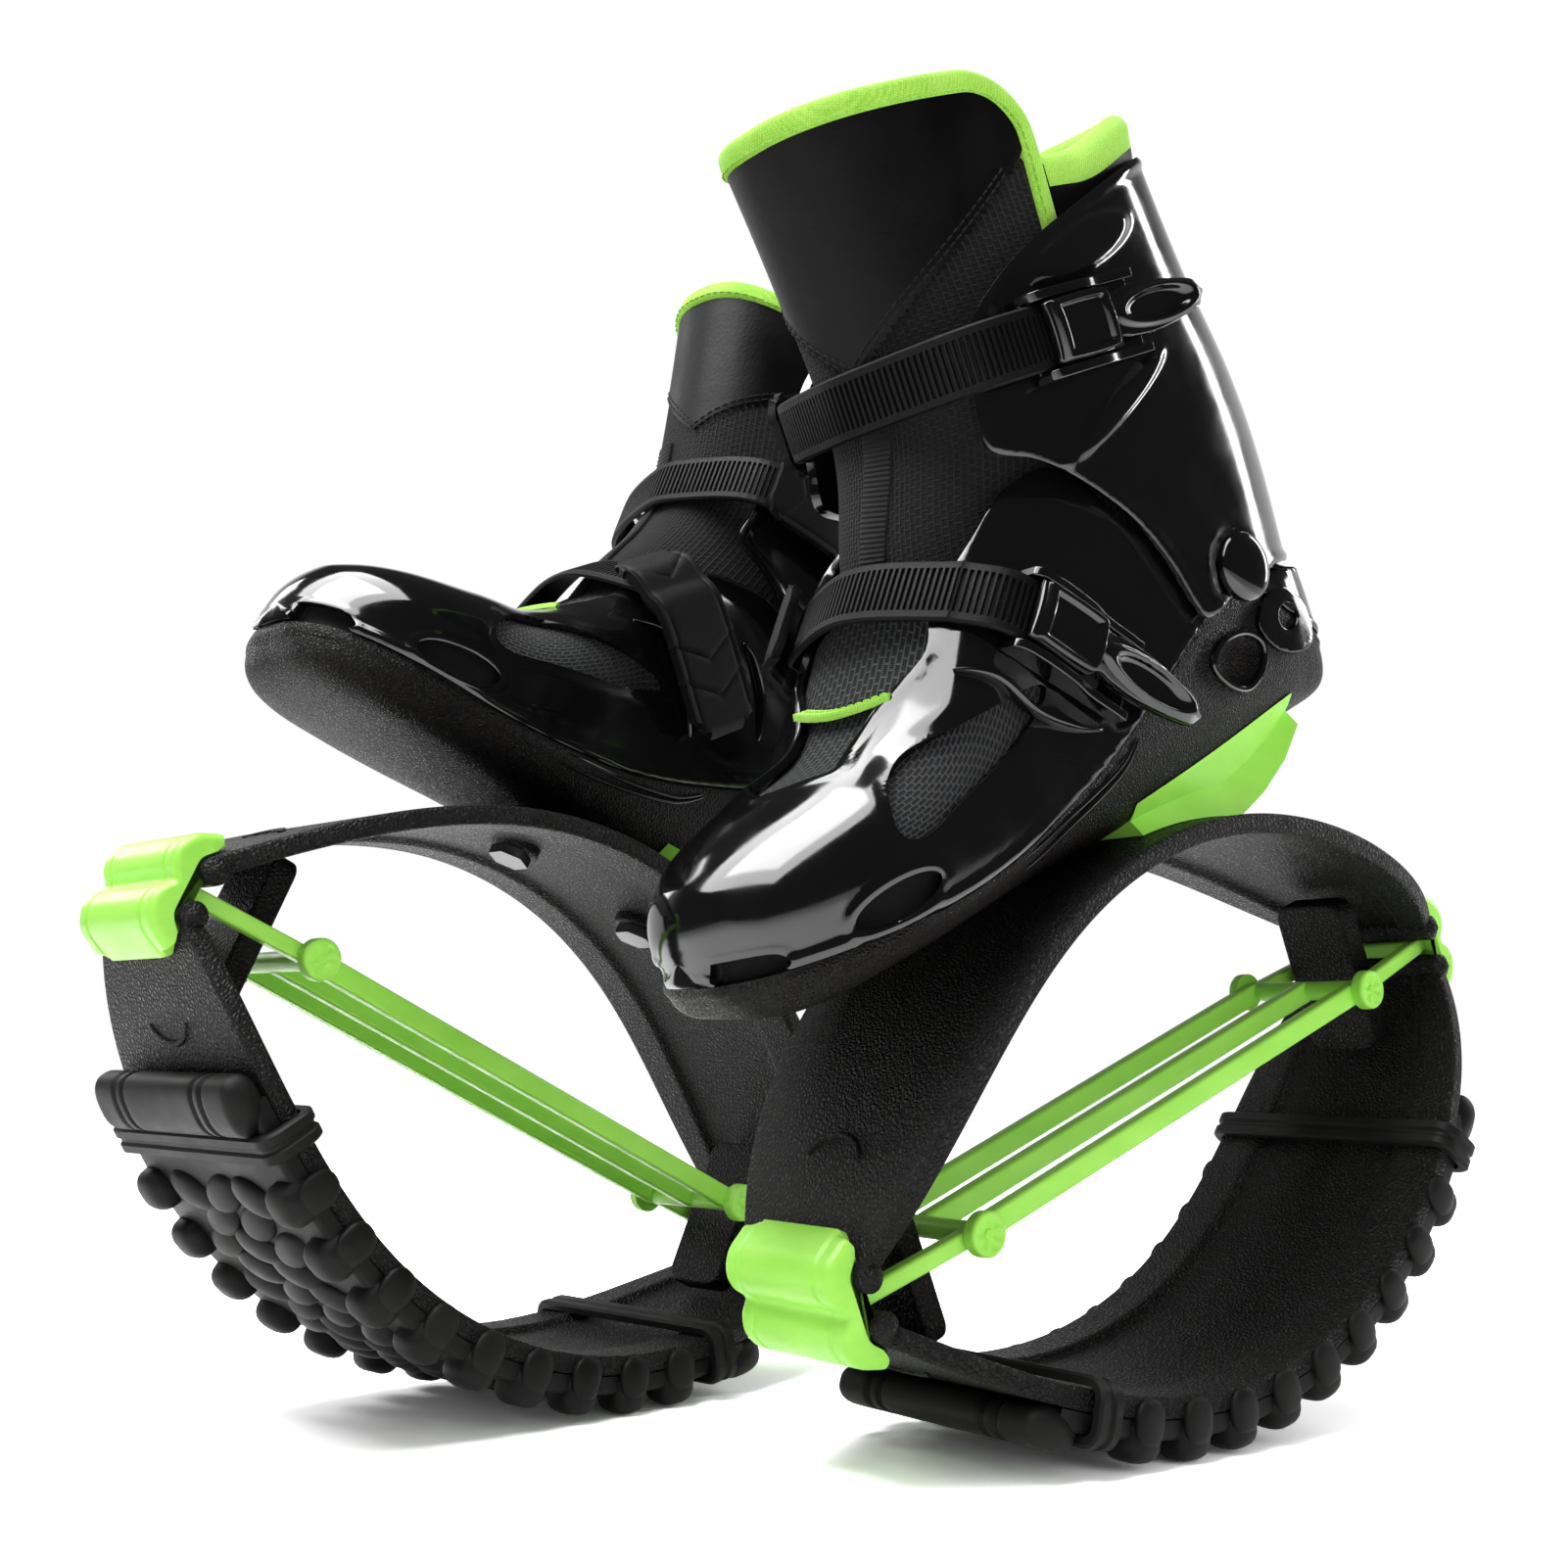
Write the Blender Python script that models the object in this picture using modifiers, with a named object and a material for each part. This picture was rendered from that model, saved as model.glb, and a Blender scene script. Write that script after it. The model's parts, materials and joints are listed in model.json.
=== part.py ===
"""A pair of rebound (jumping) boots: hard-shell boots standing on elliptical leaf springs.

Metres, +Z up. Every piece is drawn once in the frame of the left shoe: x points to the toe,
y to the outer (lateral) side, z up, and the origin is the middle of the spring. The right
shoe is its mirror image. Each shoe then stands tilted on its curved tread. Values whose name
ends in share or shares are parts of the size that they follow.
"""
import math

import bmesh
import bpy
from mathutils import Matrix, Vector

# Clearances
gap = 0.0003
slip_gap = 0.0008
cut_overrun = 0.01
weld_distance = 0.000002

# The elliptical spring
arch_half_length = 0.146
arch_crown_height = 0.088
arch_end_height = 0.0106
arch_curve_power = 2.05
arch_half_width = 0.0495
arch_end_half_width = 0.027
arch_taper_power = 6.0
arch_edge_thickness = 0.0065
arch_web_thickness = 0.0042
arch_edge_band = 0.017
arch_bead_radius = 0.0045
arch_bead_overhang = 0.0035
arch_corner = 0.0018

# The tension band, the end clips and the inserts
crossbar_setback = 0.047
crossbar_radius = 0.0034
band_half_width = 0.0265
band_thickness = 0.0075
band_arm_thickness = 0.0056
band_strand_width = 0.0052
band_arm_inset = 0.005
band_end_bar = 0.008
stud_radius = 0.0068
stud_thickness = 0.0042
stud_sink = 0.001
clip_half_width = 0.0255
clip_depth = 0.017
clip_wall = 0.0042
clip_lip_wall = 0.0026
clip_groove_depth = 0.0036
clip_edge_round = 0.002
clip_lobe_shares = [(0.0, 0.32), (0.06, 0.66), (0.22, 0.92), (0.42, 1.05), (0.66, 1.16)]
clip_seat_shares = [0.0, 0.35, 0.7]
insert_setback = 0.025
insert_half_width = 0.0145
insert_thickness = 0.009
insert_corner = 0.006
insert_clearance = 0.001

# The rubber tread
tread_thickness = 0.006
tread_edge_margin = 0.001
knob_radius = 0.0083
knob_height = 0.0088
knob_pitch = 0.0205
knob_edge_share = 0.75
lens_knob_length = 0.0125
lens_knob_width = 0.0075
lens_knob_height = 0.0045
roll_radius = 0.0072
roll_place_share = 0.72
roll_round_share = 0.4
loop_place_share = 0.645
loop_width = 0.0095
loop_thickness = 0.0032
loop_round_share = 0.4
floor_squash = 0.0015

# The boot, with heights over the underside of its sole
boot_length = 0.294
boot_middle_x = 0.007
boot_half_width = 0.048
sole_heel_rise = 0.014
instep_height = 0.1187
shell_wall = 0.003
sole_floor = 0.005
boot_tip_size = 0.002
cuff_bottom_height = 0.0567
cuff_top_height = 0.2117
cuff_heel_inset = 0.010
cuff_depth_share = 0.5136
cuff_wall = 0.003
liner_split_height = 0.0697
liner_top_height = 0.2257
liner_wall = 0.006
liner_clearance = 0.0016
tongue_top_height = 0.2407
tongue_wall = 0.006
tongue_edge_share = 0.340
tongue_bend_height = 0.150
tongue_corner = 0.020
left_tongue_lean = 0.012
right_tongue_lean = 0.026
insole_thickness = 0.004
insole_end_inset = 0.03
sole_form_power = 4.2
shaft_form_power = 2.5
least_miter_share = 0.4

# The boot's section from heel to toe: place, half width, underside, top and roundness
foot_shares = [
    (0.00, 0.12, 1.6, 0.28, 2.2),
    (0.03, 0.40, 1.2, 0.43, 2.6),
    (0.08, 0.72, 1.0, 0.60, 3.2),
    (0.14, 0.86, 0.86, 1.10, 3.8),
    (0.20, 0.90, 0.74, 1.22, 3.8),
    (0.34, 0.92, 0.36, 1.22, 3.4),
    (0.50, 0.925, 0.0, 1.17, 2.5),
    (0.58, 0.95, 0.0, 1.08, 2.4),
    (0.66, 1.00, -0.04, 0.76, 2.5),
    (0.74, 1.00, -0.16, 0.53, 2.5),
    (0.83, 0.94, -0.34, 0.45, 2.4),
    (0.91, 0.80, -0.48, 0.39, 2.3),
    (0.96, 0.60, -0.36, 0.33, 2.2),
    (0.99, 0.33, 0.10, 0.26, 2.1),
    (1.00, 0.12, 0.6, 0.18, 2.0),
]
foot_station_shares = [
    0.0, 0.015, 0.04, 0.08, 0.14, 0.21, 0.33, 0.46, 0.55, 0.61, 0.66, 0.73, 0.81, 0.88, 0.94, 0.98, 1.0]

# Side outlines over the boot's length and the instep's height
split_line_shares = [
    (-0.03, 0.28), (0.06, 0.30), (0.14, 0.40), (0.20, 0.50), (0.26, 0.52), (0.31, 0.485), (0.43, 0.33),
    (0.53, 0.215), (0.62, 0.145), (0.72, 0.095), (0.82, 0.075), (1.03, 0.075)]
throat_start_share = 0.655
throat_line_shares = [
    (1.03, 0.585), (throat_start_share, 0.585), (0.625, 0.80), (0.57, 0.92), (0.515, 0.985), (0.44, 0.985),
    (0.36, 0.74), (0.12, 0.58), (-0.03, 0.56)]

# Side outline of the cuff over its own depth and height
cuff_outline_shares = [
    (0.10, 1.00), (0.31, 0.97), (0.66, 0.865), (0.82, 0.80), (0.94, 0.72), (0.985, 0.66), (0.99, 0.56),
    (1.0, 0.465), (0.90, 0.42), (0.80, 0.35), (0.69, 0.245), (0.62, 0.14), (0.57, 0.03), (0.53, 0.01),
    (0.36, 0.05), (0.22, 0.06), (-0.06, 0.09), (-0.06, 1.00)]

# Leg sections: height, then calf side and shin side over the boot's length, then half width
cuff_shares = [
    (-0.15, 0.003, 0.64, 0.98), (0.00, 0.002, 0.65, 1.00), (0.30, 0.000, 0.645, 1.02),
    (0.50, 0.010, 0.635, 1.00), (0.72, 0.039, 0.62, 0.97), (1.00, 0.059, 0.62, 0.92),
    (1.20, 0.065, 0.62, 0.90)]
liner_shares = [
    (-0.10, 0.018, 0.675, 0.90), (0.00, 0.018, 0.620, 0.90), (0.25, 0.018, 0.575, 0.84),
    (0.38, 0.024, 0.545, 0.85), (0.52, 0.038, 0.530, 0.87), (0.75, 0.059, 0.525, 0.87),
    (1.00, 0.069, 0.525, 0.90), (1.10, 0.073, 0.525, 0.90)]

# Openings in the shell
toe_opening_share = 0.8367
toe_opening_half_width = 0.021
toe_slot_depth = 0.012
toe_slot_place = 0.0142
toe_slot_height = 0.005
toe_slot_inner_y = 0.006
window_place_share = 0.711
window_place_height = 0.0447
window_half_length = 0.031
window_half_height = 0.0115
window_tilt = math.radians(-16)
window_inner_share = 0.55
window_tip_share = 0.3
vent_place_share = 0.840
vent_place_height = 0.0172
vent_half_length = 0.0145
vent_half_height = 0.0052
vent_tilt = math.radians(-8)

# The ankle rivets, the sole bolts and the wedge over the spring
ankle_share = 0.2415
ankle_height = 0.0697
ankle_head_radius = 0.0115
ankle_head_height = 0.0045
ankle_shank_radius = 0.0042
dome_share = 0.6
bolt_place_shares = (0.233, -0.205)
bolt_shank_radius = 0.0035
bolt_head_radius = 0.0075
bolt_head_height = 0.0035
bolt_boss_radius = 0.0095
wedge_place_shares = (-0.082, -0.356, -0.678)
wedge_side_shares = [0.0, 0.15, 0.3, 0.45, 0.6, 0.8, 1.0]
wedge_half_width = 0.036
wedge_least = 0.0012

# The ratchet straps, with the place of each buckle's front end
strap_height = 0.020
strap_thickness = 0.0024
strap_tail = 0.038
strap_point_spacing = 0.003
strap_level_steps = 6
upper_strap_share = 0.471
upper_strap_height = 0.1561
upper_strap_tilt = math.radians(2)
lower_strap_share = 0.5976
lower_strap_height = 0.0820
lower_strap_tilt = math.radians(-42)
buckle_length = 0.050
buckle_width = 0.027
buckle_height = 0.0095
buckle_floor = 0.0022
buckle_rail = 0.003
lever_length = 0.074
lever_thickness = 0.0042
lever_pin_radius = 0.002
lever_pin_inset = 0.004
lever_shoulder_share = 0.62
lever_tip_share = 0.55
lever_round_share = 0.25
pad_thickness = 0.0035
pad_reach = 0.022
pad_height = 0.030
pad_overlap = 0.004

# How the two shoes stand
left_place = (0.1078, -0.0185)
left_heading = math.radians(216.7)
left_nose_down = math.radians(21.7)
right_place = (-0.1079, 0.0185)
right_heading = math.radians(223.7)
right_nose_down = math.radians(-25.5)

# Counts
hole_sides = 10
boss_sides = 12
hex_sides = 6
rivet_sides = 16
stud_sides = 14
bar_sides = 8
bead_sides = 10
pin_sides = 8
arch_stations = 20
tread_bays = 14
foot_ring_points = 14
shaft_ring_points = 16
cuff_steps = 7
liner_steps = 8
clip_bead_steps = 4
insert_corner_steps = 4
tongue_corner_steps = 4
knob_sides = 6
knob_rows = 4
arch_length_steps = 24
bisection_steps = 30
window_steps = 10
vent_steps = 8
slot_steps = 7
lever_round_steps = 4

# Angles over which an edge is rounded off or shaded sharp
bevel_angle = math.radians(40)
sharp_angle = math.radians(35)

# Colour, roughness and metallic value of each material
colours = {
    "textured_black": ((0.028, 0.026, 0.025), 0.62, 0.0),
    "gloss_black": ((0.012, 0.012, 0.013), 0.12, 0.0),
    "tread_rubber": ((0.022, 0.022, 0.022), 0.75, 0.0),
    "lime_plastic": ((0.28, 0.72, 0.03), 0.38, 0.0),
    "liner_fabric": ((0.035, 0.035, 0.037), 0.9, 0.0),
    "strap_plastic": ((0.03, 0.03, 0.03), 0.5, 0.0),
    "bolt_steel": ((0.08, 0.08, 0.085), 0.35, 0.9),
    "insole_foam": ((0.05, 0.05, 0.05), 0.95, 0.0),
}

# Places that follow from the sizes above
sole_bottom_z = arch_crown_height + gap
heel_x = boot_middle_x - boot_length / 2
boot_toe_x = boot_middle_x + boot_length / 2
instep_top_z = sole_bottom_z + instep_height
cuff_bottom_z = sole_bottom_z + cuff_bottom_height
cuff_top_z = sole_bottom_z + cuff_top_height
cuff_back_x = heel_x + cuff_heel_inset
liner_split_z = sole_bottom_z + liner_split_height
liner_top_z = sole_bottom_z + liner_top_height
tongue_top_z = sole_bottom_z + tongue_top_height
tongue_bend_z = sole_bottom_z + tongue_bend_height
tongue_edge_x = heel_x + tongue_edge_share * boot_length
ankle_x = heel_x + ankle_share * boot_length
ankle_z = sole_bottom_z + ankle_height
bolt_places = [share * arch_half_length for share in bolt_place_shares]
wedge_front_x, wedge_low_x, wedge_rear_x = (share * arch_half_length for share in wedge_place_shares)
band_half_span = arch_half_length - crossbar_setback
loop_place = arch_half_length * loop_place_share
roll_place = arch_half_length * roll_place_share


def clear_scene():
    for item in list(bpy.data.objects):
        bpy.data.objects.remove(item, do_unlink=True)


def new_material(name):
    colour, roughness, metallic = colours[name]
    material = bpy.data.materials.new(name)
    material.use_nodes = True
    shader = material.node_tree.nodes["Principled BSDF"]
    shader.inputs["Base Color"].default_value = (*colour, 1.0)
    shader.inputs["Roughness"].default_value = roughness
    shader.inputs["Metallic"].default_value = metallic
    return material


def new_object(name, mesh):
    item = bpy.data.objects.new(name, mesh)
    work_collection.objects.link(item)
    return item


def drop(item):
    bpy.data.objects.remove(item, do_unlink=True)


def baked(item):
    """The object's mesh with its modifiers applied; the object itself is removed."""
    bpy.context.view_layer.update()
    evaluated = item.evaluated_get(bpy.context.evaluated_depsgraph_get())
    mesh = bpy.data.meshes.new_from_object(evaluated)
    mesh.transform(item.matrix_world)
    drop(item)
    return mesh


def closed(mesh):
    """Welds doubled points and turns every face outward."""
    work = bmesh.new()
    work.from_mesh(mesh)
    bmesh.ops.remove_doubles(work, verts=work.verts, dist=weld_distance)
    bmesh.ops.recalc_face_normals(work, faces=work.faces)
    work.to_mesh(mesh)
    work.free()
    return mesh


def loft(rings):
    """A closed solid through rings of equally many points."""
    work = bmesh.new()
    rows = [[work.verts.new(point) for point in ring] for ring in rings]
    count = len(rows[0])
    for row, following in zip(rows, rows[1:]):
        for index in range(count):
            other = (index + 1) % count
            work.faces.new((row[index], row[other], following[other], following[index]))
    work.faces.new(rows[0][::-1])
    work.faces.new(rows[-1])
    mesh = bpy.data.meshes.new("loft")
    work.to_mesh(mesh)
    work.free()
    return closed(mesh)


def outline_prism(points, half_thickness, holes=()):
    """A flat outline in XY, filled and extruded along Z."""
    curve = bpy.data.curves.new("outline", "CURVE")
    curve.dimensions = "2D"
    curve.fill_mode = "BOTH"
    curve.extrude = half_thickness
    for outline in (points, *holes):
        spline = curve.splines.new("POLY")
        spline.points.add(len(outline) - 1)
        for place, (x, y) in zip(spline.points, outline):
            place.co = (x, y, 0.0, 1.0)
        spline.use_cyclic_u = True
    return closed(baked(new_object("outline", curve)))


def side_prism(points, half_width, holes=(), middle_y=0.0):
    """An outline drawn in the side view (x, z), extruded across the shoe."""
    mesh = outline_prism(points, half_width, holes)
    mesh.transform(Matrix.Translation((0.0, middle_y, 0.0)) @ Matrix.Rotation(math.pi / 2, 4, "X"))
    return closed(mesh)


def box(low, high):
    work = bmesh.new()
    bmesh.ops.create_cube(work, size=1.0)
    size = Vector(high) - Vector(low)
    middle = (Vector(high) + Vector(low)) / 2
    bmesh.ops.scale(work, vec=size, verts=work.verts)
    bmesh.ops.translate(work, vec=middle, verts=work.verts)
    mesh = bpy.data.meshes.new("box")
    work.to_mesh(mesh)
    work.free()
    return mesh


def cylinder(radius, start, end, sides, end_radius=None):
    """A cylinder or cone between two points."""
    start = Vector(start)
    end = Vector(end)
    along = end - start
    work = bmesh.new()
    bmesh.ops.create_cone(
        work, cap_ends=True, segments=sides, radius1=radius,
        radius2=radius if end_radius is None else end_radius, depth=along.length)
    turn = along.to_track_quat("Z", "Y").to_matrix().to_4x4()
    bmesh.ops.transform(work, matrix=Matrix.Translation((start + end) / 2) @ turn, verts=work.verts)
    mesh = bpy.data.meshes.new("cylinder")
    work.to_mesh(mesh)
    work.free()
    return mesh


def ellipsoid(middle, radii, turn, around, rows):
    work = bmesh.new()
    bmesh.ops.create_uvsphere(work, u_segments=around, v_segments=rows, radius=1.0)
    bmesh.ops.scale(work, vec=radii, verts=work.verts)
    matrix = Matrix.Translation(middle) @ turn.to_4x4()
    bmesh.ops.transform(work, matrix=matrix, verts=work.verts)
    mesh = bpy.data.meshes.new("ellipsoid")
    work.to_mesh(mesh)
    work.free()
    return mesh


def combine(mesh, others, operation):
    """A Boolean of one mesh with each of the others."""
    item = new_object("combined", mesh)
    tools = []
    for other in others:
        tool = new_object("tool", other)
        tools.append(tool)
        change = item.modifiers.new("boolean", "BOOLEAN")
        change.operation = operation
        change.object = tool
    result = baked(item)
    for tool in tools:
        drop(tool)
    return closed(result)


def rounded(mesh, width):
    """The mesh with its sharp edges cut off at a width."""
    item = new_object("rounded", mesh)
    bevel = item.modifiers.new("bevel", "BEVEL")
    bevel.width = width
    bevel.segments = 1
    bevel.limit_method = "ANGLE"
    bevel.angle_limit = bevel_angle
    return closed(baked(item))


def smooth_between(table, share):
    """Reads a table of (share, value, value...) rows with a smooth Catmull-Rom curve."""
    last = len(table) - 1
    index = 0
    while index < last - 1 and share > table[index + 1][0]:
        index += 1
    rows = [table[max(0, min(last, index + step))] for step in (-1, 0, 1, 2)]
    width = rows[2][0] - rows[1][0]
    part = (share - rows[1][0]) / width
    values = []
    for column in range(1, len(table[0])):
        before, here, there, after = (row[column] for row in rows)
        slope_here = (there - before) / max(rows[2][0] - rows[0][0], width) * width
        slope_there = (after - here) / max(rows[3][0] - rows[1][0], width) * width
        values.append(
            (2 * part**3 - 3 * part**2 + 1) * here + (part**3 - 2 * part**2 + part) * slope_here
            + (3 * part**2 - 2 * part**3) * there + (part**3 - part**2) * slope_there)
    return values


def arch_outer_z(x):
    """Height of an arch's outer face over the middle plane."""
    rise = arch_crown_height - arch_end_height
    return arch_end_height + rise * (1 - (abs(x) / arch_half_length) ** arch_curve_power)


def arch_slope(x):
    """Angle of an arch's outer face at x; zero at the crown."""
    rise = arch_crown_height - arch_end_height
    steepness = rise * arch_curve_power / arch_half_length
    steepness *= (abs(x) / arch_half_length) ** (arch_curve_power - 1)
    return -math.copysign(math.atan(steepness), x)


def arch_width_at(x):
    """Half width of an arch: widest at its crown, drawn in to its ends."""
    taper = (abs(x) / arch_half_length) ** arch_taper_power
    return arch_half_width + (arch_end_half_width - arch_half_width) * taper


def arch_point(x, y, depth):
    """A point at a depth under (or over, if negative) the upper arch's outer face."""
    angle = arch_slope(x)
    return (x + depth * math.sin(angle), y, arch_outer_z(x) - depth * math.cos(angle))


def even_places(half_span, count):
    return [half_span * (2 * index / count - 1) for index in range(count + 1)]


def arch_section(x):
    """One section of the arch: a plate whose inner face has a shallow channel between edge bands."""
    half = arch_width_at(x)
    band = arch_edge_band * half / arch_half_width
    channel = half - band
    slope_run = arch_edge_thickness - arch_web_thickness
    profile = [
        (arch_corner - half, 0.0), (half - arch_corner, 0.0),
        (half, arch_corner), (half, arch_edge_thickness),
        (channel, arch_edge_thickness), (channel - slope_run, arch_web_thickness),
        (slope_run - channel, arch_web_thickness), (-channel, arch_edge_thickness),
        (-half, arch_edge_thickness), (-half, arch_corner),
    ]
    return [arch_point(x, y, depth) for y, depth in profile]


def arch_mesh():
    """The upper leaf: a tapered, curved plate with a bead across each end that hooks into a clip."""
    plate = loft([arch_section(x) for x in even_places(arch_half_length, arch_stations)])
    beads = []
    for end in (-1, 1):
        middle = arch_point(end * arch_half_length, 0.0, arch_bead_radius)
        reach = arch_end_half_width + arch_bead_overhang
        beads.append(cylinder(
            arch_bead_radius, (middle[0], -reach, middle[2]), (middle[0], reach, middle[2]), bead_sides))
    return combine(plate, beads, "UNION")


def upside_down(mesh):
    mesh.transform(Matrix.Scale(-1.0, 4, (0.0, 0.0, 1.0)))
    return closed(mesh)


def turned_about(mesh):
    """Moves a front piece to the rear end of the shoe."""
    mesh.transform(Matrix.Scale(-1.0, 4, (1.0, 0.0, 0.0)))
    return closed(mesh)


def bolt_boss_z(x):
    """Height of the flat underside of the boss that a bolt's head bears on."""
    return arch_point(x + math.copysign(bolt_boss_radius, x), 0.0, arch_web_thickness)[2]


def upper_arch():
    """The upper leaf, with a boss under its crown for each of the two bolts."""
    bosses = []
    for x in bolt_places:
        top = arch_point(x, 0.0, arch_web_thickness / 2)[2]
        bosses.append(cylinder(bolt_boss_radius, (x, 0.0, bolt_boss_z(x)), (x, 0.0, top), boss_sides))
    leaf = combine(arch_mesh(), bosses, "UNION")
    cuts = []
    for x in bolt_places:
        cuts.append(cylinder(
            bolt_shank_radius + gap, (x, 0.0, 0.0), (x, 0.0, arch_crown_height + cut_overrun), hole_sides))
    return combine(leaf, cuts, "DIFFERENCE")


def lower_arch():
    return upside_down(arch_mesh())


def clip_half_outline():
    """The upper half of a clip in side view, from the groove over the lobe to the lip and back."""
    nose_x = clip_nose_x()
    lip_x = nose_x - clip_depth
    bead = arch_point(arch_half_length, 0.0, arch_bead_radius)
    reach = arch_bead_radius + slip_gap
    outer = [(nose_x - clip_groove_depth, 0.0)]
    top = bead[2] + reach + clip_wall
    for along_share, up_share in clip_lobe_shares:
        outer.append((nose_x - along_share * clip_depth, up_share * top))
    lip = arch_point(lip_x, 0.0, -slip_gap - clip_lip_wall)
    outer.append((lip[0], lip[2]))
    inner = []
    for share in clip_seat_shares:
        point = arch_point(lip_x + share * (arch_half_length - lip_x), 0.0, -slip_gap)
        inner.append((point[0], point[2]))
    for step in range(clip_bead_steps):
        angle = (math.pi / 2 + arch_slope(arch_half_length)) * (1 - step / (clip_bead_steps - 1))
        inner.append((bead[0] + reach * math.cos(angle), bead[2] + reach * math.sin(angle)))
    return outer, inner


def clip_nose_x():
    bead = arch_point(arch_half_length, 0.0, arch_bead_radius)
    return bead[0] + arch_bead_radius + slip_gap + clip_wall + clip_groove_depth


def front_clip():
    """A lime clip that wraps the ends of both arches, with a groove between its two lobes."""
    outer, inner = clip_half_outline()
    upper = outer + inner
    lower = [(x, -z) for x, z in outer[:0:-1]]
    lower_inner = [(x, -z) for x, z in inner[::-1]]
    outline = upper + lower_inner + lower
    return rounded(side_prism(outline, clip_half_width), clip_edge_round)


def rear_clip():
    return turned_about(front_clip())


def tension_band():
    """Three strands between two crossbars with round studs, and arms that run into the clips."""
    bead = arch_point(arch_half_length, 0.0, arch_bead_radius)
    end_x = bead[0] + arch_bead_radius + slip_gap - gap
    outer = band_outline(end_x)
    holes = band_strand_holes() + band_arm_holes(end_x)
    flat = outline_prism(outer, band_arm_thickness / 2, holes)
    extras = []
    outer_strand = band_half_width - stud_sink - band_strand_width / 2
    for y in (-outer_strand, 0.0, outer_strand):
        extras.append(box(
            (-band_half_span, y - band_strand_width / 2, -band_thickness / 2),
            (band_half_span, y + band_strand_width / 2, band_thickness / 2)))
    for x in (-band_half_span, band_half_span):
        extras.append(cylinder(
            crossbar_radius, (x, -band_half_width, 0.0), (x, band_half_width, 0.0), bar_sides))
        for side in (-1, 1):
            inner_y = side * (band_half_width - stud_sink)
            outer_y = side * (band_half_width - stud_sink + stud_thickness)
            extras.append(cylinder(stud_radius, (x, inner_y, 0.0), (x, outer_y, 0.0), stud_sides))
    return combine(flat, extras, "UNION")


def band_outline(end_x):
    """The band seen from above: straight strands, then arms that draw in towards the clips."""
    end_y = clip_half_width - band_arm_inset
    quarter = [(band_half_span, band_half_width - stud_sink), (end_x, end_y)]
    front = quarter + [(x, -y) for x, y in quarter[::-1]]
    rear = [(-x, y) for x, y in front[::-1]]
    return front + [(x, y) for x, y in rear]


def band_strand_holes():
    inner_x = band_half_span - crossbar_radius
    edge = band_half_width - stud_sink - band_strand_width
    middle = band_strand_width / 2
    holes = []
    for side in (-1, 1):
        holes.append([
            (-inner_x, side * middle), (inner_x, side * middle),
            (inner_x, side * edge), (-inner_x, side * edge)])
    return holes


def band_arm_holes(end_x):
    """Between the arms a window is left open for the insert that spaces the arches."""
    start_x = band_half_span + crossbar_radius
    stop_x = end_x - band_end_bar
    half = insert_half_width + gap
    holes = []
    for end in (-1, 1):
        holes.append([
            (end * start_x, -half), (end * start_x, half), (end * stop_x, half), (end * stop_x, -half)])
    return holes


def front_insert():
    """A rounded block standing in the band's window, under and over which the arches close."""
    front_x = arch_half_length - insert_setback
    rear_x = front_x - insert_thickness
    depth = arch_web_thickness + insert_clearance
    top = arch_point(front_x - depth * math.sin(arch_slope(front_x)), 0.0, depth)[2]
    points = []
    for corner, (y, z) in enumerate(((1, 1), (-1, 1), (-1, -1), (1, -1))):
        for step in range(insert_corner_steps):
            angle = math.pi / 2 * (corner + step / (insert_corner_steps - 1))
            middle_y = y * (insert_half_width - insert_corner)
            middle_z = z * (top - insert_corner)
            points.append((
                middle_y + insert_corner * math.cos(angle), middle_z + insert_corner * math.sin(angle)))
    mesh = outline_prism(points, insert_thickness / 2)
    turn = Matrix(((0, 0, 1, (rear_x + front_x) / 2), (1, 0, 0, 0), (0, 1, 0, 0), (0, 0, 0, 1)))
    mesh.transform(turn)
    return closed(mesh)


def rear_insert():
    return turned_about(front_insert())


def tread_section(x, half, high, low):
    """A rectangle across the arch at x, between two depths."""
    corners = ((-half, high), (half, high), (half, low), (-half, low))
    return [arch_point(x, y, depth) for y, depth in corners]


def arch_length_to(x):
    """Length along the arch from its crown to x."""
    total = 0.0
    for index in range(arch_length_steps):
        here = x * (index + 0.5) / arch_length_steps
        total += abs(x) / arch_length_steps / math.cos(arch_slope(here))
    return total


def arch_x_at(length):
    """The x whose length from the crown is the given one (negative to the rear)."""
    low = 0.0
    high = arch_half_length
    for _ in range(bisection_steps):
        middle = (low + high) / 2
        if arch_length_to(middle) < abs(length):
            low = middle
        else:
            high = middle
    return math.copysign((low + high) / 2, length)


def knob(x, y, radii):
    """One rubber knob standing on the tread; drawn on the upper arch, turned over later."""
    turn = Matrix.Rotation(-arch_slope(x), 3, "Y")
    middle = arch_point(x, y, -tread_thickness)
    return ellipsoid(middle, radii, turn, knob_sides, knob_rows)


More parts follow.
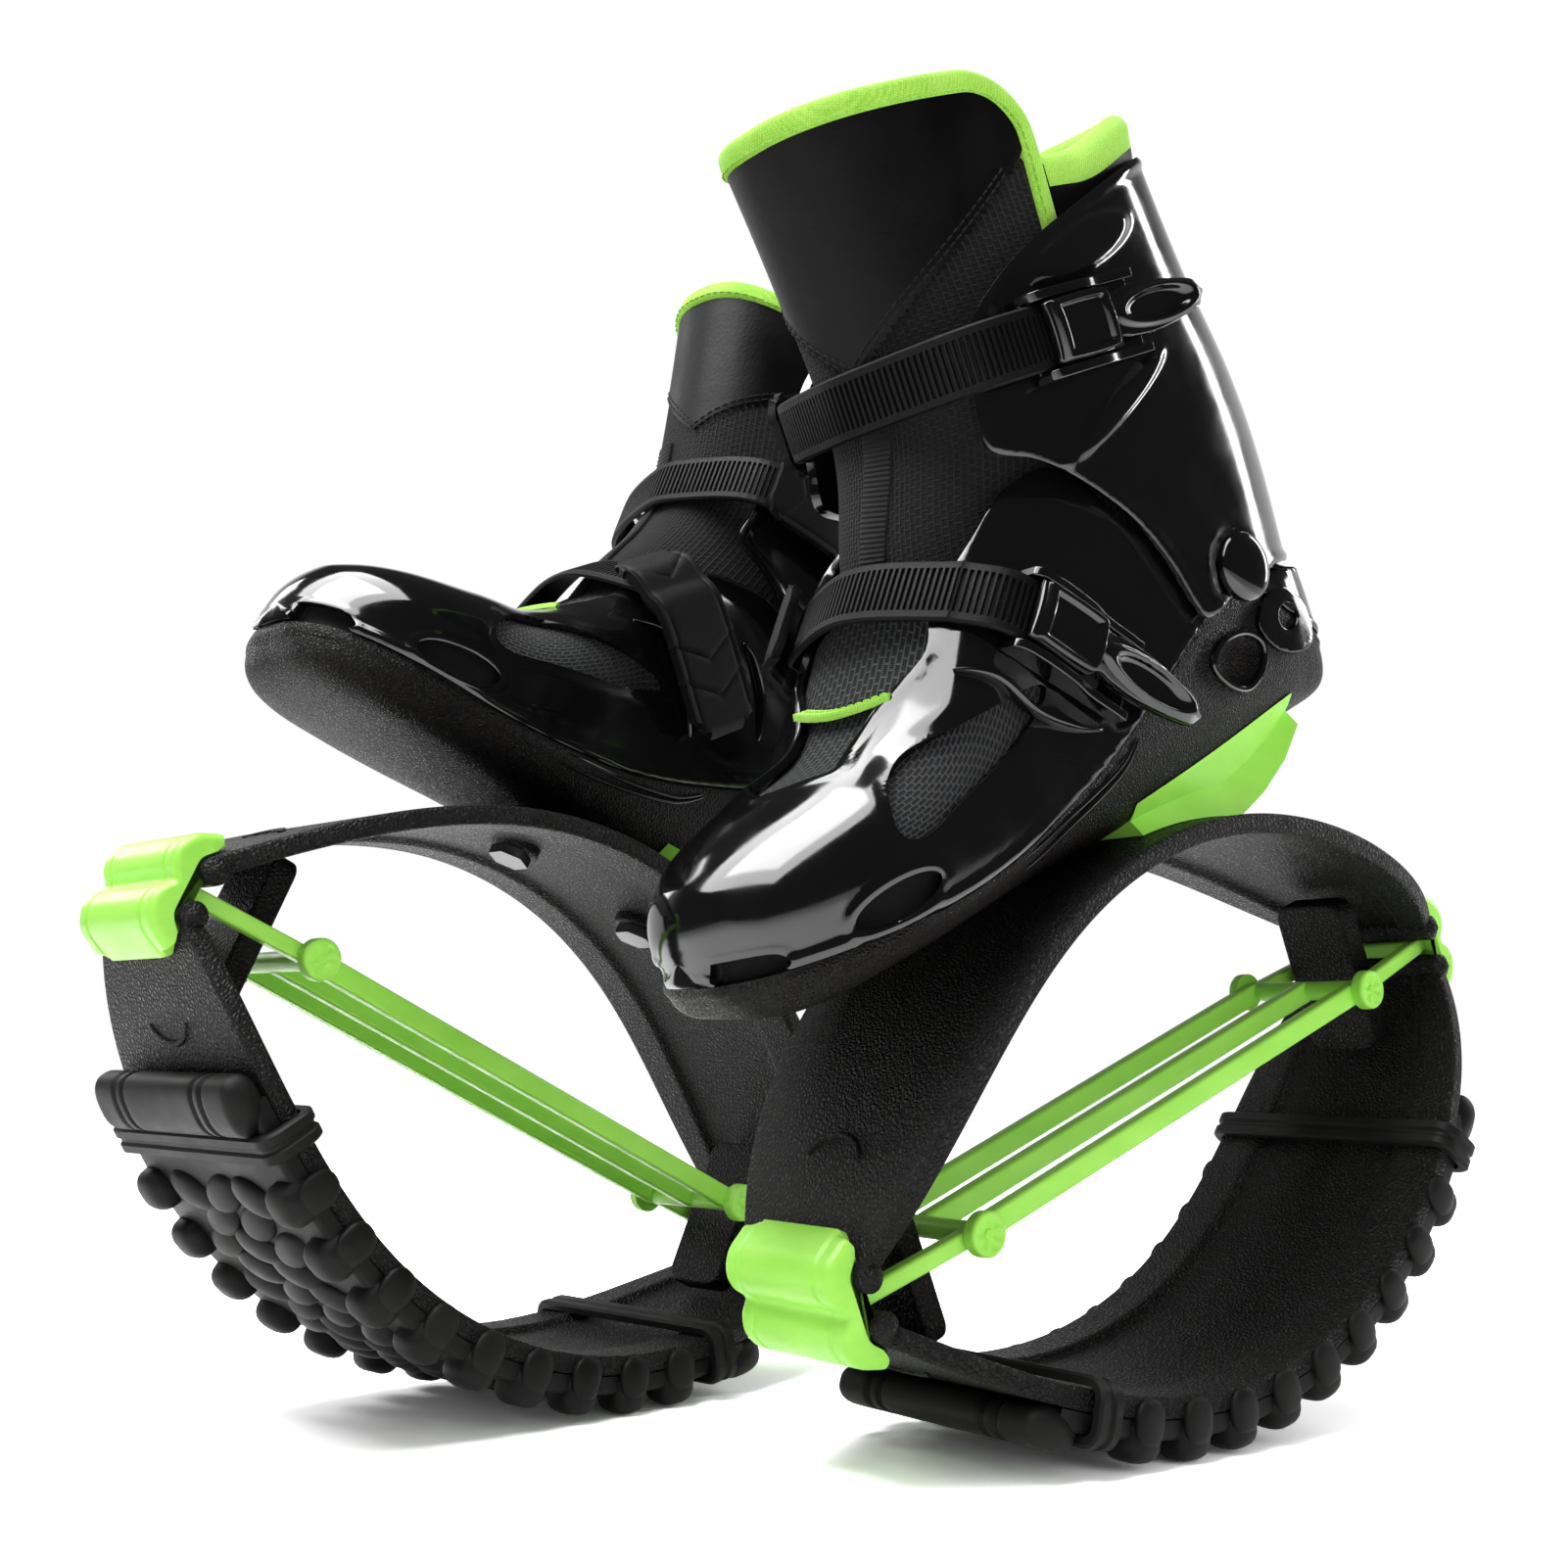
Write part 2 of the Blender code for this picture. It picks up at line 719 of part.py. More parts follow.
def tread():
    """The rubber sole of the lower arch, with domed edge knobs and a rolled end at each side."""
    stations = even_places(roll_place, tread_bays)
    base = loft([
        tread_section(x, arch_width_at(x) - tread_edge_margin, 0.0, -tread_thickness) for x in stations])
    seat = loft([
        tread_section(x, arch_width_at(x) + gap, arch_edge_thickness + cut_overrun, -gap)
        for x in even_places(arch_half_length, arch_stations)])
    reach = arch_length_to(loop_place) - loop_width - knob_radius
    rows = int(reach / knob_pitch)
    extras = []
    for row in range(-rows, rows + 1):
        x = arch_x_at(row * knob_pitch) if row else 0.0
        edge_y = arch_width_at(x) - knob_radius * knob_edge_share
        for side in (-1, 1):
            extras.append(knob(x, side * edge_y, (knob_radius, knob_radius, knob_height)))
        extras.append(knob(x, 0.0, (lens_knob_width, lens_knob_length, lens_knob_height)))
    for end in (-1, 1):
        x = end * roll_place
        half = arch_width_at(x)
        middle = arch_point(x, 0.0, -roll_radius - gap)
        roll = cylinder(roll_radius, (middle[0], -half, middle[2]), (middle[0], half, middle[2]), bar_sides)
        extras.append(rounded(roll, roll_radius * roll_round_share))
    return upside_down(combine(combine(base, extras, "UNION"), [seat], "DIFFERENCE"))


def front_tread_loop():
    """A rubber loop round the arch and the tread, drawn as a rounded rectangle with a hole."""
    half_y = arch_width_at(loop_place - loop_width / 2) + slip_gap
    low = -slip_gap - arch_edge_thickness
    high = tread_thickness + slip_gap

    def rectangle(grow):
        y = half_y + grow
        return [(-y, low - grow), (y, low - grow), (y, high + grow), (-y, high + grow)]

    mesh = outline_prism(rectangle(loop_thickness), loop_width / 2, [rectangle(0.0)])
    mesh = rounded(mesh, loop_thickness * loop_round_share)
    middle = arch_point(loop_place, 0.0, 0.0)
    stand = Matrix(((0, 0, 1, 0), (1, 0, 0, 0), (0, 1, 0, 0), (0, 0, 0, 1)))
    tilt = Matrix.Rotation(-arch_slope(loop_place), 4, "Y")
    mesh.transform(Matrix.Translation(middle) @ tilt @ stand)
    return upside_down(closed(mesh))


def rear_tread_loop():
    return turned_about(front_tread_loop())


def foot_ring(share, inset, lift, count):
    """A section of the boot's foot at a share of its length from heel to toe."""
    width_share, bottom_share, top_share, roundness = smooth_between(foot_shares, share)
    half = max(boot_half_width * width_share - inset, boot_tip_size)
    bottom = sole_bottom_z + bottom_share * sole_heel_rise + inset + lift
    top = sole_bottom_z + top_share * (instep_top_z - sole_bottom_z) - inset
    middle = (top + bottom) / 2
    rise = max((top - bottom) / 2, boot_tip_size)
    squeeze = 1.0 - inset / (boot_length / 2)
    x = boot_toe_x - boot_length / 2 + (share - 0.5) * boot_length * squeeze
    ring = []
    for index in range(count):
        angle = 2 * math.pi * (index + 0.5) / count
        across = math.copysign(abs(math.cos(angle)) ** (2 / roundness), math.cos(angle))
        power = roundness if math.sin(angle) > 0 else sole_form_power
        up = math.copysign(abs(math.sin(angle)) ** (2 / power), math.sin(angle))
        ring.append((x, half * across, middle + rise * up))
    return ring


def foot_solid(inset, lift=0.0):
    """The boot's foot at a depth under its outer face, with the recess that the cuff swings in."""
    form = loft([foot_ring(share, inset, lift, foot_ring_points) for share in foot_station_shares])
    seat = cuff_wall + slip_gap + inset
    core = shaft_solid(cuff_bottom_z - boot_length, cuff_top_z + cut_overrun, seat, cuff_table(), cuff_steps)
    zone = outer_side_outline(grown(cuff_outline(), slip_gap + inset))
    recess = combine(zone, [core], "DIFFERENCE")
    return combine(form, [recess], "DIFFERENCE")


def grown(points, distance):
    """An outline moved outward by a distance, corner by corner."""
    area = sum(x0 * z1 - x1 * z0 for (x0, z0), (x1, z1) in zip(points, points[1:] + points[:1]))
    side = math.copysign(1.0, area)
    moved = []
    for before, here, after in zip(points[-1:] + points[:-1], points, points[1:] + points[:1]):
        into = (Vector(here) - Vector(before)).normalized()
        out = (Vector(after) - Vector(here)).normalized()
        normal = Vector((into.y + out.y, -into.x - out.x)) * side / 2
        reach = distance / max(normal.length_squared, least_miter_share)
        moved.append((here[0] + normal.x * reach, here[1] + normal.y * reach))
    return moved


def shaft_ring(z, inset, table, count):
    """A section of the leg part at a height: an oval from the calf to the shin."""
    back_x, front_x, half = smooth_between(table, z)
    back_x += inset
    front_x -= inset
    half -= inset
    middle = (back_x + front_x) / 2
    reach = (front_x - back_x) / 2
    ring = []
    for index in range(count):
        angle = 2 * math.pi * (index + 0.5) / count
        along = math.copysign(abs(math.cos(angle)) ** (2 / shaft_form_power), math.cos(angle))
        across = math.copysign(abs(math.sin(angle)) ** (2 / shaft_form_power), math.sin(angle))
        ring.append((middle + reach * along, half * across, z))
    return ring


def shaft_solid(low_z, high_z, inset, table, steps):
    heights = [low_z + (high_z - low_z) * step / steps for step in range(steps + 1)]
    return loft([shaft_ring(z, inset, table, shaft_ring_points) for z in heights])


def outer_side_outline(points):
    return side_prism(points, boot_half_width + cut_overrun)


def split_points(lower_by):
    """The line between the gloss shell and the matte sole, from heel to toe."""
    points = []
    for x_share, z_share in split_line_shares:
        points.append((heel_x + x_share * boot_length, sole_bottom_z + z_share * instep_height - lower_by))
    return points


def below_split(lower_by):
    line = split_points(lower_by)
    floor = sole_bottom_z - cut_overrun
    return outer_side_outline(line + [(line[-1][0], floor), (line[0][0], floor)])


def sole_frame():
    """The matte chassis: a tray with a thick floor that the shell and the liner sit in."""
    tray = combine(foot_solid(0.0), [below_split(gap)], "INTERSECT")
    cuts = [foot_solid(shell_wall, sole_floor - shell_wall)]
    for x in bolt_places:
        cuts.append(cylinder(
            bolt_shank_radius + gap, (x, 0.0, 0.0), (x, 0.0, sole_bottom_z + sole_floor + cut_overrun),
            hole_sides))
    return combine(tray, cuts, "DIFFERENCE")


def throat_cutter():
    """Everything in front of and above the shell's throat line, in side view."""
    points = [
        (heel_x + x_share * boot_length, sole_bottom_z + z_share * instep_height)
        for x_share, z_share in throat_line_shares]
    ceiling = tongue_top_z
    points += [(heel_x - cut_overrun, ceiling), (boot_toe_x + cut_overrun, ceiling)]
    return outer_side_outline(points)


def rounded_slot(start_x, end_x, half_width):
    """A slot in plan view with one round end at start_x."""
    points = [(end_x, -half_width)]
    for step in range(slot_steps + 1):
        angle = -math.pi / 2 + math.pi * step / slot_steps
        points.append((start_x - half_width + half_width * math.cos(angle), half_width * math.sin(angle)))
    return points + [(end_x, half_width)]


def toe_slot_cutter():
    front_x = heel_x + toe_opening_share * boot_length
    rear_x = heel_x + throat_start_share * boot_length
    mesh = outline_prism(rounded_slot(front_x, rear_x, toe_opening_half_width), instep_height / 2)
    mesh.transform(Matrix.Translation((0.0, 0.0, sole_bottom_z + sole_heel_rise + instep_height / 2)))
    return mesh


def side_pair(points, inner_y):
    """The same side outline as a cutter at each side, from inner_y outward."""
    half = boot_half_width / 2
    return [side_prism(points, half, middle_y=side * (inner_y + half)) for side in (-1, 1)]


def window_cutters():
    """A teardrop window, an oval vent and a toe slot through each side of the shell."""
    inner_y = boot_half_width * window_inner_share
    slot_z = sole_bottom_z + toe_slot_place
    slot = box_outline(
        boot_toe_x - toe_slot_depth, boot_toe_x + cut_overrun,
        slot_z - toe_slot_height / 2, slot_z + toe_slot_height / 2)
    return (
        side_pair(window_outline(), inner_y) + side_pair(vent_outline(), inner_y)
        + side_pair(slot, toe_slot_inner_y))


def box_outline(low_x, high_x, low_z, high_z):
    return [(low_x, low_z), (high_x, low_z), (high_x, high_z), (low_x, high_z)]


def window_outline():
    """Teardrop in side view: round at the toe end, drawn to a point at the heel end."""
    place = (heel_x + window_place_share * boot_length, sole_bottom_z + window_place_height)
    points = []
    for step in range(window_steps):
        angle = 2 * math.pi * step / window_steps
        along = math.cos(angle)
        narrow = (1 + along) / 2 * (1 - window_tip_share) + window_tip_share
        points.append((window_half_length * along, window_half_height * math.sin(angle) * narrow))
    return tilted(points, window_tilt, place)


def vent_outline():
    place = (heel_x + vent_place_share * boot_length, sole_bottom_z + vent_place_height)
    points = []
    for step in range(vent_steps):
        angle = 2 * math.pi * step / vent_steps
        points.append((vent_half_length * math.cos(angle), vent_half_height * math.sin(angle)))
    return tilted(points, vent_tilt, place)


def tilted(points, angle, place):
    """A flat outline turned by an angle and moved to its place."""
    turned = []
    for along, up in points:
        turned.append((
            place[0] + along * math.cos(angle) - up * math.sin(angle),
            place[1] + along * math.sin(angle) + up * math.cos(angle)))
    return turned


def rivet_hole():
    reach = boot_half_width + cut_overrun
    return cylinder(
        ankle_shank_radius + gap, (ankle_x, -reach, ankle_z), (ankle_x, reach, ankle_z), hole_sides)


def boot_shell():
    """The gloss shell over the foot, open on top, with windows at its sides."""
    skin = combine(foot_solid(0.0), [below_split(0.0)], "DIFFERENCE")
    cuts = [foot_solid(shell_wall), throat_cutter(), toe_slot_cutter(), rivet_hole()]
    return combine(skin, cuts + window_cutters(), "DIFFERENCE")


def cuff():
    """The gloss cuff round the heel and calf, open in front, hinged at the ankle rivets."""
    outer = shaft_solid(cuff_bottom_z - cut_overrun, cuff_top_z + cut_overrun, 0.0, cuff_table(), cuff_steps)
    inner = shaft_solid(
        cuff_bottom_z - 2 * cut_overrun, cuff_top_z + 2 * cut_overrun, cuff_wall, cuff_table(), cuff_steps)
    outline = outer_side_outline(cuff_outline())
    skin = combine(outer, [outline], "INTERSECT")
    return combine(skin, [inner, rivet_hole()], "DIFFERENCE")


def cuff_outline():
    """The cuff in side view, from its top back corner round the front to the heel."""
    depth = cuff_depth_share * boot_length
    height = cuff_top_z - cuff_bottom_z
    return [
        (cuff_back_x + x_share * depth, cuff_bottom_z + z_share * height)
        for x_share, z_share in cuff_outline_shares]


def cuff_table():
    """Rows of height, calf side x, shin side x and half width of the cuff's outer face."""
    height = cuff_top_z - cuff_bottom_z
    return [
        (cuff_bottom_z + z_share * height, cuff_back_x + back_share * boot_length,
         cuff_back_x + front_share * boot_length, boot_half_width * width_share)
        for z_share, back_share, front_share, width_share in cuff_shares]


def liner_table():
    """Rows of height, calf side x, shin side x and half width of the liner's outer face."""
    height = tongue_top_z - liner_split_z
    inner_back = cuff_back_x + cuff_wall + liner_clearance
    inner_half = boot_half_width - shell_wall - liner_clearance
    return [
        (liner_split_z + z_share * height, inner_back + back_share * boot_length,
         inner_back + front_share * boot_length, inner_half * width_share)
        for z_share, back_share, front_share, width_share in liner_shares]


def liner_foot():
    """The soft sock of the liner inside the shell, hollow for the foot and open above."""
    outer = foot_solid(shell_wall + liner_clearance, sole_floor - shell_wall)
    keep = box(
        (heel_x - cut_overrun, -boot_length, 0.0),
        (boot_toe_x + cut_overrun, boot_length, liner_split_z - gap))
    body = combine(outer, [keep], "INTERSECT")
    hollow = foot_solid(shell_wall + liner_clearance + liner_wall, sole_floor - shell_wall)
    return combine(body, [hollow], "DIFFERENCE")


def liner_ring(top_z, wall):
    outer = shaft_solid(liner_split_z, top_z, 0.0, liner_table(), liner_steps)
    inner = shaft_solid(liner_split_z - cut_overrun, top_z + cut_overrun, wall, liner_table(), liner_steps)
    return combine(outer, [inner], "DIFFERENCE")


def liner_shaft():
    """The rear of the liner round the heel and calf, with a raised padded top."""
    keep = box(
        (cuff_back_x - cut_overrun, -boot_length, liner_split_z - cut_overrun),
        (tongue_edge_x - gap, boot_length, liner_top_z + cut_overrun))
    return combine(liner_ring(liner_top_z, liner_wall), [keep], "INTERSECT")


def tongue(lean):
    """The tall tongue in front of the shin, rounded at its top rear corners and leaning forward."""
    outline = outer_side_outline(tongue_outline())
    mesh = combine(liner_ring(tongue_top_z, tongue_wall), [outline], "INTERSECT")
    front_x = max(vertex.co.x for vertex in mesh.vertices)
    for vertex in mesh.vertices:
        rise = max(vertex.co.z - tongue_bend_z, 0.0) / (tongue_top_z - tongue_bend_z)
        forward = (vertex.co.x - tongue_edge_x) / (front_x - tongue_edge_x)
        vertex.co.x += lean * rise * math.sqrt(max(forward, 0.0))
    return mesh


def tongue_outline():
    """The tongue in side view, with a rounded corner at its top rear."""
    low = liner_split_z - cut_overrun
    points = [(tongue_edge_x, low), (boot_toe_x, low), (boot_toe_x, tongue_top_z + cut_overrun)]
    middle = (tongue_edge_x + tongue_corner, tongue_top_z - tongue_corner)
    for step in range(tongue_corner_steps + 1):
        angle = math.pi / 2 * (1 + step / tongue_corner_steps)
        points.append((
            middle[0] + tongue_corner * math.cos(angle), middle[1] + tongue_corner * math.sin(angle)))
    return points


def insole():
    outer = foot_solid(shell_wall + liner_clearance + liner_wall + slip_gap, sole_floor - shell_wall)
    low = sole_bottom_z + sole_floor + liner_clearance + liner_wall
    keep = box(
        (heel_x + insole_end_inset, -boot_length, 0.0),
        (boot_toe_x - insole_end_inset, boot_length, low + insole_thickness))
    return combine(outer, [keep], "INTERSECT")


def sole_underside_z(x):
    """Height of the sole's underside on the middle plane."""
    share = (x - heel_x) / boot_length
    return sole_bottom_z + smooth_between(foot_shares, share)[1] * sole_heel_rise


def spacer_wedge():
    """The lime wedge that fills the space between the sole and the rear of the upper arch."""
    under = []
    over = []
    for share in wedge_side_shares:
        x = wedge_front_x + share * (wedge_rear_x - wedge_front_x)
        top = sole_underside_z(x) - gap
        under.append((x, max(min(arch_outer_z(x) + gap, top - wedge_least), wedge_floor_z(x))))
        over.append((x, top))
    rear_x = bolt_places[1]
    hole = cylinder(
        bolt_shank_radius + gap, (rear_x, 0.0, 0.0), (rear_x, 0.0, sole_bottom_z + cut_overrun), hole_sides)
    return combine(side_prism(under + over[::-1], wedge_half_width), [hole], "DIFFERENCE")


def wedge_floor_z(x):
    """Behind its lowest point the wedge rises off the arch in a straight line to its rear edge."""
    share = (x - wedge_low_x) / (wedge_rear_x - wedge_low_x)
    low = arch_outer_z(wedge_low_x) + gap
    high = sole_underside_z(wedge_rear_x) - gap - wedge_least
    return low + max(share, 0.0) * (high - low) if share > 0.0 else 0.0


def sole_bolt(x):
    """A bolt from under the arch's crown up into the sole; its head bears on the arch's boss."""
    seat = bolt_boss_z(x) - gap
    top = sole_bottom_z + sole_floor - gap
    head = cylinder(bolt_head_radius, (x, 0.0, seat - bolt_head_height), (x, 0.0, seat), hex_sides)
    shank = cylinder(bolt_shank_radius, (x, 0.0, seat - bolt_head_height / 2), (x, 0.0, top), hole_sides)
    return combine(head, [shank], "UNION")


def ankle_rivet(side):
    """A domed rivet on whose shank the cuff turns; its head lies on the cuff."""
    half = smooth_between(cuff_table(), ankle_z)[2]
    seat = half + slip_gap
    inner = half - cuff_wall - slip_gap - shell_wall
    head = cylinder(
        ankle_head_radius, (ankle_x, side * seat, ankle_z),
        (ankle_x, side * (seat + ankle_head_height), ankle_z), rivet_sides, ankle_head_radius * dome_share)
    shank = cylinder(
        ankle_shank_radius, (ankle_x, side * inner, ankle_z),
        (ankle_x, side * (seat + ankle_head_height / 2), ankle_z), hole_sides)
    return combine(head, [shank], "UNION")


def turning(start, middle, end):
    """Positive where a path through three points turns left."""
    return (
        (middle[0] - start[0]) * (end[1] - start[1]) - (middle[1] - start[1]) * (end[0] - start[0]))


def taut(points):
    """The outline of a cord pulled taut round a set of points, anticlockwise."""
    ordered = sorted(points)
    chains = []
    for run in (ordered, ordered[::-1]):
        chain = []
        for point in run:
            while len(chain) > 1 and turning(chain[-2], chain[-1], point) <= 0.0:
                chain.pop()
            chain.append(point)
        chains.append(chain[:-1])
    return chains[0] + chains[1]


def spaced(points, spacing):
    """The outline without the points that crowd closer than a spacing."""
    kept = [points[0]]
    for point in points[1:]:
        if math.dist(point, kept[-1]) > spacing and math.dist(point, kept[0]) > spacing:
            kept.append(point)
    return kept


def section(mesh, place, level):
    """Where a mesh crosses the plane at a level over a placement's own XY plane."""
    work = bmesh.new()
    work.from_mesh(mesh)
    bmesh.ops.transform(work, matrix=place.inverted(), verts=work.verts)
    cut = bmesh.ops.bisect_plane(
        work, geom=work.verts[:] + work.edges[:] + work.faces[:], plane_co=(0.0, 0.0, level),
        plane_no=(0.0, 0.0, 1.0))
    found = [item.co.xy.to_tuple() for item in cut["geom_cut"] if isinstance(item, bmesh.types.BMVert)]
    work.free()
    return found


def strap_stand(length_share, height, tilt, around):
    """Where a strap lies: its placement, the outline that it hugs, and the sides of buckle and pad."""
    place = Matrix.Translation((heel_x + length_share * boot_length, 0.0, sole_bottom_z + height))
    place = place @ Matrix.Rotation(tilt, 4, "Y")
    points = []
    for level in even_places(buckle_width / 2, strap_level_steps):
        for mesh in around:
            points += section(mesh, place, level)
    beside = [abs(y) for x, y in points if -strap_tail - pad_overlap < x < 0.0]
    inner_side = max(beside) + gap
    outer_side = inner_side + buckle_floor + slip_gap
    rear_x = -strap_tail - pad_overlap - cut_overrun
    points = [(x, y) for x, y in points if x > -strap_tail]
    corners = [(rear_x, -inner_side), (-strap_tail, -inner_side), (0.0, outer_side), (rear_x, outer_side)]
    form = spaced(taut(points + corners), strap_point_spacing)
    return place, form, outer_side


def hugging_band(stand, clearance, thickness, height, keep):
    """A band round the form of a strap, as far as it lies inside a keep box."""
    place, form, outer_side = stand
    outline = grown(form, clearance + thickness)
    hole = grown(form, clearance)
    mesh = combine(outline_prism(outline, height / 2, [hole]), [keep], "INTERSECT")
    mesh.transform(place)
    return closed(mesh)


def strap(stand):
    """A ladder strap, taut from the buckle round the front to the pad."""
    reach = boot_length
    keep = box((-strap_tail, -reach, -reach), (reach, reach, reach))
    return hugging_band(stand, slip_gap, strap_thickness, strap_height, keep)


def strap_pad(stand):
    """The wide anchor pad that holds the strap's inner end on the other side of the shoe."""
    reach = boot_length
    keep = box((-strap_tail - pad_overlap, -reach, -reach), (pad_reach, 0.0, reach))
    return hugging_band(stand, slip_gap + strap_thickness + gap, pad_thickness, pad_height, keep)


def buckle_matrix(stand):
    """A frame on the outer side of a strap: x runs along it to the rear, y outward, z across it."""
    place, form, outer_side = stand
    turn = Matrix.Rotation(math.pi, 4, "Y")
    return place @ Matrix.Translation((0.0, outer_side, 0.0)) @ turn


def buckle_base(stand):
    """A channel fixed to the shell, through which the ladder strap runs."""
    half = buckle_width / 2
    inner = half - buckle_rail
    low = -buckle_floor - slip_gap
    floor_top = -slip_gap
    outline = [
        (-half, low), (half, low), (half, low + buckle_height), (inner, low + buckle_height),
        (inner, floor_top), (-inner, floor_top), (-inner, low + buckle_height), (-half, low + buckle_height)]
    mesh = outline_prism(outline, buckle_length / 2)
    upright = Matrix(((0, 0, 1, buckle_length / 2), (0, 1, 0, 0), (1, 0, 0, 0), (0, 0, 0, 1)))
    mesh.transform(upright)
    mesh = closed(mesh)
    pin_x, pin_y = lever_pin_place()
    hole = cylinder(
        lever_pin_radius + gap, (pin_x, pin_y, -buckle_width), (pin_x, pin_y, buckle_width), pin_sides)
    mesh = combine(mesh, [hole], "DIFFERENCE")
    mesh.transform(buckle_matrix(stand))
    return closed(mesh)


def lever_pin_place():
    """The lever's pin in the buckle's frame, along the strap and outward."""
    return (lever_pin_inset, low_face_of_lever() + lever_thickness / 2)


def low_face_of_lever():
    return slip_gap + strap_thickness + slip_gap


def buckle_lever(stand):
    """A teardrop lever on a cross pin at its front end, lying over the strap."""
    inner = buckle_width / 2 - buckle_rail - slip_gap
    pin_x, pin_y = lever_pin_place()
    nose = pin_x - lever_thickness / 2
    neck = buckle_length
    outline = [(nose, -inner), (nose, inner), (neck * lever_shoulder_share, inner)]
    tip = nose + lever_length
    for step in range(lever_round_steps + 1):
        angle = math.pi / 2 - math.pi * step / lever_round_steps
        radius = inner * lever_tip_share
        outline.append((tip - radius + radius * math.cos(angle), radius * math.sin(angle)))
    outline.append((neck * lever_shoulder_share, -inner))
    mesh = outline_prism(outline, lever_thickness / 2)
    mesh.transform(Matrix.Translation((0.0, pin_y, 0.0)) @ Matrix.Rotation(-math.pi / 2, 4, "X"))
    mesh = rounded(closed(mesh), lever_thickness * lever_round_share)
    reach_z = buckle_width / 2 - gap
    pin = cylinder(lever_pin_radius, (pin_x, pin_y, -reach_z), (pin_x, pin_y, reach_z), pin_sides)
    mesh = combine(mesh, [pin], "UNION")
    mesh.transform(buckle_matrix(stand))
    return closed(mesh)


def lever_pivot(stand):
    pin_x, pin_y = lever_pin_place()
    return buckle_matrix(stand) @ Vector((pin_x, pin_y, 0.0))


clear_scene()
work_collection = bpy.data.collections.new("workbench")
bpy.context.scene.collection.children.link(work_collection)
part_collection = bpy.data.collections.new("rebound_boots")
bpy.context.scene.collection.children.link(part_collection)
materials = {name: new_material(name) for name in colours}

ankle_pivot = (ankle_x, 0.0, ankle_z)
centre = (0.0, 0.0, 0.0)
sole_mesh = sole_frame()
shell_mesh = boot_shell()
cuff_mesh = cuff()
straight_tongue = tongue(0.0)
upper_stand = strap_stand(
    upper_strap_share, upper_strap_height, upper_strap_tilt, [cuff_mesh, straight_tongue])
lower_stand = strap_stand(
    lower_strap_share, lower_strap_height, lower_strap_tilt, [sole_mesh, shell_mesh, straight_tongue])
pieces = {
    "lower_arch": (lower_arch(), "textured_black", centre),
    "tread": (tread(), "tread_rubber", centre),
    "front_tread_loop": (front_tread_loop(), "tread_rubber", centre),
    "rear_tread_loop": (rear_tread_loop(), "tread_rubber", centre),
    "front_clip": (front_clip(), "lime_plastic", centre),
    "rear_clip": (rear_clip(), "lime_plastic", centre),
    "tension_band": (tension_band(), "lime_plastic", centre),
    "front_insert": (front_insert(), "textured_black", centre),
    "rear_insert": (rear_insert(), "textured_black", centre),
    "upper_arch": (upper_arch(), "textured_black", centre),
    "spacer_wedge": (spacer_wedge(), "lime_plastic", centre),
    "front_sole_bolt": (sole_bolt(bolt_places[0]), "bolt_steel", centre),
    "rear_sole_bolt": (sole_bolt(bolt_places[1]), "bolt_steel", centre),
    "sole_frame": (sole_mesh, "textured_black", centre),
    "boot_shell": (shell_mesh, "gloss_black", centre),
    "liner_foot": (liner_foot(), "liner_fabric", centre),
    "insole": (insole(), "insole_foam", centre),
    "lateral_ankle_rivet": (ankle_rivet(1), "gloss_black", ankle_pivot),
    "medial_ankle_rivet": (ankle_rivet(-1), "gloss_black", ankle_pivot),
    "cuff": (cuff_mesh, "gloss_black", ankle_pivot),
    "liner_shaft": (liner_shaft(), "liner_fabric", ankle_pivot),
    "upper_strap": (strap(upper_stand), "strap_plastic", ankle_pivot),
    "upper_strap_pad": (strap_pad(upper_stand), "strap_plastic", ankle_pivot),
    "upper_buckle_base": (buckle_base(upper_stand), "gloss_black", ankle_pivot),
    "upper_buckle_lever": (buckle_lever(upper_stand), "gloss_black", lever_pivot(upper_stand)),
    "lower_strap": (strap(lower_stand), "strap_plastic", centre),
    "lower_strap_pad": (strap_pad(lower_stand), "strap_plastic", centre),
    "lower_buckle_base": (buckle_base(lower_stand), "gloss_black", centre),
    "lower_buckle_lever": (buckle_lever(lower_stand), "gloss_black", lever_pivot(lower_stand)),
}


def shoe_matrix(place, heading, nose_down):
    turn = Matrix.Rotation(heading, 4, "Z") @ Matrix.Rotation(nose_down, 4, "Y")
    return Matrix.Translation((place[0], place[1], 0.0)) @ turn


def mirrored(mesh):
    """The other shoe's mesh."""
    mesh.transform(Matrix.Scale(-1.0, 4, (0.0, 1.0, 0.0)))
    mesh.flip_normals()
    return mesh


def pressed_on_floor(mesh, stand):
    """Rubber under the shoe's weight is pressed flat on the floor."""
    reach = arch_half_length + boot_length
    mesh.transform(stand)
    under = box((-reach, -reach, -reach), (reach, reach, 0.0))
    mesh = combine(mesh, [under], "DIFFERENCE")
    mesh.transform(stand.inverted())
    return mesh


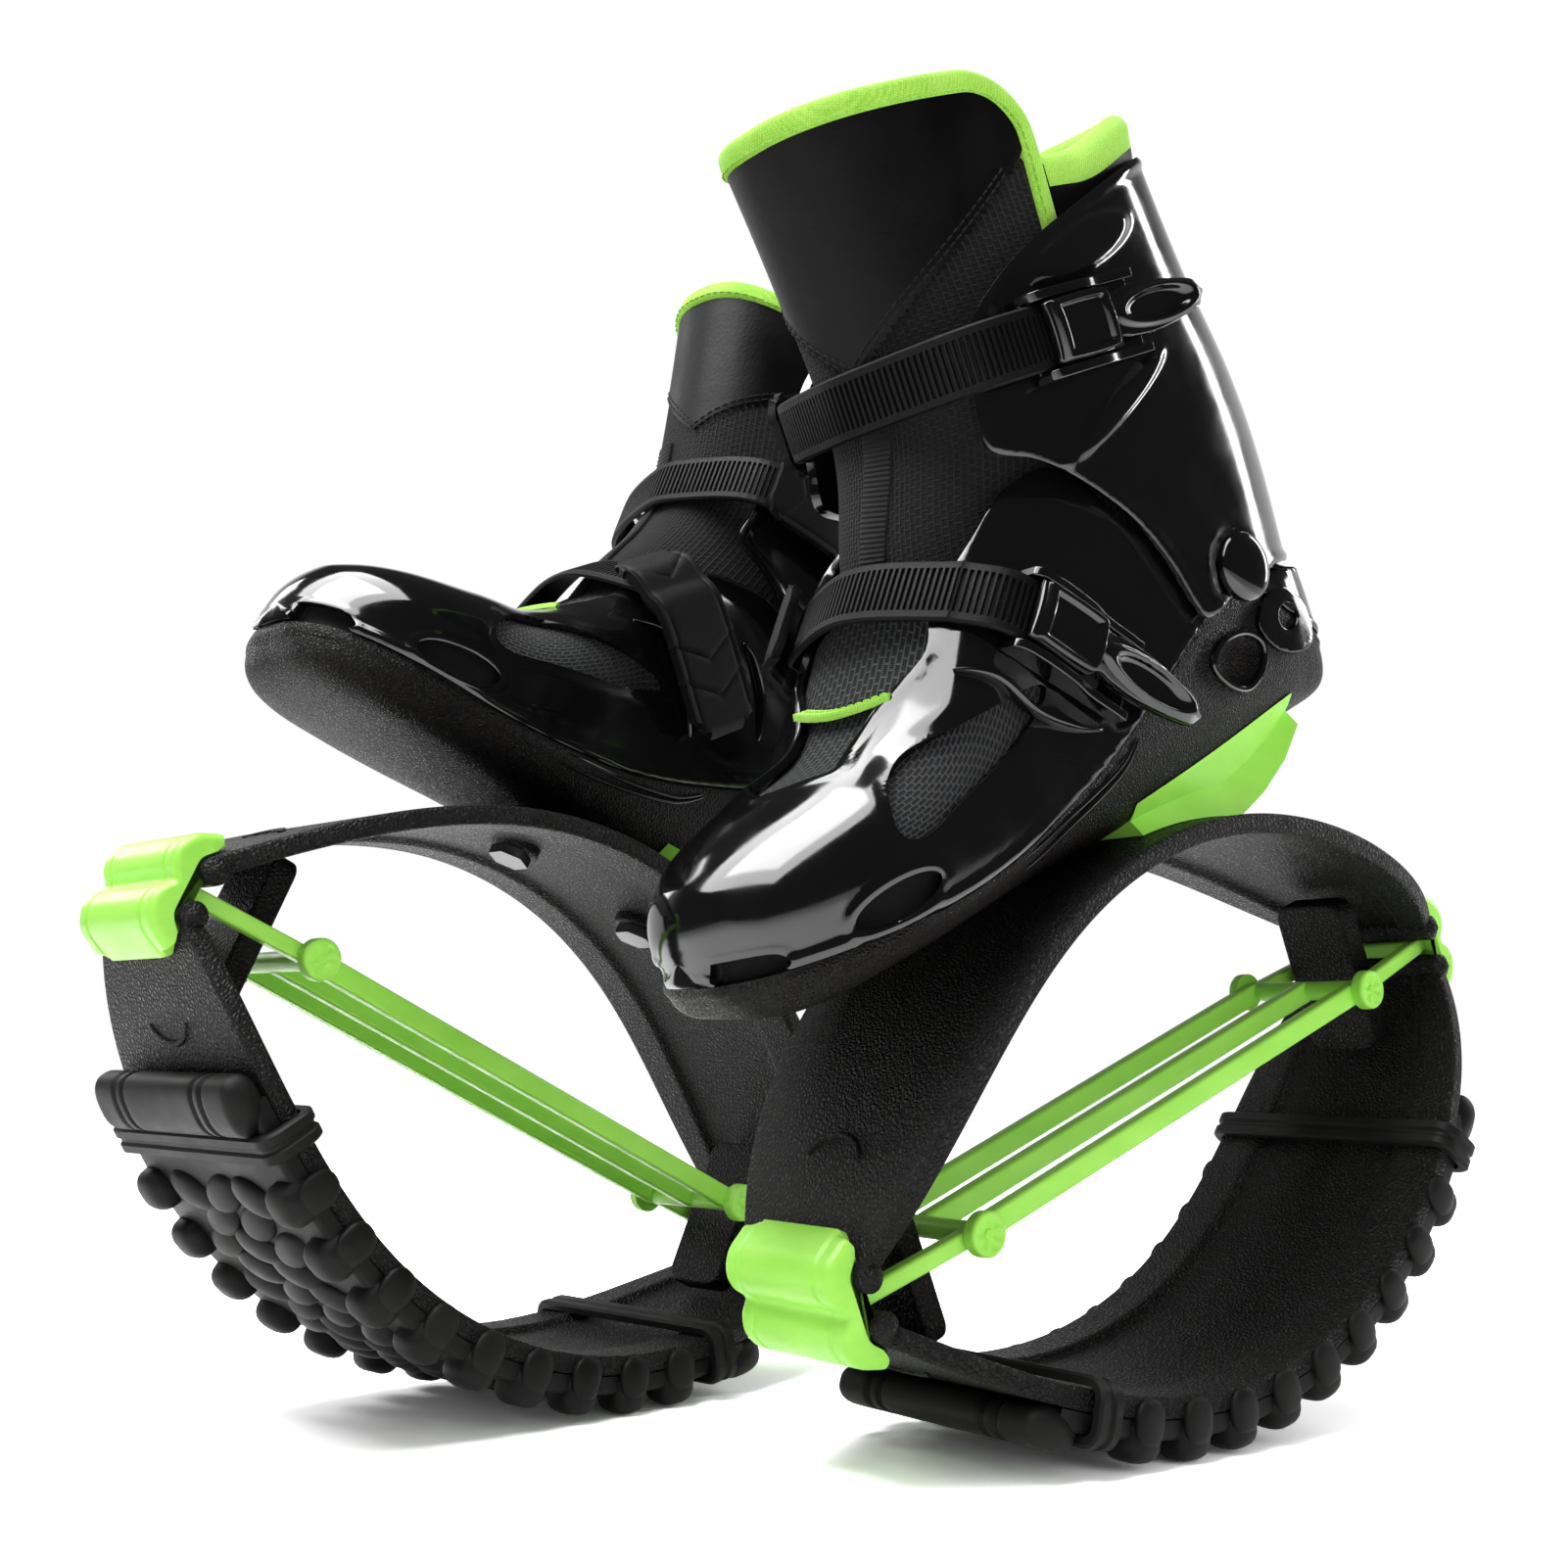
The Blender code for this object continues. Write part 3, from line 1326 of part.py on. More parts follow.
def build_shoe(side, place, heading, nose_down, lean, mirror):
    """Places one shoe so that its lowest tread knob just presses on the floor."""
    stand = shoe_matrix(place, heading, nose_down)
    tread_mesh = pieces["tread"][0].copy()
    if mirror:
        mirrored(tread_mesh)
    lowest = min((stand @ vertex.co).z for vertex in tread_mesh.vertices)
    stand = Matrix.Translation((0.0, 0.0, -lowest - floor_squash)) @ stand
    tread_mesh = pressed_on_floor(tread_mesh, stand)
    frame = bpy.data.objects.new(side + "_shoe_frame", None)
    part_collection.objects.link(frame)
    frame.matrix_world = stand
    own_pieces = dict(pieces, tongue=(tongue(lean), "liner_fabric", ankle_pivot))
    for name, (source, material, pivot) in own_pieces.items():
        mesh = source.copy()
        origin = Vector(pivot)
        if mirror:
            mirrored(mesh)
            origin.y = -origin.y
        if name == "tread":
            mesh = tread_mesh
        mesh.transform(Matrix.Translation(-origin))
        mesh.materials.clear()
        mesh.materials.append(materials[material])
        mesh.shade_smooth()
        mesh.set_sharp_from_angle(angle=sharp_angle)
        item = bpy.data.objects.new(side + "_" + name, mesh)
        part_collection.objects.link(item)
        item.parent = frame
        item.location = origin
    return frame


frames = [
    build_shoe("left", left_place, left_heading, left_nose_down, left_tongue_lean, False),
    build_shoe("right", right_place, right_heading, right_nose_down, right_tongue_lean, True),
]
bpy.context.view_layer.update()
corners = []
for item in part_collection.objects:
    if item.type == "MESH":
        corners += [item.matrix_world @ vertex.co for vertex in item.data.vertices]
middle_x = (min(corner.x for corner in corners) + max(corner.x for corner in corners)) / 2
middle_y = (min(corner.y for corner in corners) + max(corner.y for corner in corners)) / 2
for frame in frames:
    frame.location.x -= middle_x
    frame.location.y -= middle_y
bpy.context.view_layer.update()
bpy.data.collections.remove(work_collection)
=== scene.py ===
"""The looks of a pair of rebound boots: gloss shells, padded liners, ratchet straps and treads.

Every piece is drawn once in the frame of the left shoe and placed twice: x points to the toe,
y to the outer side, z up, and the origin is the middle of the spring. The right shoe is the
mirror image. Metres throughout. Values whose name ends in share or shares are parts of the
size that they follow.
"""
import json
import math

import bmesh
import bpy
import numpy as np
from mathutils import Matrix, Vector


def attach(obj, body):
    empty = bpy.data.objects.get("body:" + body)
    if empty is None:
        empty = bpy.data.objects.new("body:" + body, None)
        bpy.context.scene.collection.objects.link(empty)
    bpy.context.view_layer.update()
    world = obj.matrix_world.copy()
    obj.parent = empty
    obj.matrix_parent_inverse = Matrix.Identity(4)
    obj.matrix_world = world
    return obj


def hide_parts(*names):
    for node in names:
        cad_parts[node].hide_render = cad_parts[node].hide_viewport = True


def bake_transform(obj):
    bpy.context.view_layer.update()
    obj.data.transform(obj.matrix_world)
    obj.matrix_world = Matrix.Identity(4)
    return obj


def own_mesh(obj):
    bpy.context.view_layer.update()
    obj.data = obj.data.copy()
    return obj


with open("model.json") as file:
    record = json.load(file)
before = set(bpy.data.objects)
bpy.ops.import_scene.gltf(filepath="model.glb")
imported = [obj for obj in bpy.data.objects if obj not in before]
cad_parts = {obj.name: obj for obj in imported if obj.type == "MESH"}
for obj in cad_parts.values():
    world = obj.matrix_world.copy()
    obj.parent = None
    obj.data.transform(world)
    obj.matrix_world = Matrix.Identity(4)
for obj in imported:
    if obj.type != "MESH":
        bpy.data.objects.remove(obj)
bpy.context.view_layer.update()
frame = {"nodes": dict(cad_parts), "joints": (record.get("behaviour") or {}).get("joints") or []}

# Clearances, how close two points count as one, and how sharp an edge is rounded
gap = 0.0003
slip_gap = 0.0008
closed_weld = 0.00002
open_weld = 0.00005
tiny = 1e-9
closed_bevel_angle = 40
open_bevel_angle = 55

# The elliptical spring
arch_half_length = 0.146
arch_crown_height = 0.088
arch_end_height = 0.0106
arch_curve_power = 2.05
arch_half_width = 0.0495
arch_end_half_width = 0.027
arch_taper_power = 6.0
arch_edge_thickness = 0.0065
arch_web_thickness = 0.0042
arch_edge_band = 0.017
arch_bead_radius = 0.0045
arch_bead_overhang = 0.0035
arch_bead_round = 0.003
rounded_end_slack = 0.0001
arch_corner = 0.0016
arch_fillet = 0.004
crescent_place = 0.127
crescent_radii = (0.009, 0.0135)
crescent_thickness = 0.0011
crescent_half_angle = 1.1
crescent_taper = 1.2
bolt_places = (0.034, -0.0299)
boss_radii = (0.0001, 0.0035, 0.0037, 0.0090, 0.0095, 0.0095)
boss_sink = 0.0015
boss_round = 0.0006
lower_anchor_z = -0.104

# The tension band, the end clips and the inserts
crossbar_setback = 0.047
crossbar_radius = 0.0034
band_half_width = 0.0265
band_thickness = 0.0075
band_arm_thickness = 0.0056
band_strand_width = 0.0052
band_arm_inset = 0.005
band_hook_length = 0.008
band_edge = 0.0012
stud_radius = 0.0068
stud_thickness = 0.0042
stud_sink = 0.001
stud_rays = 6
stud_ray_share = 0.2
stud_shares = [
    (0.10, 0.90, 0.0), (0.20, 0.90, 0.0), (0.26, 0.70, 0.2), (0.45, 0.72, 1.0), (0.65, 0.74, 1.0),
    (0.74, 0.92, 0.1), (0.84, 1.00, 0.0), (0.93, 0.95, 0.0), (0.99, 0.78, 0.0), (1.00, 0.50, 0.0),
    (1.00, -0.30, 0.0)]
clip_half_width = 0.0255
clip_depth = 0.017
clip_wall = 0.0042
clip_lip_wall = 0.0026
clip_groove_depth = 0.0036
clip_edge_round = 0.0004
clip_end_round = 0.0030
clip_line_place = 0.0185
clip_line_width = 0.0011
clip_line_depth = 0.0007
clip_corner_start = 0.0175
clip_corner_cut = 0.0045
clip_seat_shares = (0.0, 0.35, 0.7)
clip_lobe_shares = [(0.05, 0.26), (0.0, 0.52), (0.09, 0.78), (0.24, 0.95), (0.44, 1.06), (0.68, 1.16)]
insert_setback = 0.025
insert_half_width = 0.0145
insert_thickness = 0.009
insert_corner = 0.006
insert_edge = 0.0012
insert_top_inset = 0.001

# The rubber tread
tread_thickness = 0.006
tread_edge = 0.002
tread_edge_margin = 0.001
knob_pitch = 0.0205
knob_radii = (0.0076, 0.0080, 0.0070)
knob_edge_inset = 0.0064
knob_power = 2.7
tab_radii = (0.0060, 0.0024, 0.0070)
tab_depth = 0.0008
tab_power = 2.4
lens_radii = (0.0068, 0.0116, 0.0040)
lens_slant = math.radians(24)
lens_spread_share = 0.9
lens_row_shares = (-0.46, 0.0, 0.46)
lens_middle_shares = (-0.25, 0.25)
roll_radii = (0.0098, 0.0062)
roll_end_round = 0.005
roll_place_share = 0.72
roll_square_power = 0.8
roll_groove_shares = (-0.62, -0.5, 0.5, 0.62)
roll_groove_width = 0.0009
roll_groove_depth = 0.0012
loop_place_share = 0.645
loop_width = 0.0095
loop_thickness = 0.0032
loop_corner = 0.005
loop_groove = 0.0009
loop_groove_share = 0.12
loop_side_shares = [(1.0, -1.0), (1.0, 0.4), (0.85, 1.0), (0.3, 1.0)]

# The boot, with heights over the underside of its sole
boot_length = 0.294
boot_middle_x = 0.007
boot_half_width = 0.048
sole_heel_rise = 0.014
instep_height = 0.1187
shell_wall = 0.003
cuff_bottom_height = 0.0567
cuff_top_height = 0.2117
cuff_heel_inset = 0.010
cuff_depth_share = 0.5136
cuff_wall = 0.003
sole_form_power = 4.2
shaft_form_power = 2.5

sole_bottom_z = arch_crown_height + gap
heel_x = boot_middle_x - boot_length / 2
cuff_bottom_z = sole_bottom_z + cuff_bottom_height
cuff_top_z = sole_bottom_z + cuff_top_height
cuff_back_x = heel_x + cuff_heel_inset
band_half_span = arch_half_length - crossbar_setback
loop_place = arch_half_length * loop_place_share
roll_place = arch_half_length * roll_place_share
ankle_x = -0.069
ankle_z = 0.158


class Form:
    """A surface in the making: points, faces, each point's place on it, each face's finish."""

    def __init__(self, points, faces, places, tones):
        self.points = np.asarray(points, float).reshape(-1, 3)
        self.faces = [tuple(int(i) for i in face) for face in faces]
        self.places = np.asarray(places, float).reshape(-1, 2)
        self.tones = list(tones)

    @property
    def side(self):
        """The points in side view."""
        return self.points[:, [0, 2]]

    def at(self, points):
        """The same form with its points elsewhere."""
        return Form(points, self.faces, self.places, self.tones)


def joined(forms):
    faces, tones = [], []
    start = 0
    for form in forms:
        faces += [tuple(i + start for i in face) for face in form.faces]
        tones += form.tones
        start += len(form.points)
    points = np.concatenate([form.points for form in forms])
    return Form(points, faces, np.concatenate([form.places for form in forms]), tones)


def grid(points, closed_rows=False, closed_columns=False, capped=False):
    """A form over rows of points."""
    points = np.asarray(points, float)
    rows, columns = points.shape[:2]
    down = np.linalg.norm(np.diff(points, axis=0), axis=2).mean(axis=1)
    along = np.linalg.norm(np.diff(points, axis=1), axis=2).mean(axis=0)
    u = np.concatenate([[0.0], np.cumsum(down)])
    v = np.concatenate([[0.0], np.cumsum(along)])
    places = np.stack(np.meshgrid(u, v, indexing="ij"), -1)
    index = np.arange(rows * columns).reshape(rows, columns)
    faces = []
    for row in range(rows if closed_rows else rows - 1):
        below = (row + 1) % rows
        for column in range(columns if closed_columns else columns - 1):
            right = (column + 1) % columns
            faces.append((index[row, column], index[row, right], index[below, right], index[below, column]))
    if capped:
        faces += [tuple(index[0][::-1]), tuple(index[-1])]
    return Form(points, faces, places, [0] * len(faces))


def solid(rows):
    """A closed form over closed rows, with a cap on each end."""
    return grid(rows, closed_columns=True, capped=True)


def clipped(form, field, snap_share=0.3):
    """The part of a form where a field, one value a point, is positive, cut along its zero line."""
    values = list(np.asarray(field, float))
    points = form.points.copy()
    places = form.places.copy()
    moves = {}
    for face in form.faces:
        for here, there in zip(face, face[1:] + face[:1]):
            if (values[here] > 0) == (values[there] > 0):
                continue
            share = values[here] / (values[here] - values[there])
            for near, far, way in ((here, there, share), (there, here, 1 - share)):
                if way < snap_share and way < moves.get(near, (1.0, 0))[0]:
                    moves[near] = (way, far)
    for near, (way, far) in moves.items():
        points[near] = form.points[near] + way * (form.points[far] - form.points[near])
        places[near] = form.places[near] + way * (form.places[far] - form.places[near])
        values[near] = 0.0
    added_points, added_places, cuts = [], [], {}
    faces, tones = [], []
    for face, tone in zip(form.faces, form.tones):
        ring = []
        for here, there in zip(face, face[1:] + face[:1]):
            if values[here] >= 0:
                ring.append(here)
            if values[here] * values[there] < 0:
                low, high = min(here, there), max(here, there)
                if (low, high) not in cuts:
                    way = values[low] / (values[low] - values[high])
                    cuts[low, high] = len(points) + len(added_points)
                    added_points.append(points[low] + way * (points[high] - points[low]))
                    added_places.append(places[low] + way * (places[high] - places[low]))
                ring.append(cuts[low, high])
        if len(ring) > 2 and max(values[i] for i in face) > 0:
            faces.append(tuple(ring))
            tones.append(tone)
    if added_points:
        points = np.concatenate([points, added_points])
        places = np.concatenate([places, added_places])
    used = sorted(set(i for face in faces for i in face))
    new_index = {old: new for new, old in enumerate(used)}
    faces = [tuple(new_index[i] for i in face) for face in faces]
    return Form(points[used], faces, places[used], tones)


def mesh_of(form):
    mesh = bpy.data.meshes.new("form")
    mesh.from_pydata([tuple(point) for point in form.points], [], form.faces)
    layer = mesh.uv_layers.new(name="place")
    corners = np.empty(len(mesh.loops), int)
    mesh.loops.foreach_get("vertex_index", corners)
    layer.data.foreach_set("uv", form.places[corners].ravel())
    mesh.polygons.foreach_set("material_index", form.tones)
    mesh.update()
    return mesh


def welded(form, distance, closed):
    """A form's mesh without double points; the faces of a closed one are turned outward."""
    mesh = mesh_of(form)
    work = bmesh.new()
    work.from_mesh(mesh)
    bmesh.ops.remove_doubles(work, verts=work.verts, dist=distance)
    if closed:
        bmesh.ops.recalc_face_normals(work, faces=work.faces)
    work.to_mesh(mesh)
    work.free()
    return mesh


def baked(mesh, modifiers):
    """The mesh after modifiers, each a (kind, settings) pair."""
    item = bpy.data.objects.new("workbench", mesh)
    bpy.context.scene.collection.objects.link(item)
    for kind, settings in modifiers:
        modifier = item.modifiers.new(kind.lower(), kind)
        for key, value in settings.items():
            setattr(modifier, key, value)
    bpy.context.view_layer.update()
    result = bpy.data.meshes.new_from_object(item.evaluated_get(bpy.context.evaluated_depsgraph_get()))
    bpy.data.objects.remove(item, do_unlink=True)
    return result


def bevel(width, steps, angle):
    return "BEVEL", {
        "width": width, "segments": steps, "limit_method": "ANGLE", "angle_limit": math.radians(angle)}


def closed_mesh(form, edge=0.0, steps=2):
    mesh = welded(form, closed_weld, True)
    return baked(mesh, [bevel(edge, steps, closed_bevel_angle)]) if edge else mesh


def shell_mesh(form, thickness, edge, steps=2):
    """An open surface given a thickness inward, with rounded rims."""
    modifiers = [("SOLIDIFY", {"thickness": thickness, "offset": -1.0})]
    if edge:
        modifiers.append(bevel(edge, steps, open_bevel_angle))
    return baked(welded(form, open_weld, False), modifiers)


def block(low, high):
    """A box between two corners."""
    outline = [(low[0], low[2]), (high[0], low[2]), (high[0], high[2]), (low[0], high[2])]
    return solid([[(x, y, z) for x, z in outline] for y in (low[1], high[1])])


def round_turn(count):
    """Angles that go once round."""
    return np.linspace(0, 2 * math.pi, count, endpoint=False)


def squarer(value, power):
    """A sine or cosine that rounds a section, squarer as the power falls below one."""
    return np.sign(value) * np.abs(value) ** power


def unit(vectors):
    return vectors / np.linalg.norm(vectors, axis=1)[:, None]


def lengths_along(path):
    return np.concatenate([[0.0], np.cumsum(np.linalg.norm(np.diff(path, axis=0), axis=1))])


def pebble(middle, radii, turn, power, rings, sides):
    """A rounded lump: an ellipsoid that gets squarer as the power rises."""
    tilt = np.linspace(-math.pi / 2, math.pi / 2, rings + 1)[1:-1, None]
    around = round_turn(sides)[None, :]
    wide = squarer(np.cos(tilt), 2 / power)
    x = wide * squarer(np.cos(around), 2 / power) * radii[0]
    y = wide * squarer(np.sin(around), 2 / power) * radii[1]
    z = squarer(np.sin(tilt), 2 / power) * radii[2] * np.ones_like(around)
    return solid(np.stack([x, y, z], -1) @ turn.T + np.array(middle))


def tube(path, radius, up=None, flat=1.0, sides=10, closed=False, profile=None):
    """A round or oval cord along a path; up gives each point's flat direction, radius may vary."""
    path = np.asarray(path, float)
    ahead = (np.roll(path, -1, 0) - np.roll(path, 1, 0)) / 2 if closed else np.gradient(path, axis=0)
    ahead = unit(ahead)
    if up is None:
        up = np.tile((0.0, 0.0, 1.0), (len(path), 1))
    across = unit(np.cross(ahead, np.asarray(up, float)))
    over = np.cross(across, ahead)
    radius = np.broadcast_to(radius, len(path))[:, None, None]
    if profile is None:
        angle = round_turn(sides)
        profile = np.stack([np.cos(angle), flat * np.sin(angle)], -1)
    profile = np.asarray(profile, float)
    rows = path[:, None] + radius * (
        profile[None, :, :1] * across[:, None] + profile[None, :, 1:] * over[:, None])
    return grid(rows, closed_rows=closed, closed_columns=True, capped=not closed)


def arc(middle, radius, start, stop, steps):
    return [
        (middle[0] + radius * math.cos(a), middle[1] + radius * math.sin(a))
        for a in np.radians(np.linspace(start, stop, steps + 1))]


def smooth(points, steps, closed=False):
    """A smooth curve through points, with some steps between each two."""
    points = np.asarray(points, float)
    last = len(points) - 1
    result = []
    for index in range(len(points) if closed else last):
        near = [index + step for step in (-1, 0, 1, 2)]
        a, b, c, d = (points[i % len(points) if closed else min(max(i, 0), last)] for i in near)
        for t in np.linspace(0.0, 1.0, steps, endpoint=False):
            result.append(b + 0.5 * t * (c - a + t * (2 * a - 5 * b + 4 * c - d + t * (3 * (b - c) + d - a))))
    return np.array(result if closed else result + [points[-1]])


def between(table, at):
    """Reads a table of (key, value, value...) rows smoothly at many keys."""
    table = np.asarray(table, float)
    at = np.asarray(at, float)
    last = len(table) - 1
    index = np.clip(np.searchsorted(table[:, 0], at, side="right") - 1, 0, last - 1)
    a, b, c, d = (table[np.clip(index + step, 0, last)] for step in (-1, 0, 1, 2))
    width = c[..., :1] - b[..., :1]
    part = (at[..., None] - b[..., :1]) / width
    slope_b = (c - a) / np.maximum(c[..., :1] - a[..., :1], width) * width
    slope_c = (d - b) / np.maximum(d[..., :1] - b[..., :1], width) * width
    value = (
        (2 * part**3 - 3 * part**2 + 1) * b + (part**3 - 2 * part**2 + part) * slope_b
        + (3 * part**2 - 2 * part**3) * c + (part**3 - part**2) * slope_c)
    return value[..., 1:]


def bump(distance, width):
    """A smooth hill, one at no distance and nothing at the width."""
    share = np.clip(np.abs(distance) / width, 0.0, 1.0)
    return (1 - share**2) ** 2


def step_up(value, low, high):
    """A smooth step from nothing at the low value to one at the high value."""
    share = np.clip((value - low) / (high - low), 0.0, 1.0)
    return share * share * (3 - 2 * share)


def depth_in(area, points):
    """How deep points lie in a closed area of the side view; negative outside it."""
    points = np.asarray(points, float)
    nearest = np.full(len(points), np.inf)
    inside = np.zeros(len(points), bool)
    for start, end in zip(area, np.roll(area, -1, 0)):
        along = end - start
        way = np.clip(((points - start) @ along) / max(along @ along, tiny**2), 0.0, 1.0)
        nearest = np.minimum(nearest, np.linalg.norm(points - start - way[:, None] * along, axis=1))
        if start[1] != end[1]:
            across = (points[:, 1] > min(start[1], end[1])) & (points[:, 1] <= max(start[1], end[1]))
            x = start[0] + (points[:, 1] - start[1]) / (end[1] - start[1]) * along[0]
            inside ^= across & (points[:, 0] < x)
    return np.where(inside, nearest, -nearest)


# Where the shoes stand, from the frame's joints
class Shoe:
    def __init__(self, side, mirror):
        joints = {joint["name"]: joint for joint in frame["joints"]}
        self.side = side
        self.mirror = mirror
        self.up = Vector(joints[side + "_spring_compression"]["axis"]).normalized()
        across = Vector(joints[side + "_cuff_flex"]["axis"]).normalized()
        ahead = across.cross(self.up).normalized()
        pivot = Vector(joints[side + "_cuff_flex"]["pos_m"])
        origin = pivot - ahead * ankle_x - self.up * ankle_z
        stand = Matrix.Translation(origin) @ Matrix((ahead, across, self.up)).transposed().to_4x4()
        self.matrix = stand @ Matrix.Diagonal((1.0, -1.0 if mirror else 1.0, 1.0, 1.0))

    def world(self, point):
        return tuple(self.matrix @ Vector(point))


shoes = [Shoe("left", False), Shoe("right", True)]


def put(name, mesh, materials, body, nodes=(), sharp=35, weighted=False, only=None):
    """Places a piece on both shoes (or only one), hangs it on the body it rides on and hides the parts it
    stands for.
    """
    placed = []
    for shoe in shoes:
        if only is not None and shoe.side != only:
            continue
        copy = mesh.copy()
        copy.transform(shoe.matrix)
        if shoe.mirror:
            copy.flip_normals()
        copy.shade_smooth()
        copy.set_sharp_from_angle(angle=math.radians(sharp))
        item = bpy.data.objects.new(shoe.side + "_" + name, copy)
        bpy.context.scene.collection.objects.link(item)
        for material in materials if isinstance(materials, (list, tuple)) else [materials]:
            copy.materials.append(material)
        if weighted:
            item.modifiers.new("even_light", "WEIGHTED_NORMAL").keep_sharp = True
        if body:
            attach(item, body if body == "ground_arches" else shoe.side + "_" + body)
        if nodes:
            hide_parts(*[shoe.side + "_" + node for node in nodes])
        placed.append(item)
    return placed


# Finishes. A pattern is its scale and its detail, a relief its depth in metres and its strength,
# a roughness its least and its most, and colours run from dark to light
dust_pattern = (60.0, 5.0)
shade_pattern = (25.0, 3.0)
peel_pattern = (350.0, 2.0)
peel_relief = (0.00002, 0.35)
scratch_pattern = (900.0, 2.0)
scratch_relief = (0.000012, 0.25)
scratch_stretch = (1.0, 9.0, 1.0)
scratch_turn = 0.7
gloss_roughness = (0.05, 0.16)
grain_drift = 0.4
grain_cell_range = (0.02, 0.35)
grain_pore_shares = (2.5, 2.0)
grain_shade_pattern = (18.0, 4.0)
grain_strength = 0.8
rubber_dust_pattern = (40.0, 6.0)
rubber_pore_pattern = (1400.0, 3.0)
rubber_relief = (0.00012, 0.5)
rubber_roughness = (0.42, 0.66)
flow_pattern = (30.0, 4.0)
flow_stretch = (1.0, 1.0, 2.5)
lime_sheen_pattern = (90.0, 4.0)
lime_pore_pattern = (1100.0, 2.0)
lime_relief = (0.00004, 0.35)
lime_roughness = (0.3, 0.44)
knit_thread_share = 0.16
knit_row_share = 0.62
knit_twist_share = 2.2
knit_twist_distortion = 2.0
knit_twist_rise = 0.25
knit_hole_shade_range = (0.05, 1.1)
knit_strength = 0.9
crease_pattern = (45.0, 5.0, 0.6)
crease_relief = (0.0008, 0.35)
leather_pore_scale = 700.0
leather_pore_relief = (0.00008, 0.5)
leather_sheen_pattern = (22.0, 3.0)
leather_roughness = (0.32, 0.5)
cloth_scale = 1300.0
cloth_unevenness = 0.35
cloth_dust_pattern = (55.0, 4.0)
cloth_tint_range = (0.4, 1.2)
weave_relief = (0.0002, -0.7)
grime_pattern = (160.0, 5.0)
steel_pore_pattern = (900.0, 3.0)
steel_relief = (0.00004, 0.4)
steel_roughness = (0.28, 0.5)
paper_pattern = (90.0, 3.0)
gloss_colours = ((0.0025, 0.0025, 0.0028), (0.0055, 0.0055, 0.006))
# The grained finishes reach their dark colour in the grain's grooves, as painted shade, and partly at random
arch_colours = ((0.002, 0.0019, 0.0018), (0.0155, 0.014, 0.013))
sole_colours = ((0.002, 0.0016, 0.0014), (0.0115, 0.0088, 0.0076))
strap_colours = ((0.0015, 0.0015, 0.0015), (0.0045, 0.0045, 0.0045))
rubber_colours = ((0.0038, 0.0036, 0.0035), (0.0135, 0.013, 0.0125))
lime_colours = ((0.34, 0.82, 0.085), (0.44, 0.93, 0.13))
# The knits' darkest colours are painted shade in their holes
toe_knit_colours = ((0.002, 0.002, 0.002), (0.075, 0.078, 0.083))
tongue_knit_colours = ((0.001, 0.001, 0.001), (0.011, 0.011, 0.0114))
leather_colours = ((0.0012, 0.0012, 0.0013), (0.0034, 0.0034, 0.0036))
webbing_colours = ((0.003, 0.003, 0.003), (0.011, 0.011, 0.011))
lime_cloth_colours = ((0.30, 0.66, 0.06), (0.58, 0.96, 0.17))
foam_colours = ((0.02, 0.02, 0.021), (0.05, 0.05, 0.052))
steel_colours = ((0.05, 0.05, 0.052), (0.13, 0.13, 0.135))
toe_knit_pitch = 0.0034
toe_knit_depth = 0.0009
tongue_knit_pitch = 0.0026
tongue_knit_depth = 0.0008


def new_finish(name, colour, roughness, metallic=0.0, **settings):
    """A material with its shader's own constants set; patterns are wired in afterwards."""
    material = bpy.data.materials.new(name)
    material.use_nodes = True
    material.diffuse_color = (*colour, 1.0)
    constants = {"Base Color": (*colour, 1.0), "Roughness": roughness, "Metallic": metallic}
    for socket, value in {**constants, **settings}.items():
        material.node_tree.nodes["Principled BSDF"].inputs[socket.replace("_", " ")].default_value = value
    return material


def add(owner, kind, links=None, **settings):
    """Adds a node; links maps an input to a value or to another node's output."""
    tree = owner.node_tree
    node = tree.nodes.new("ShaderNode" + kind)
    for key, value in settings.items():
        setattr(node, key, value)
    for key, value in (links or {}).items():
        if isinstance(value, bpy.types.NodeSocket):
            tree.links.new(value, node.inputs[key])
        else:
            node.inputs[key].default_value = value
    return node


def math_of(owner, first, second, operation):
    return add(owner, "Math", {0: first, 1: second}, operation=operation).outputs[0]


def wire(material, output, socket):
    material.node_tree.links.new(output, material.node_tree.nodes["Principled BSDF"].inputs[socket])


def coordinates(material, kind="Object", stretch=(1.0, 1.0, 1.0), turn=0.0):
    source = add(material, "TexCoord").outputs[kind]
    mapping = add(material, "Mapping", {"Vector": source, "Scale": stretch, "Rotation": (0.0, 0.0, turn)})
    return mapping.outputs["Vector"]


def noise(material, vector, scale, detail=3.0, roughness=0.55):
    return add(material, "TexNoise", {
        "Vector": vector, "Scale": scale, "Detail": detail, "Roughness": roughness}).outputs["Fac"]


def ramp(owner, value, low, high, from_low=0.3, from_high=0.7, **settings):
    return add(owner, "MapRange", {
        "Value": value, "From Min": from_low, "From Max": from_high, "To Min": low, "To Max": high,
    }, **settings).outputs["Result"]


def tint(material, value, colours):
    """Wires a colour that runs from dark to light with a value between 0 and 1."""
    mix = add(material, "Mix", {0: value, 6: (*colours[0], 1.0), 7: (*colours[1], 1.0)}, data_type="RGBA")
    wire(material, mix.outputs[2], "Base Color")


def emboss(material, height, distance, strength=1.0, under=None):
    links = {"Height": height, "Distance": distance, "Strength": strength}
    if under is not None:
        links["Normal"] = under
    return add(material, "Bump", links).outputs["Normal"]


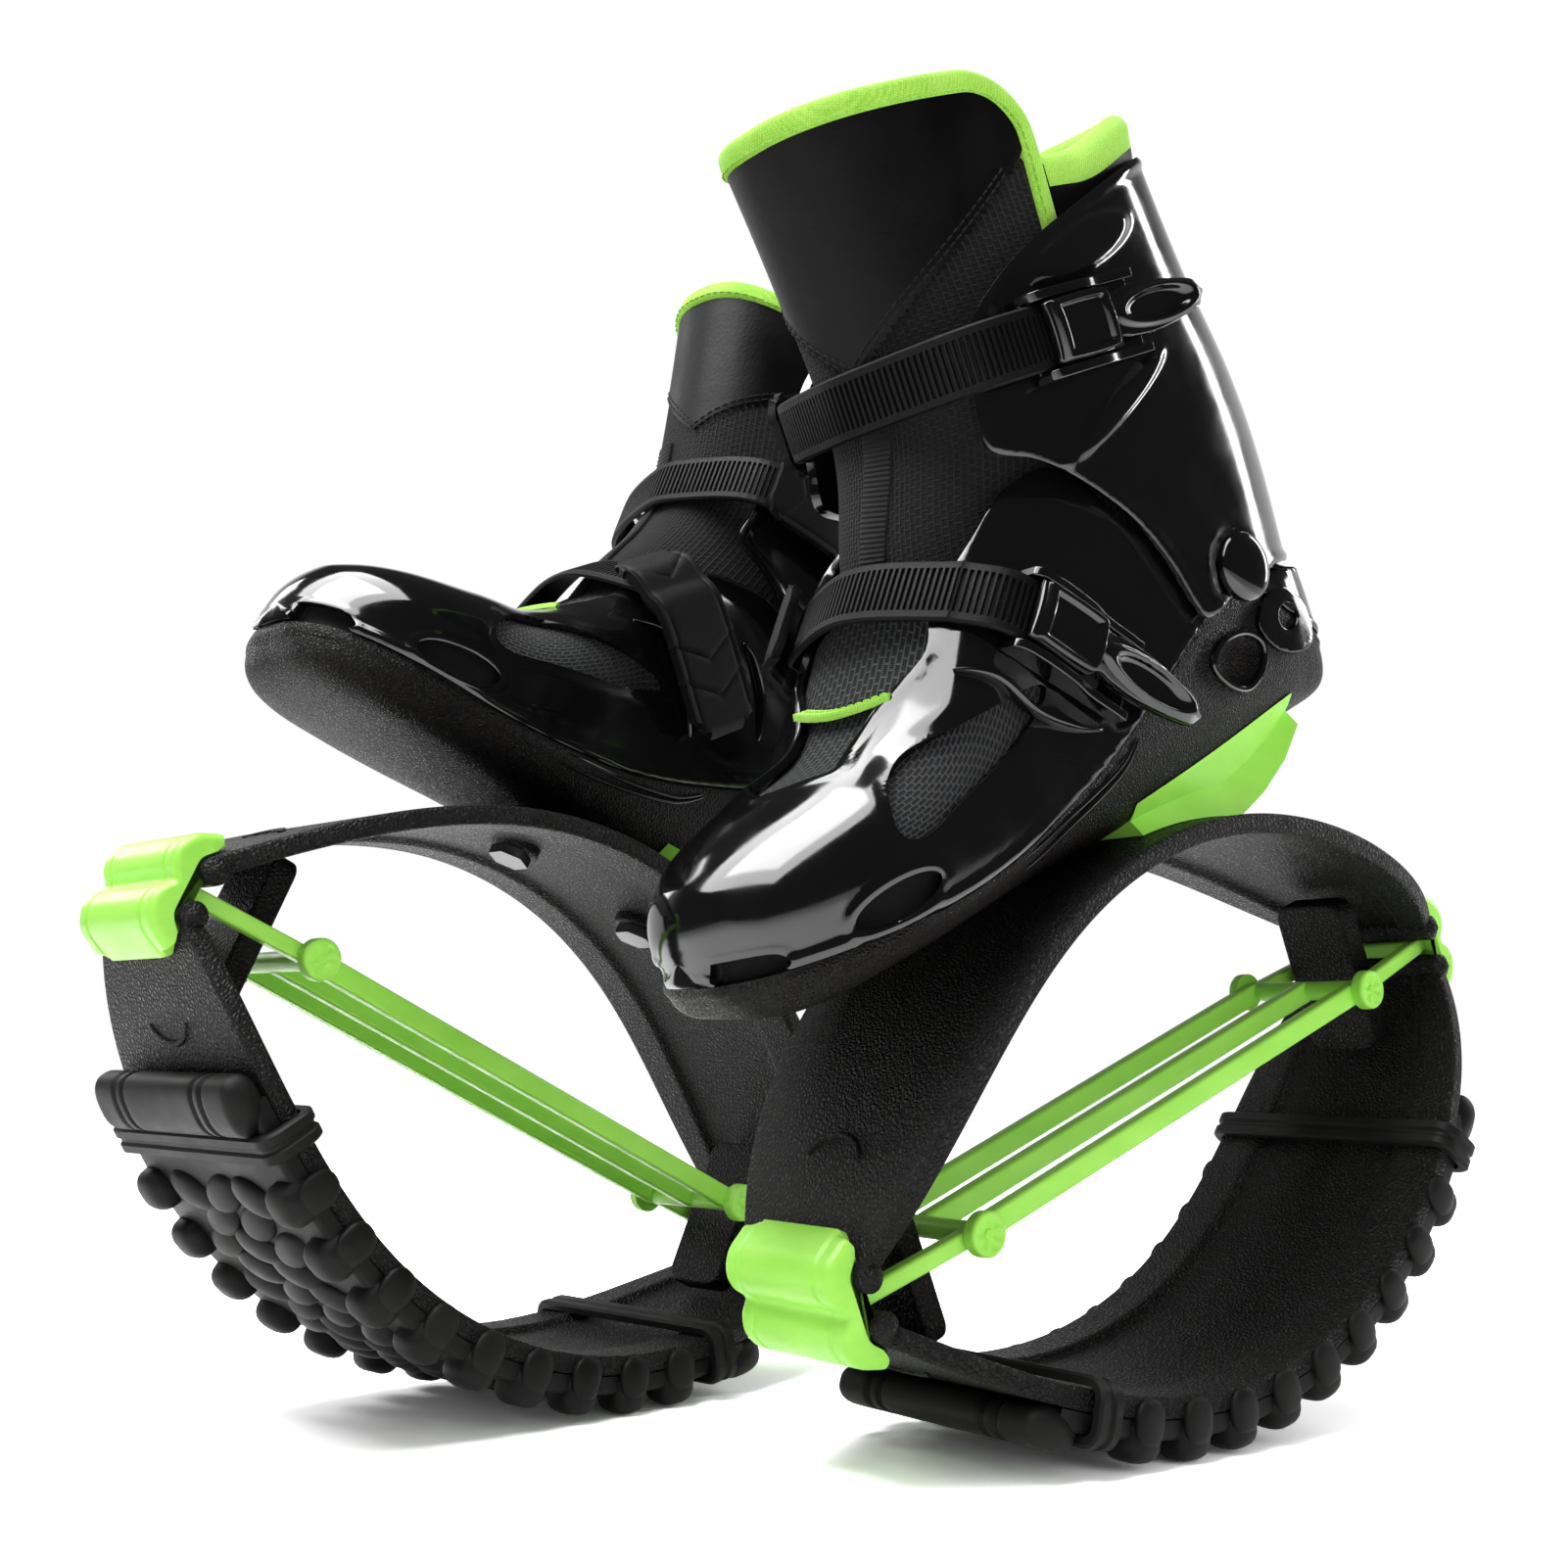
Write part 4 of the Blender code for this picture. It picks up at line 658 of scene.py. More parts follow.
def gloss_finish():
    """Black high-gloss plastic: faint orange peel, dust and hair-fine scratches in the sheen."""
    material = new_finish("gloss_black", (0.0035, 0.0035, 0.0038), 0.09, Specular_IOR_Level=0.55)
    vector = coordinates(material)
    wire(material, ramp(material, noise(material, vector, *dust_pattern), *gloss_roughness), "Roughness")
    tint(material, noise(material, vector, *shade_pattern), gloss_colours)
    peel = emboss(material, noise(material, vector, *peel_pattern), *peel_relief)
    fine = coordinates(material, stretch=scratch_stretch, turn=scratch_turn)
    scratches = noise(material, fine, *scratch_pattern)
    wire(material, emboss(material, scratches, *scratch_relief, peel), "Normal")
    return material


def grained_finish(name, colours, scale, depth, low=0.38, high=0.62, sheen=0.2):
    """Textured black plastic: a fine leather-like grain, smoother on its tops, its colour painted paler on
    the tops and darker in the grooves between them as painted shade.
    """
    material = new_finish(name, colours[1], high, Specular_IOR_Level=sheen)
    vector = coordinates(material)
    drift = add(material, "TexNoise", {"Vector": vector, "Scale": scale / 3}).outputs["Color"]
    shift = add(material, "VectorMath", {0: drift, "Scale": grain_drift / scale}, operation="SCALE")
    warped = add(material, "VectorMath", {0: vector, 1: shift.outputs[0]}, operation="ADD")
    cells = add(material, "TexVoronoi", {
        "Vector": warped.outputs[0], "Scale": scale}, feature="DISTANCE_TO_EDGE").outputs["Distance"]
    tops = ramp(material, cells, 0.0, 1.0, *grain_cell_range)
    pores = noise(material, vector, scale * grain_pore_shares[0], grain_pore_shares[1])
    height = math_of(material, tops, pores, "ADD")
    shade = noise(material, vector, *grain_shade_pattern)
    # Painted shade: the colour darkens in the grooves between grain cells and is paler on their tops
    tint(material, math_of(material, tops, shade, "MULTIPLY"), colours)
    wire(material, ramp(material, tops, high, low, 0.0, 1.0), "Roughness")
    wire(material, emboss(material, height, depth, grain_strength), "Normal")
    return material


def rubber_finish():
    """Matte rubber with dust in its pores."""
    material = new_finish("tread_rubber", (0.016, 0.016, 0.016), 0.6, Specular_IOR_Level=0.1)
    vector = coordinates(material)
    dust = noise(material, vector, *rubber_dust_pattern)
    tint(material, ramp(material, dust, 0.0, 1.0), rubber_colours)
    wire(material, ramp(material, dust, *rubber_roughness), "Roughness")
    wire(material, emboss(material, noise(material, vector, *rubber_pore_pattern), *rubber_relief), "Normal")
    return material


def lime_finish():
    """Lime moulded plastic: near-flat colour with faint flow marks and a satin sheen."""
    material = new_finish("lime_plastic", (0.36, 0.78, 0.10), 0.36, Specular_IOR_Level=0.25)
    vector = coordinates(material)
    flow = noise(material, coordinates(material, stretch=flow_stretch), *flow_pattern)
    tint(material, ramp(material, flow, 0.0, 1.0), lime_colours)
    sheen = noise(material, vector, *lime_sheen_pattern)
    wire(material, ramp(material, sheen, *lime_roughness), "Roughness")
    wire(material, emboss(material, noise(material, vector, *lime_pore_pattern), *lime_relief), "Normal")
    return material


def knit_finish(name, colours, pitch, depth):
    """Open sports knit: staggered rows of small holes with twisted threads between them; the holes are
    painted near black as painted shade behind the knit.
    """
    material = new_finish(name, colours[1], 0.8, Sheen_Weight=0.05, Specular_IOR_Level=0.12)
    vector = coordinates(material, "UV")
    black, white = (0.0, 0.0, 0.0, 1.0), (1.0, 1.0, 1.0, 1.0)
    brick = add(material, "TexBrick", {
        "Vector": vector, "Scale": 1.0, "Mortar Size": pitch * knit_thread_share, "Mortar Smooth": 1.0,
        "Bias": 0.0, "Brick Width": pitch, "Row Height": pitch * knit_row_share,
        "Color1": black, "Color2": black, "Mortar": white})
    strand = add(material, "TexWave", {
        "Vector": vector, "Scale": knit_twist_share / pitch, "Distortion": knit_twist_distortion,
        "Detail": 1.0}).outputs["Fac"]
    twist = ramp(material, strand, 0.0, knit_twist_rise, 0.0, 1.0)
    height = math_of(material, brick.outputs["Fac"], twist, "ADD")
    # Painted shade: the holes take the dark colour, the threads the light one
    tint(material, ramp(material, height, 0.0, 1.0, *knit_hole_shade_range), colours)
    wire(material, emboss(material, height, depth, knit_strength), "Normal")
    return material


def leather_finish(name, colours):
    """Smooth leatherette: fine pores, a soft sheen and faint creases, painted darker in their low parts as
    painted shade.
    """
    material = new_finish(name, colours[1], 0.5, Specular_IOR_Level=0.09)
    vector = coordinates(material)
    pores = add(material, "TexVoronoi", {"Vector": vector, "Scale": leather_pore_scale}).outputs["Distance"]
    creases = noise(material, vector, *crease_pattern)
    # Painted shade: the colour darkens where the crease relief is low
    tint(material, ramp(material, creases, 0.0, 1.0), colours)
    sheen = noise(material, vector, *leather_sheen_pattern)
    wire(material, ramp(material, sheen, *leather_roughness), "Roughness")
    soft = emboss(material, creases, *crease_relief)
    wire(material, emboss(material, pores, *leather_pore_relief, soft), "Normal")
    return material


def cloth_finish(name, colours, scale=cloth_scale):
    """Close-woven cloth for piping, lining and webbing, darker where the threads are raised."""
    material = new_finish(name, colours[1], 0.85, Sheen_Weight=0.1, Specular_IOR_Level=0.12)
    vector = coordinates(material)
    weave = add(material, "TexVoronoi", {
        "Vector": vector, "Scale": scale, "Randomness": cloth_unevenness}).outputs["Distance"]
    mixed = math_of(material, weave, noise(material, vector, *cloth_dust_pattern), "ADD")
    tint(material, ramp(material, mixed, 0.0, 1.0, *cloth_tint_range), colours[::-1])
    wire(material, emboss(material, weave, *weave_relief), "Normal")
    return material


def steel_finish():
    """Bolt steel, dull with grime."""
    material = new_finish("bolt_steel", (0.09, 0.09, 0.095), 0.35, 0.9)
    vector = coordinates(material)
    grime = noise(material, vector, *grime_pattern)
    tint(material, ramp(material, grime, 0.0, 1.0), steel_colours)
    wire(material, ramp(material, grime, *steel_roughness), "Roughness")
    wire(material, emboss(material, noise(material, vector, *steel_pore_pattern), *steel_relief), "Normal")
    return material


gloss = gloss_finish()
arch_plastic = grained_finish(
    "arch_texture", arch_colours, scale=620.0, depth=0.0005, low=0.28, high=0.6, sheen=0.12)
sole_plastic = grained_finish(
    "sole_texture", sole_colours, scale=800.0, depth=0.0004, low=0.22, high=0.5, sheen=0.1)
strap_plastic = grained_finish("strap_texture", strap_colours, scale=1500.0, depth=0.00005, sheen=0.1)
rubber = rubber_finish()
lime = lime_finish()
toe_knit = knit_finish("toe_knit", toe_knit_colours, toe_knit_pitch, toe_knit_depth)
tongue_knit = knit_finish("tongue_knit", tongue_knit_colours, tongue_knit_pitch, tongue_knit_depth)
leather = leather_finish("tongue_leather", leather_colours)
webbing = cloth_finish("black_webbing", webbing_colours)
lime_cloth = cloth_finish("lime_cloth", lime_cloth_colours)
steel = steel_finish()
foam_cloth = cloth_finish("insole_cloth", foam_colours, scale=900.0)


# The spring unit
def arch_z(x):
    rise = arch_crown_height - arch_end_height
    return arch_end_height + rise * (1 - (np.abs(x) / arch_half_length) ** arch_curve_power)


def arch_slope(x):
    rise = arch_crown_height - arch_end_height
    steepness = rise * arch_curve_power / arch_half_length
    steepness = steepness * (np.abs(x) / arch_half_length) ** (arch_curve_power - 1)
    return -np.sign(x) * np.arctan(steepness)


def arch_width(x):
    taper = (np.abs(x) / arch_half_length) ** arch_taper_power
    return arch_half_width + (arch_end_half_width - arch_half_width) * taper


def on_arch(x, y, depth):
    """Points at a depth under the upper leaf's outer face."""
    angle = arch_slope(x)
    parts = np.broadcast_arrays(x + depth * np.sin(angle), y, arch_z(x) - depth * np.cos(angle))
    return np.stack(parts, -1)


def arch_row(x, profile):
    """A section of (across, depth) pairs, set upright on the leaf at a place along it."""
    profile = np.array(profile)
    return on_arch(np.full(len(profile), x), profile[:, 0], profile[:, 1])


def arch_profile(half):
    """One closed section of a leaf as (across, depth) pairs."""
    channel = half - arch_edge_band * half / arch_half_width
    side = half - arch_corner
    right = [(side * share, 0.0) for share in np.linspace(0.0, 1.0, 9)]
    right += arc((side, arch_corner), arch_corner, -90, 0, 4)[1:]
    right += arc((side, arch_edge_thickness - arch_corner), arch_corner, 0, 90, 4)
    right += [(side + (channel - side) * share, arch_edge_thickness) for share in np.linspace(0.2, 1.0, 5)]
    drop = arch_edge_thickness - arch_web_thickness
    for share in np.linspace(0.0, 1.0, 7)[1:]:
        right.append((channel - arch_fillet * share, arch_edge_thickness - drop * step_up(share, 0.0, 1.0)))
    flat = channel - arch_fillet
    right += [(flat * share, arch_web_thickness) for share in np.linspace(0.8, 0.0, 5)]
    return right + [(-y, depth) for y, depth in right[-2:0:-1]]


def rounded_ends(across, reach, rounding):
    """Shares of a roll's radius that round off its two ends."""
    beyond = np.clip(np.abs(across) - (reach - rounding), 0, None) / (rounding + rounded_end_slack)
    return np.sqrt(np.clip(1 - beyond**2, 0, 1))


def leaf_form():
    """The upper leaf with the bead across each end."""
    stations = np.sin(np.linspace(-math.pi / 2, math.pi / 2, 141)) * arch_half_length
    forms = [solid([arch_row(x, arch_profile(float(arch_width(x)))) for x in stations])]
    reach = arch_end_half_width + arch_bead_overhang
    across = np.linspace(-reach, reach, 25)
    for end in (-1, 1):
        middle = on_arch(end * arch_half_length, 0.0, arch_bead_radius)
        path = np.stack([np.full(25, middle[0]), across, np.full(25, middle[2])], -1)
        forms.append(tube(path, arch_bead_radius * rounded_ends(across, reach, arch_bead_round), sides=20))
        forms.append(crescent(end))
    return joined(forms)


def crescent(end):
    """A small raised crescent moulded into the leaf's outer face near its end."""
    angle = np.linspace(-crescent_half_angle, crescent_half_angle, 25)
    x = end * (crescent_place - crescent_radii[0] * np.cos(angle))
    path = on_arch(x, crescent_radii[1] * np.sin(angle), 0.0)
    return tube(path, crescent_thickness * np.cos(angle / crescent_taper))


def boss_form(x):
    """The round boss under the crown that a bolt's head bears on, with a sunk middle."""
    top = on_arch(x, 0.0, arch_web_thickness / 2)[2]
    low = on_arch(x + math.copysign(boss_radii[-1], x), 0.0, arch_web_thickness)[2]
    heights = (low + boss_sink, low + boss_sink, low, low, low + boss_round, top)
    around = round_turn(32)
    return solid([
        np.stack([x + radius * np.cos(around), radius * np.sin(around), np.full(32, z)], -1)
        for radius, z in zip(boss_radii, heights)])


def flipped(form):
    """The same form under the middle plane."""
    return form.at(form.points * (1.0, 1.0, -1.0))


def turned_about(form):
    """The same form at the other end of the spring."""
    return form.at(form.points * (-1.0, 1.0, 1.0))


def clip_outline(lip_back, shrink):
    """The clip's side outline: two soft lobes outside, the beads' seats inside."""
    bead = on_arch(arch_half_length, 0.0, arch_bead_radius)
    reach = arch_bead_radius + slip_gap
    nose_x = bead[0] + reach + clip_wall + clip_groove_depth
    lip_x = nose_x - clip_depth + lip_back
    top = bead[2] + reach + clip_wall
    upper = [(nose_x - along * clip_depth, up * top) for along, up in clip_lobe_shares]
    lip = on_arch(lip_x, 0.0, -slip_gap - clip_lip_wall)
    upper.append((lip[0], lip[2]))
    lower = [(x, -z) for x, z in upper[::-1]]
    outer = smooth(lower + [(nose_x - clip_groove_depth, 0.0)] + upper, 6)
    middle = np.array([bead[0] - arch_bead_radius, 0.0])
    away = outer - middle
    outer = middle + away * (1 - shrink / np.linalg.norm(away, axis=1)[:, None])
    inner = []
    for share in clip_seat_shares:
        point = on_arch(lip_x + share * (arch_half_length - lip_x), 0.0, -slip_gap)
        inner.append((point[0], point[2]))
    start = math.degrees(math.pi / 2 + arch_slope(arch_half_length))
    inner += arc((bead[0], bead[2]), reach, start, 0, 8)
    return [tuple(point) for point in outer] + inner + [(x, -z) for x, z in inner[::-1]]


def clip_form():
    """A clip with pillowed ends, a moulded line near each end and shorter lips at its corners."""
    ends = clip_half_width - clip_end_round * (1 - np.sin(np.linspace(0.0, math.pi / 2, 7)))
    across = np.concatenate([-ends[::-1], np.linspace(-ends[0], ends[0], 61)[1:-1], ends])
    rows = []
    for y in across:
        beyond = min(max((abs(y) - ends[0]) / clip_end_round, 0.0), 1.0)
        shrink = clip_end_round * (1 - math.sqrt(1 - beyond**2))
        shrink += clip_line_depth * float(bump(abs(y) - clip_line_place, clip_line_width))
        lip_back = clip_corner_cut * float(step_up(abs(y), clip_corner_start, clip_half_width))
        rows.append([(x, y, z) for x, z in clip_outline(lip_back, shrink)])
    return solid(rows)


def band_form():
    """Three strands between two crossbars, and arms that run into the clips."""
    half = band_strand_width / 2
    thick = band_thickness / 2
    arm = band_arm_thickness / 2
    outer_strand = band_half_width - stud_sink - half
    forms = [
        block((-band_half_span, y - half, -thick), (band_half_span, y + half, thick))
        for y in (-outer_strand, 0.0, outer_strand)]
    end_x = on_arch(arch_half_length, 0.0, arch_bead_radius)[0] + arch_bead_radius + slip_gap - gap
    end_y = clip_half_width - band_arm_inset
    section = ((-half, -arm), (half, -arm), (half, arm), (-half, arm))
    path = ((band_half_span, outer_strand), (end_x - band_edge, end_y - half))
    for end in (-1, 1):
        for side in (-1, 1):
            rows = [[(end * x, side * (y + across), z) for across, z in section] for x, y in path]
            forms.append(solid(rows))
        low_x, high_x = sorted((end * (end_x - band_hook_length), end * end_x))
        forms.append(block((low_x, -end_y, -arm), (high_x, end_y, arm)))
    return joined(forms)


def crossbar_form():
    """The two crossbars with a stud on each end."""
    forms = []
    for end in (-1, 1):
        x = end * band_half_span
        path = [(x, y, 0.0) for y in np.linspace(-band_half_width, band_half_width, 12)]
        forms.append(tube(path, crossbar_radius, sides=20))
        forms += [stud_form(x, side) for side in (-1, 1)]
    return joined(forms)


def stud_form(x, side):
    """A round stud with a rounded rim and shallow rays round a small hub."""
    around = round_turn(60)
    rays = 0.5 + 0.5 * np.cos(stud_rays * around)
    rows = []
    for share, height, ray in stud_shares:
        radius = share * stud_radius
        out = (stud_thickness - stud_sink) * (height + stud_ray_share * ray * rays)
        rows.append(np.stack([
            x + radius * np.cos(around), side * (band_half_width + out), radius * np.sin(around)], -1))
    return solid(rows)


def insert_form():
    """The rounded block between the leaves next to a clip."""
    front_x = arch_half_length - insert_setback
    depth = arch_web_thickness + insert_top_inset
    top = float(on_arch(front_x - depth * math.sin(arch_slope(front_x)), 0.0, depth)[2])
    outline = []
    for index, (y, z) in enumerate(((1, 1), (-1, 1), (-1, -1), (1, -1))):
        middle = (y * (insert_half_width - insert_corner), z * (top - insert_corner))
        outline += arc(middle, insert_corner, 90 * index, 90 * index + 90, 8)
    return solid([[(x, y, z) for y, z in outline] for x in (front_x - insert_thickness, front_x)])


# The tread
def arch_lengths():
    x = np.linspace(0.0, arch_half_length, 400)
    steps = np.diff(x) / np.cos(arch_slope((x[1:] + x[:-1]) / 2))
    return x, np.concatenate([[0.0], np.cumsum(steps)])


def arch_turn(x, slant=0.0):
    return np.array(Matrix.Rotation(-float(arch_slope(x)), 3, "Y") @ Matrix.Rotation(slant, 3, "Z"))


def tread_form():
    """The rubber sole of the leaf, with rounded side edges."""
    low = -tread_thickness + tread_edge
    rows = []
    for x in np.linspace(-roll_place, roll_place, 90):
        half = float(arch_width(x)) - tread_edge_margin
        profile = [(half * share, 0.0) for share in np.linspace(-1, 1, 3)]
        profile += arc((half - tread_edge, low), tread_edge, 0, -90, 4)
        profile += [((half - tread_edge) * share, -tread_thickness) for share in np.linspace(0.8, -0.8, 9)]
        profile += arc((tread_edge - half, low), tread_edge, -90, -180, 4)
        rows.append(arch_row(x, [(y, depth - gap) for y, depth in profile]))
    return solid(rows)


def lens_stud(x, across, slant):
    return pebble(on_arch(x, across, -tread_thickness), lens_radii, arch_turn(x, slant), 2.0, 10, 20)


def knob_forms():
    """Knobs and tabs along both edges, and rows of slanted lens studs between them."""
    stations, lengths = arch_lengths()
    reach = float(np.interp(loop_place, stations, lengths)) - loop_width - knob_radii[0]
    count = int(reach / knob_pitch)
    forms = []
    for row in range(-count, count + 1):
        slants = (lens_slant, -lens_slant) if row % 2 else (-lens_slant, lens_slant)
        x = math.copysign(1, row) * float(np.interp(abs(row) * knob_pitch, lengths, stations))
        half = float(arch_width(x))
        turn = arch_turn(x)
        for side in (-1, 1):
            knob = on_arch(x, side * (half - knob_edge_inset), -tread_thickness)
            forms.append(pebble(knob, knob_radii, turn, knob_power, 12, 22))
            tab = on_arch(x, side * (half + gap), -tab_depth)
            forms.append(pebble(tab, tab_radii, turn, tab_power, 12, 22))
        spread = half * lens_spread_share
        for place, share in enumerate(lens_row_shares):
            forms.append(lens_stud(x, share * spread, slants[place % 2]))
        if row < count:
            length = (row + 0.5) * knob_pitch
            x = math.copysign(1, length) * float(np.interp(abs(length), lengths, stations))
            forms += [lens_stud(x, share * spread, slants[0]) for share in lens_middle_shares]
    return forms


def roll_form(end):
    """The padded roll that ends the tread, with two pairs of small cross grooves."""
    x = end * roll_place
    half = float(arch_width(x))
    across = np.linspace(-half, half, 121)
    size = np.ones(121)
    for share in roll_groove_shares:
        size -= roll_groove_depth / roll_radii[1] * bump(across - share * half, roll_groove_width * 2)
    size *= rounded_ends(across, half, roll_end_round)
    middle = on_arch(x, 0.0, -roll_radii[1] - gap)
    turn = arch_turn(x)
    around = round_turn(28)
    wide = roll_radii[0] * squarer(np.cos(around), roll_square_power)
    high = roll_radii[1] * squarer(np.sin(around), roll_square_power)
    section = wide[:, None] * turn[:, 0] + high[:, None] * turn[:, 2]
    return solid([middle + (0.0, y, 0.0) + share * section for y, share in zip(across, size)])


def loop_form():
    """A rubber loop round leaf and tread: a band with a groove along its middle."""
    half_y = float(arch_width(loop_place - loop_width / 2)) + slip_gap + loop_thickness / 2
    low = -slip_gap - arch_edge_thickness - loop_thickness / 2
    high = tread_thickness + slip_gap + loop_thickness / 2
    ring = []
    for y, z, start in ((half_y, high, 0), (-half_y, high, 90), (-half_y, low, 180), (half_y, low, 270)):
        middle = (y - math.copysign(loop_corner, y), z - math.copysign(loop_corner, z))
        ring += arc(middle, loop_corner, start, start + 90, 6)
    ring = np.array(ring)
    flow = unit(np.roll(ring, -1, 0) - np.roll(ring, 1, 0))
    half = loop_width / 2
    thick = loop_thickness / 2
    side = [(half * along, thick * out) for along, out in loop_side_shares]
    side.append((half * loop_groove_share, thick - loop_groove))
    section = [(-along, out) for along, out in side] + side[::-1]
    turn = arch_turn(loop_place)
    middle = on_arch(loop_place, 0.0, 0.0)
    rows = []
    for (y, z), (flow_y, flow_z) in zip(ring, flow):
        local = np.array([(along, y + out * flow_z, z - out * flow_y) for along, out in section])
        rows.append(middle + local @ turn.T)
    return grid(rows, closed_rows=True, closed_columns=True)


def flatten(items, height):
    """Gives each placed piece a mesh of its own."""
    for item, shoe in zip(items, shoes):
        shoe.world((0.0, 0.0, height))
        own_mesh(item)


def spring_unit():
    upper = joined([leaf_form()] + [boss_form(x) for x in bolt_places])
    items = put("upper_leaf", closed_mesh(upper), arch_plastic, "boot", ["upper_arch"])
    flatten(items, arch_crown_height)
    tread = joined([tread_form(), roll_form(1), roll_form(-1)] + knob_forms())
    for name, form, material, node, slot in (
            ("lower_leaf", leaf_form(), arch_plastic, "lower_arch", "textured_black"),
            ("tread_rubber", tread, rubber, "tread", "tread_rubber"),
            ("front_loop", loop_form(), rubber, "front_tread_loop", "tread_rubber"),
            ("rear_loop", turned_about(loop_form()), rubber, "rear_tread_loop", "tread_rubber")):
        items = put(name, closed_mesh(flipped(form)), material, "ground_arches", [node])
        flatten(items, lower_anchor_z)
    ends = (("front", lambda form: form), ("rear", turned_about))
    for end, place in ends:
        clip = closed_mesh(place(clip_form()), clip_edge_round, 3)
        put(end + "_end_clip", clip, lime, "spring_ends", [end + "_clip"])
    put("band", closed_mesh(band_form(), band_edge, 3), lime, "spring_ends", ["tension_band"],
        weighted=True)
    put("band_crossbars", closed_mesh(crossbar_form()), lime, "spring_ends", (), sharp=50)
    for end, place in ends:
        insert = closed_mesh(place(insert_form()), insert_edge, 3)
        items = put(end + "_block", insert, arch_plastic, "spring_ends", [end + "_insert"],
                    weighted=True)
        flatten(items, 0.0)
    for shoe in shoes:
        for node, finish in (("front_sole_bolt", steel), ("rear_sole_bolt", steel), ("insole", foam_cloth)):
            materials = frame["nodes"][shoe.side + "_" + node].data.materials
            materials.clear()
            materials.append(finish)


# The boot's surfaces. Tables of shares: place along the boot, half width, underside, top and
# roundness for the foot; height, back, front and half width for the cuff and the liner
foot_shares = [
    (0.00, 0.12, 1.60, 0.28, 2.2), (0.03, 0.40, 1.20, 0.43, 2.6), (0.08, 0.72, 1.00, 0.60, 3.2),
    (0.14, 0.86, 0.86, 1.10, 3.8), (0.20, 0.90, 0.74, 1.22, 3.8), (0.34, 0.92, 0.36, 1.22, 3.4),
    (0.50, 0.925, 0.00, 1.17, 2.5), (0.58, 0.95, 0.00, 1.08, 2.4), (0.66, 1.00, -0.04, 0.76, 2.5),
    (0.74, 1.00, -0.16, 0.53, 2.5), (0.83, 0.94, -0.34, 0.45, 2.4), (0.91, 0.80, -0.48, 0.39, 2.3),
    (0.96, 0.60, -0.36, 0.33, 2.2), (0.99, 0.33, 0.10, 0.26, 2.1), (1.00, 0.12, 0.60, 0.18, 2.0)]
toe_round_share = 0.975
heel_round_share = 0.03
least_half = 0.0005
foot_crowding_share = 0.45
foot_limit_share = 0.999
cuff_shares = [
    (-0.15, 0.003, 0.640, 0.98), (0.00, 0.002, 0.650, 1.00), (0.30, 0.000, 0.645, 1.02),
    (0.50, 0.010, 0.635, 1.00), (0.72, 0.039, 0.620, 0.97), (1.00, 0.059, 0.620, 0.92),
    (1.20, 0.065, 0.620, 0.90)]
liner_shares = [
    (-0.10, 0.018, 0.675, 0.90), (0.00, 0.018, 0.620, 0.90), (0.25, 0.018, 0.575, 0.84),
    (0.38, 0.024, 0.545, 0.85), (0.52, 0.038, 0.530, 0.87), (0.75, 0.059, 0.525, 0.87),
    (1.00, 0.069, 0.525, 0.90), (1.10, 0.073, 0.525, 0.90)]
split_line_shares = [
    (-0.03, 0.28), (0.06, 0.30), (0.14, 0.40), (0.20, 0.50), (0.26, 0.52), (0.31, 0.485), (0.43, 0.33),
    (0.53, 0.215), (0.62, 0.145), (0.72, 0.095), (0.82, 0.075), (1.03, 0.075)]
throat_line_shares = [
    (1.03, 0.66), (0.675, 0.66), (0.632, 0.80), (0.57, 0.92), (0.515, 0.985), (0.44, 0.985),
    (0.36, 0.74), (0.12, 0.58), (-0.03, 0.56)]
cuff_outline_shares = [
    (0.10, 1.00), (0.31, 0.97), (0.66, 0.865), (0.82, 0.80), (0.94, 0.72), (0.985, 0.66), (0.99, 0.56),
    (1.00, 0.465), (0.90, 0.42), (0.80, 0.35), (0.69, 0.245), (0.62, 0.14), (0.57, 0.03), (0.53, 0.01),
    (0.36, 0.05), (0.22, 0.06), (-0.06, 0.09), (-0.06, 0.50), (-0.06, 1.00)]
liner_clearance = 0.0016
liner_bottom_z = 0.158
tongue_top_z = 0.329
beyond_heel = 0.05
over_boot_z = 0.4
past_toe_x = 0.2

# The shell's lines in side view, and half widths of the opening over the toes in plan view
window_line = [
    (0.0990, 0.1250), (0.0975, 0.1195), (0.0905, 0.1185), (0.0790, 0.1225), (0.0640, 0.1275),
    (0.0500, 0.1320), (0.0360, 0.1385), (0.0285, 0.1440), (0.0330, 0.1465), (0.0480, 0.1455),
    (0.0640, 0.1440), (0.0800, 0.1415), (0.0930, 0.1345)]
vent_middle = (0.1065, 0.1045)
vent_radii = (0.0150, 0.0050)
vent_tilt = math.radians(-8)
slot_line = [
    (0.1800, 0.0962), (0.1600, 0.0962), (0.1480, 0.0962), (0.1415, 0.0972), (0.1395, 0.0995),
    (0.1415, 0.1022), (0.1480, 0.1034), (0.1600, 0.1036), (0.1800, 0.1036)]
opening_line = [
    (-0.20, 0.0210), (0.0500, 0.0210), (0.0584, 0.0310), (0.0661, 0.0245), (0.0730, 0.0178),
    (0.0790, 0.0158), (0.0850, 0.0158), (0.0910, 0.0180), (0.0966, 0.0200), (0.1014, 0.0150),
    (0.1063, 0.0070), (0.1090, 0.0), (0.1200, -0.0300), (0.30, -0.50)]
slope_step = 0.001
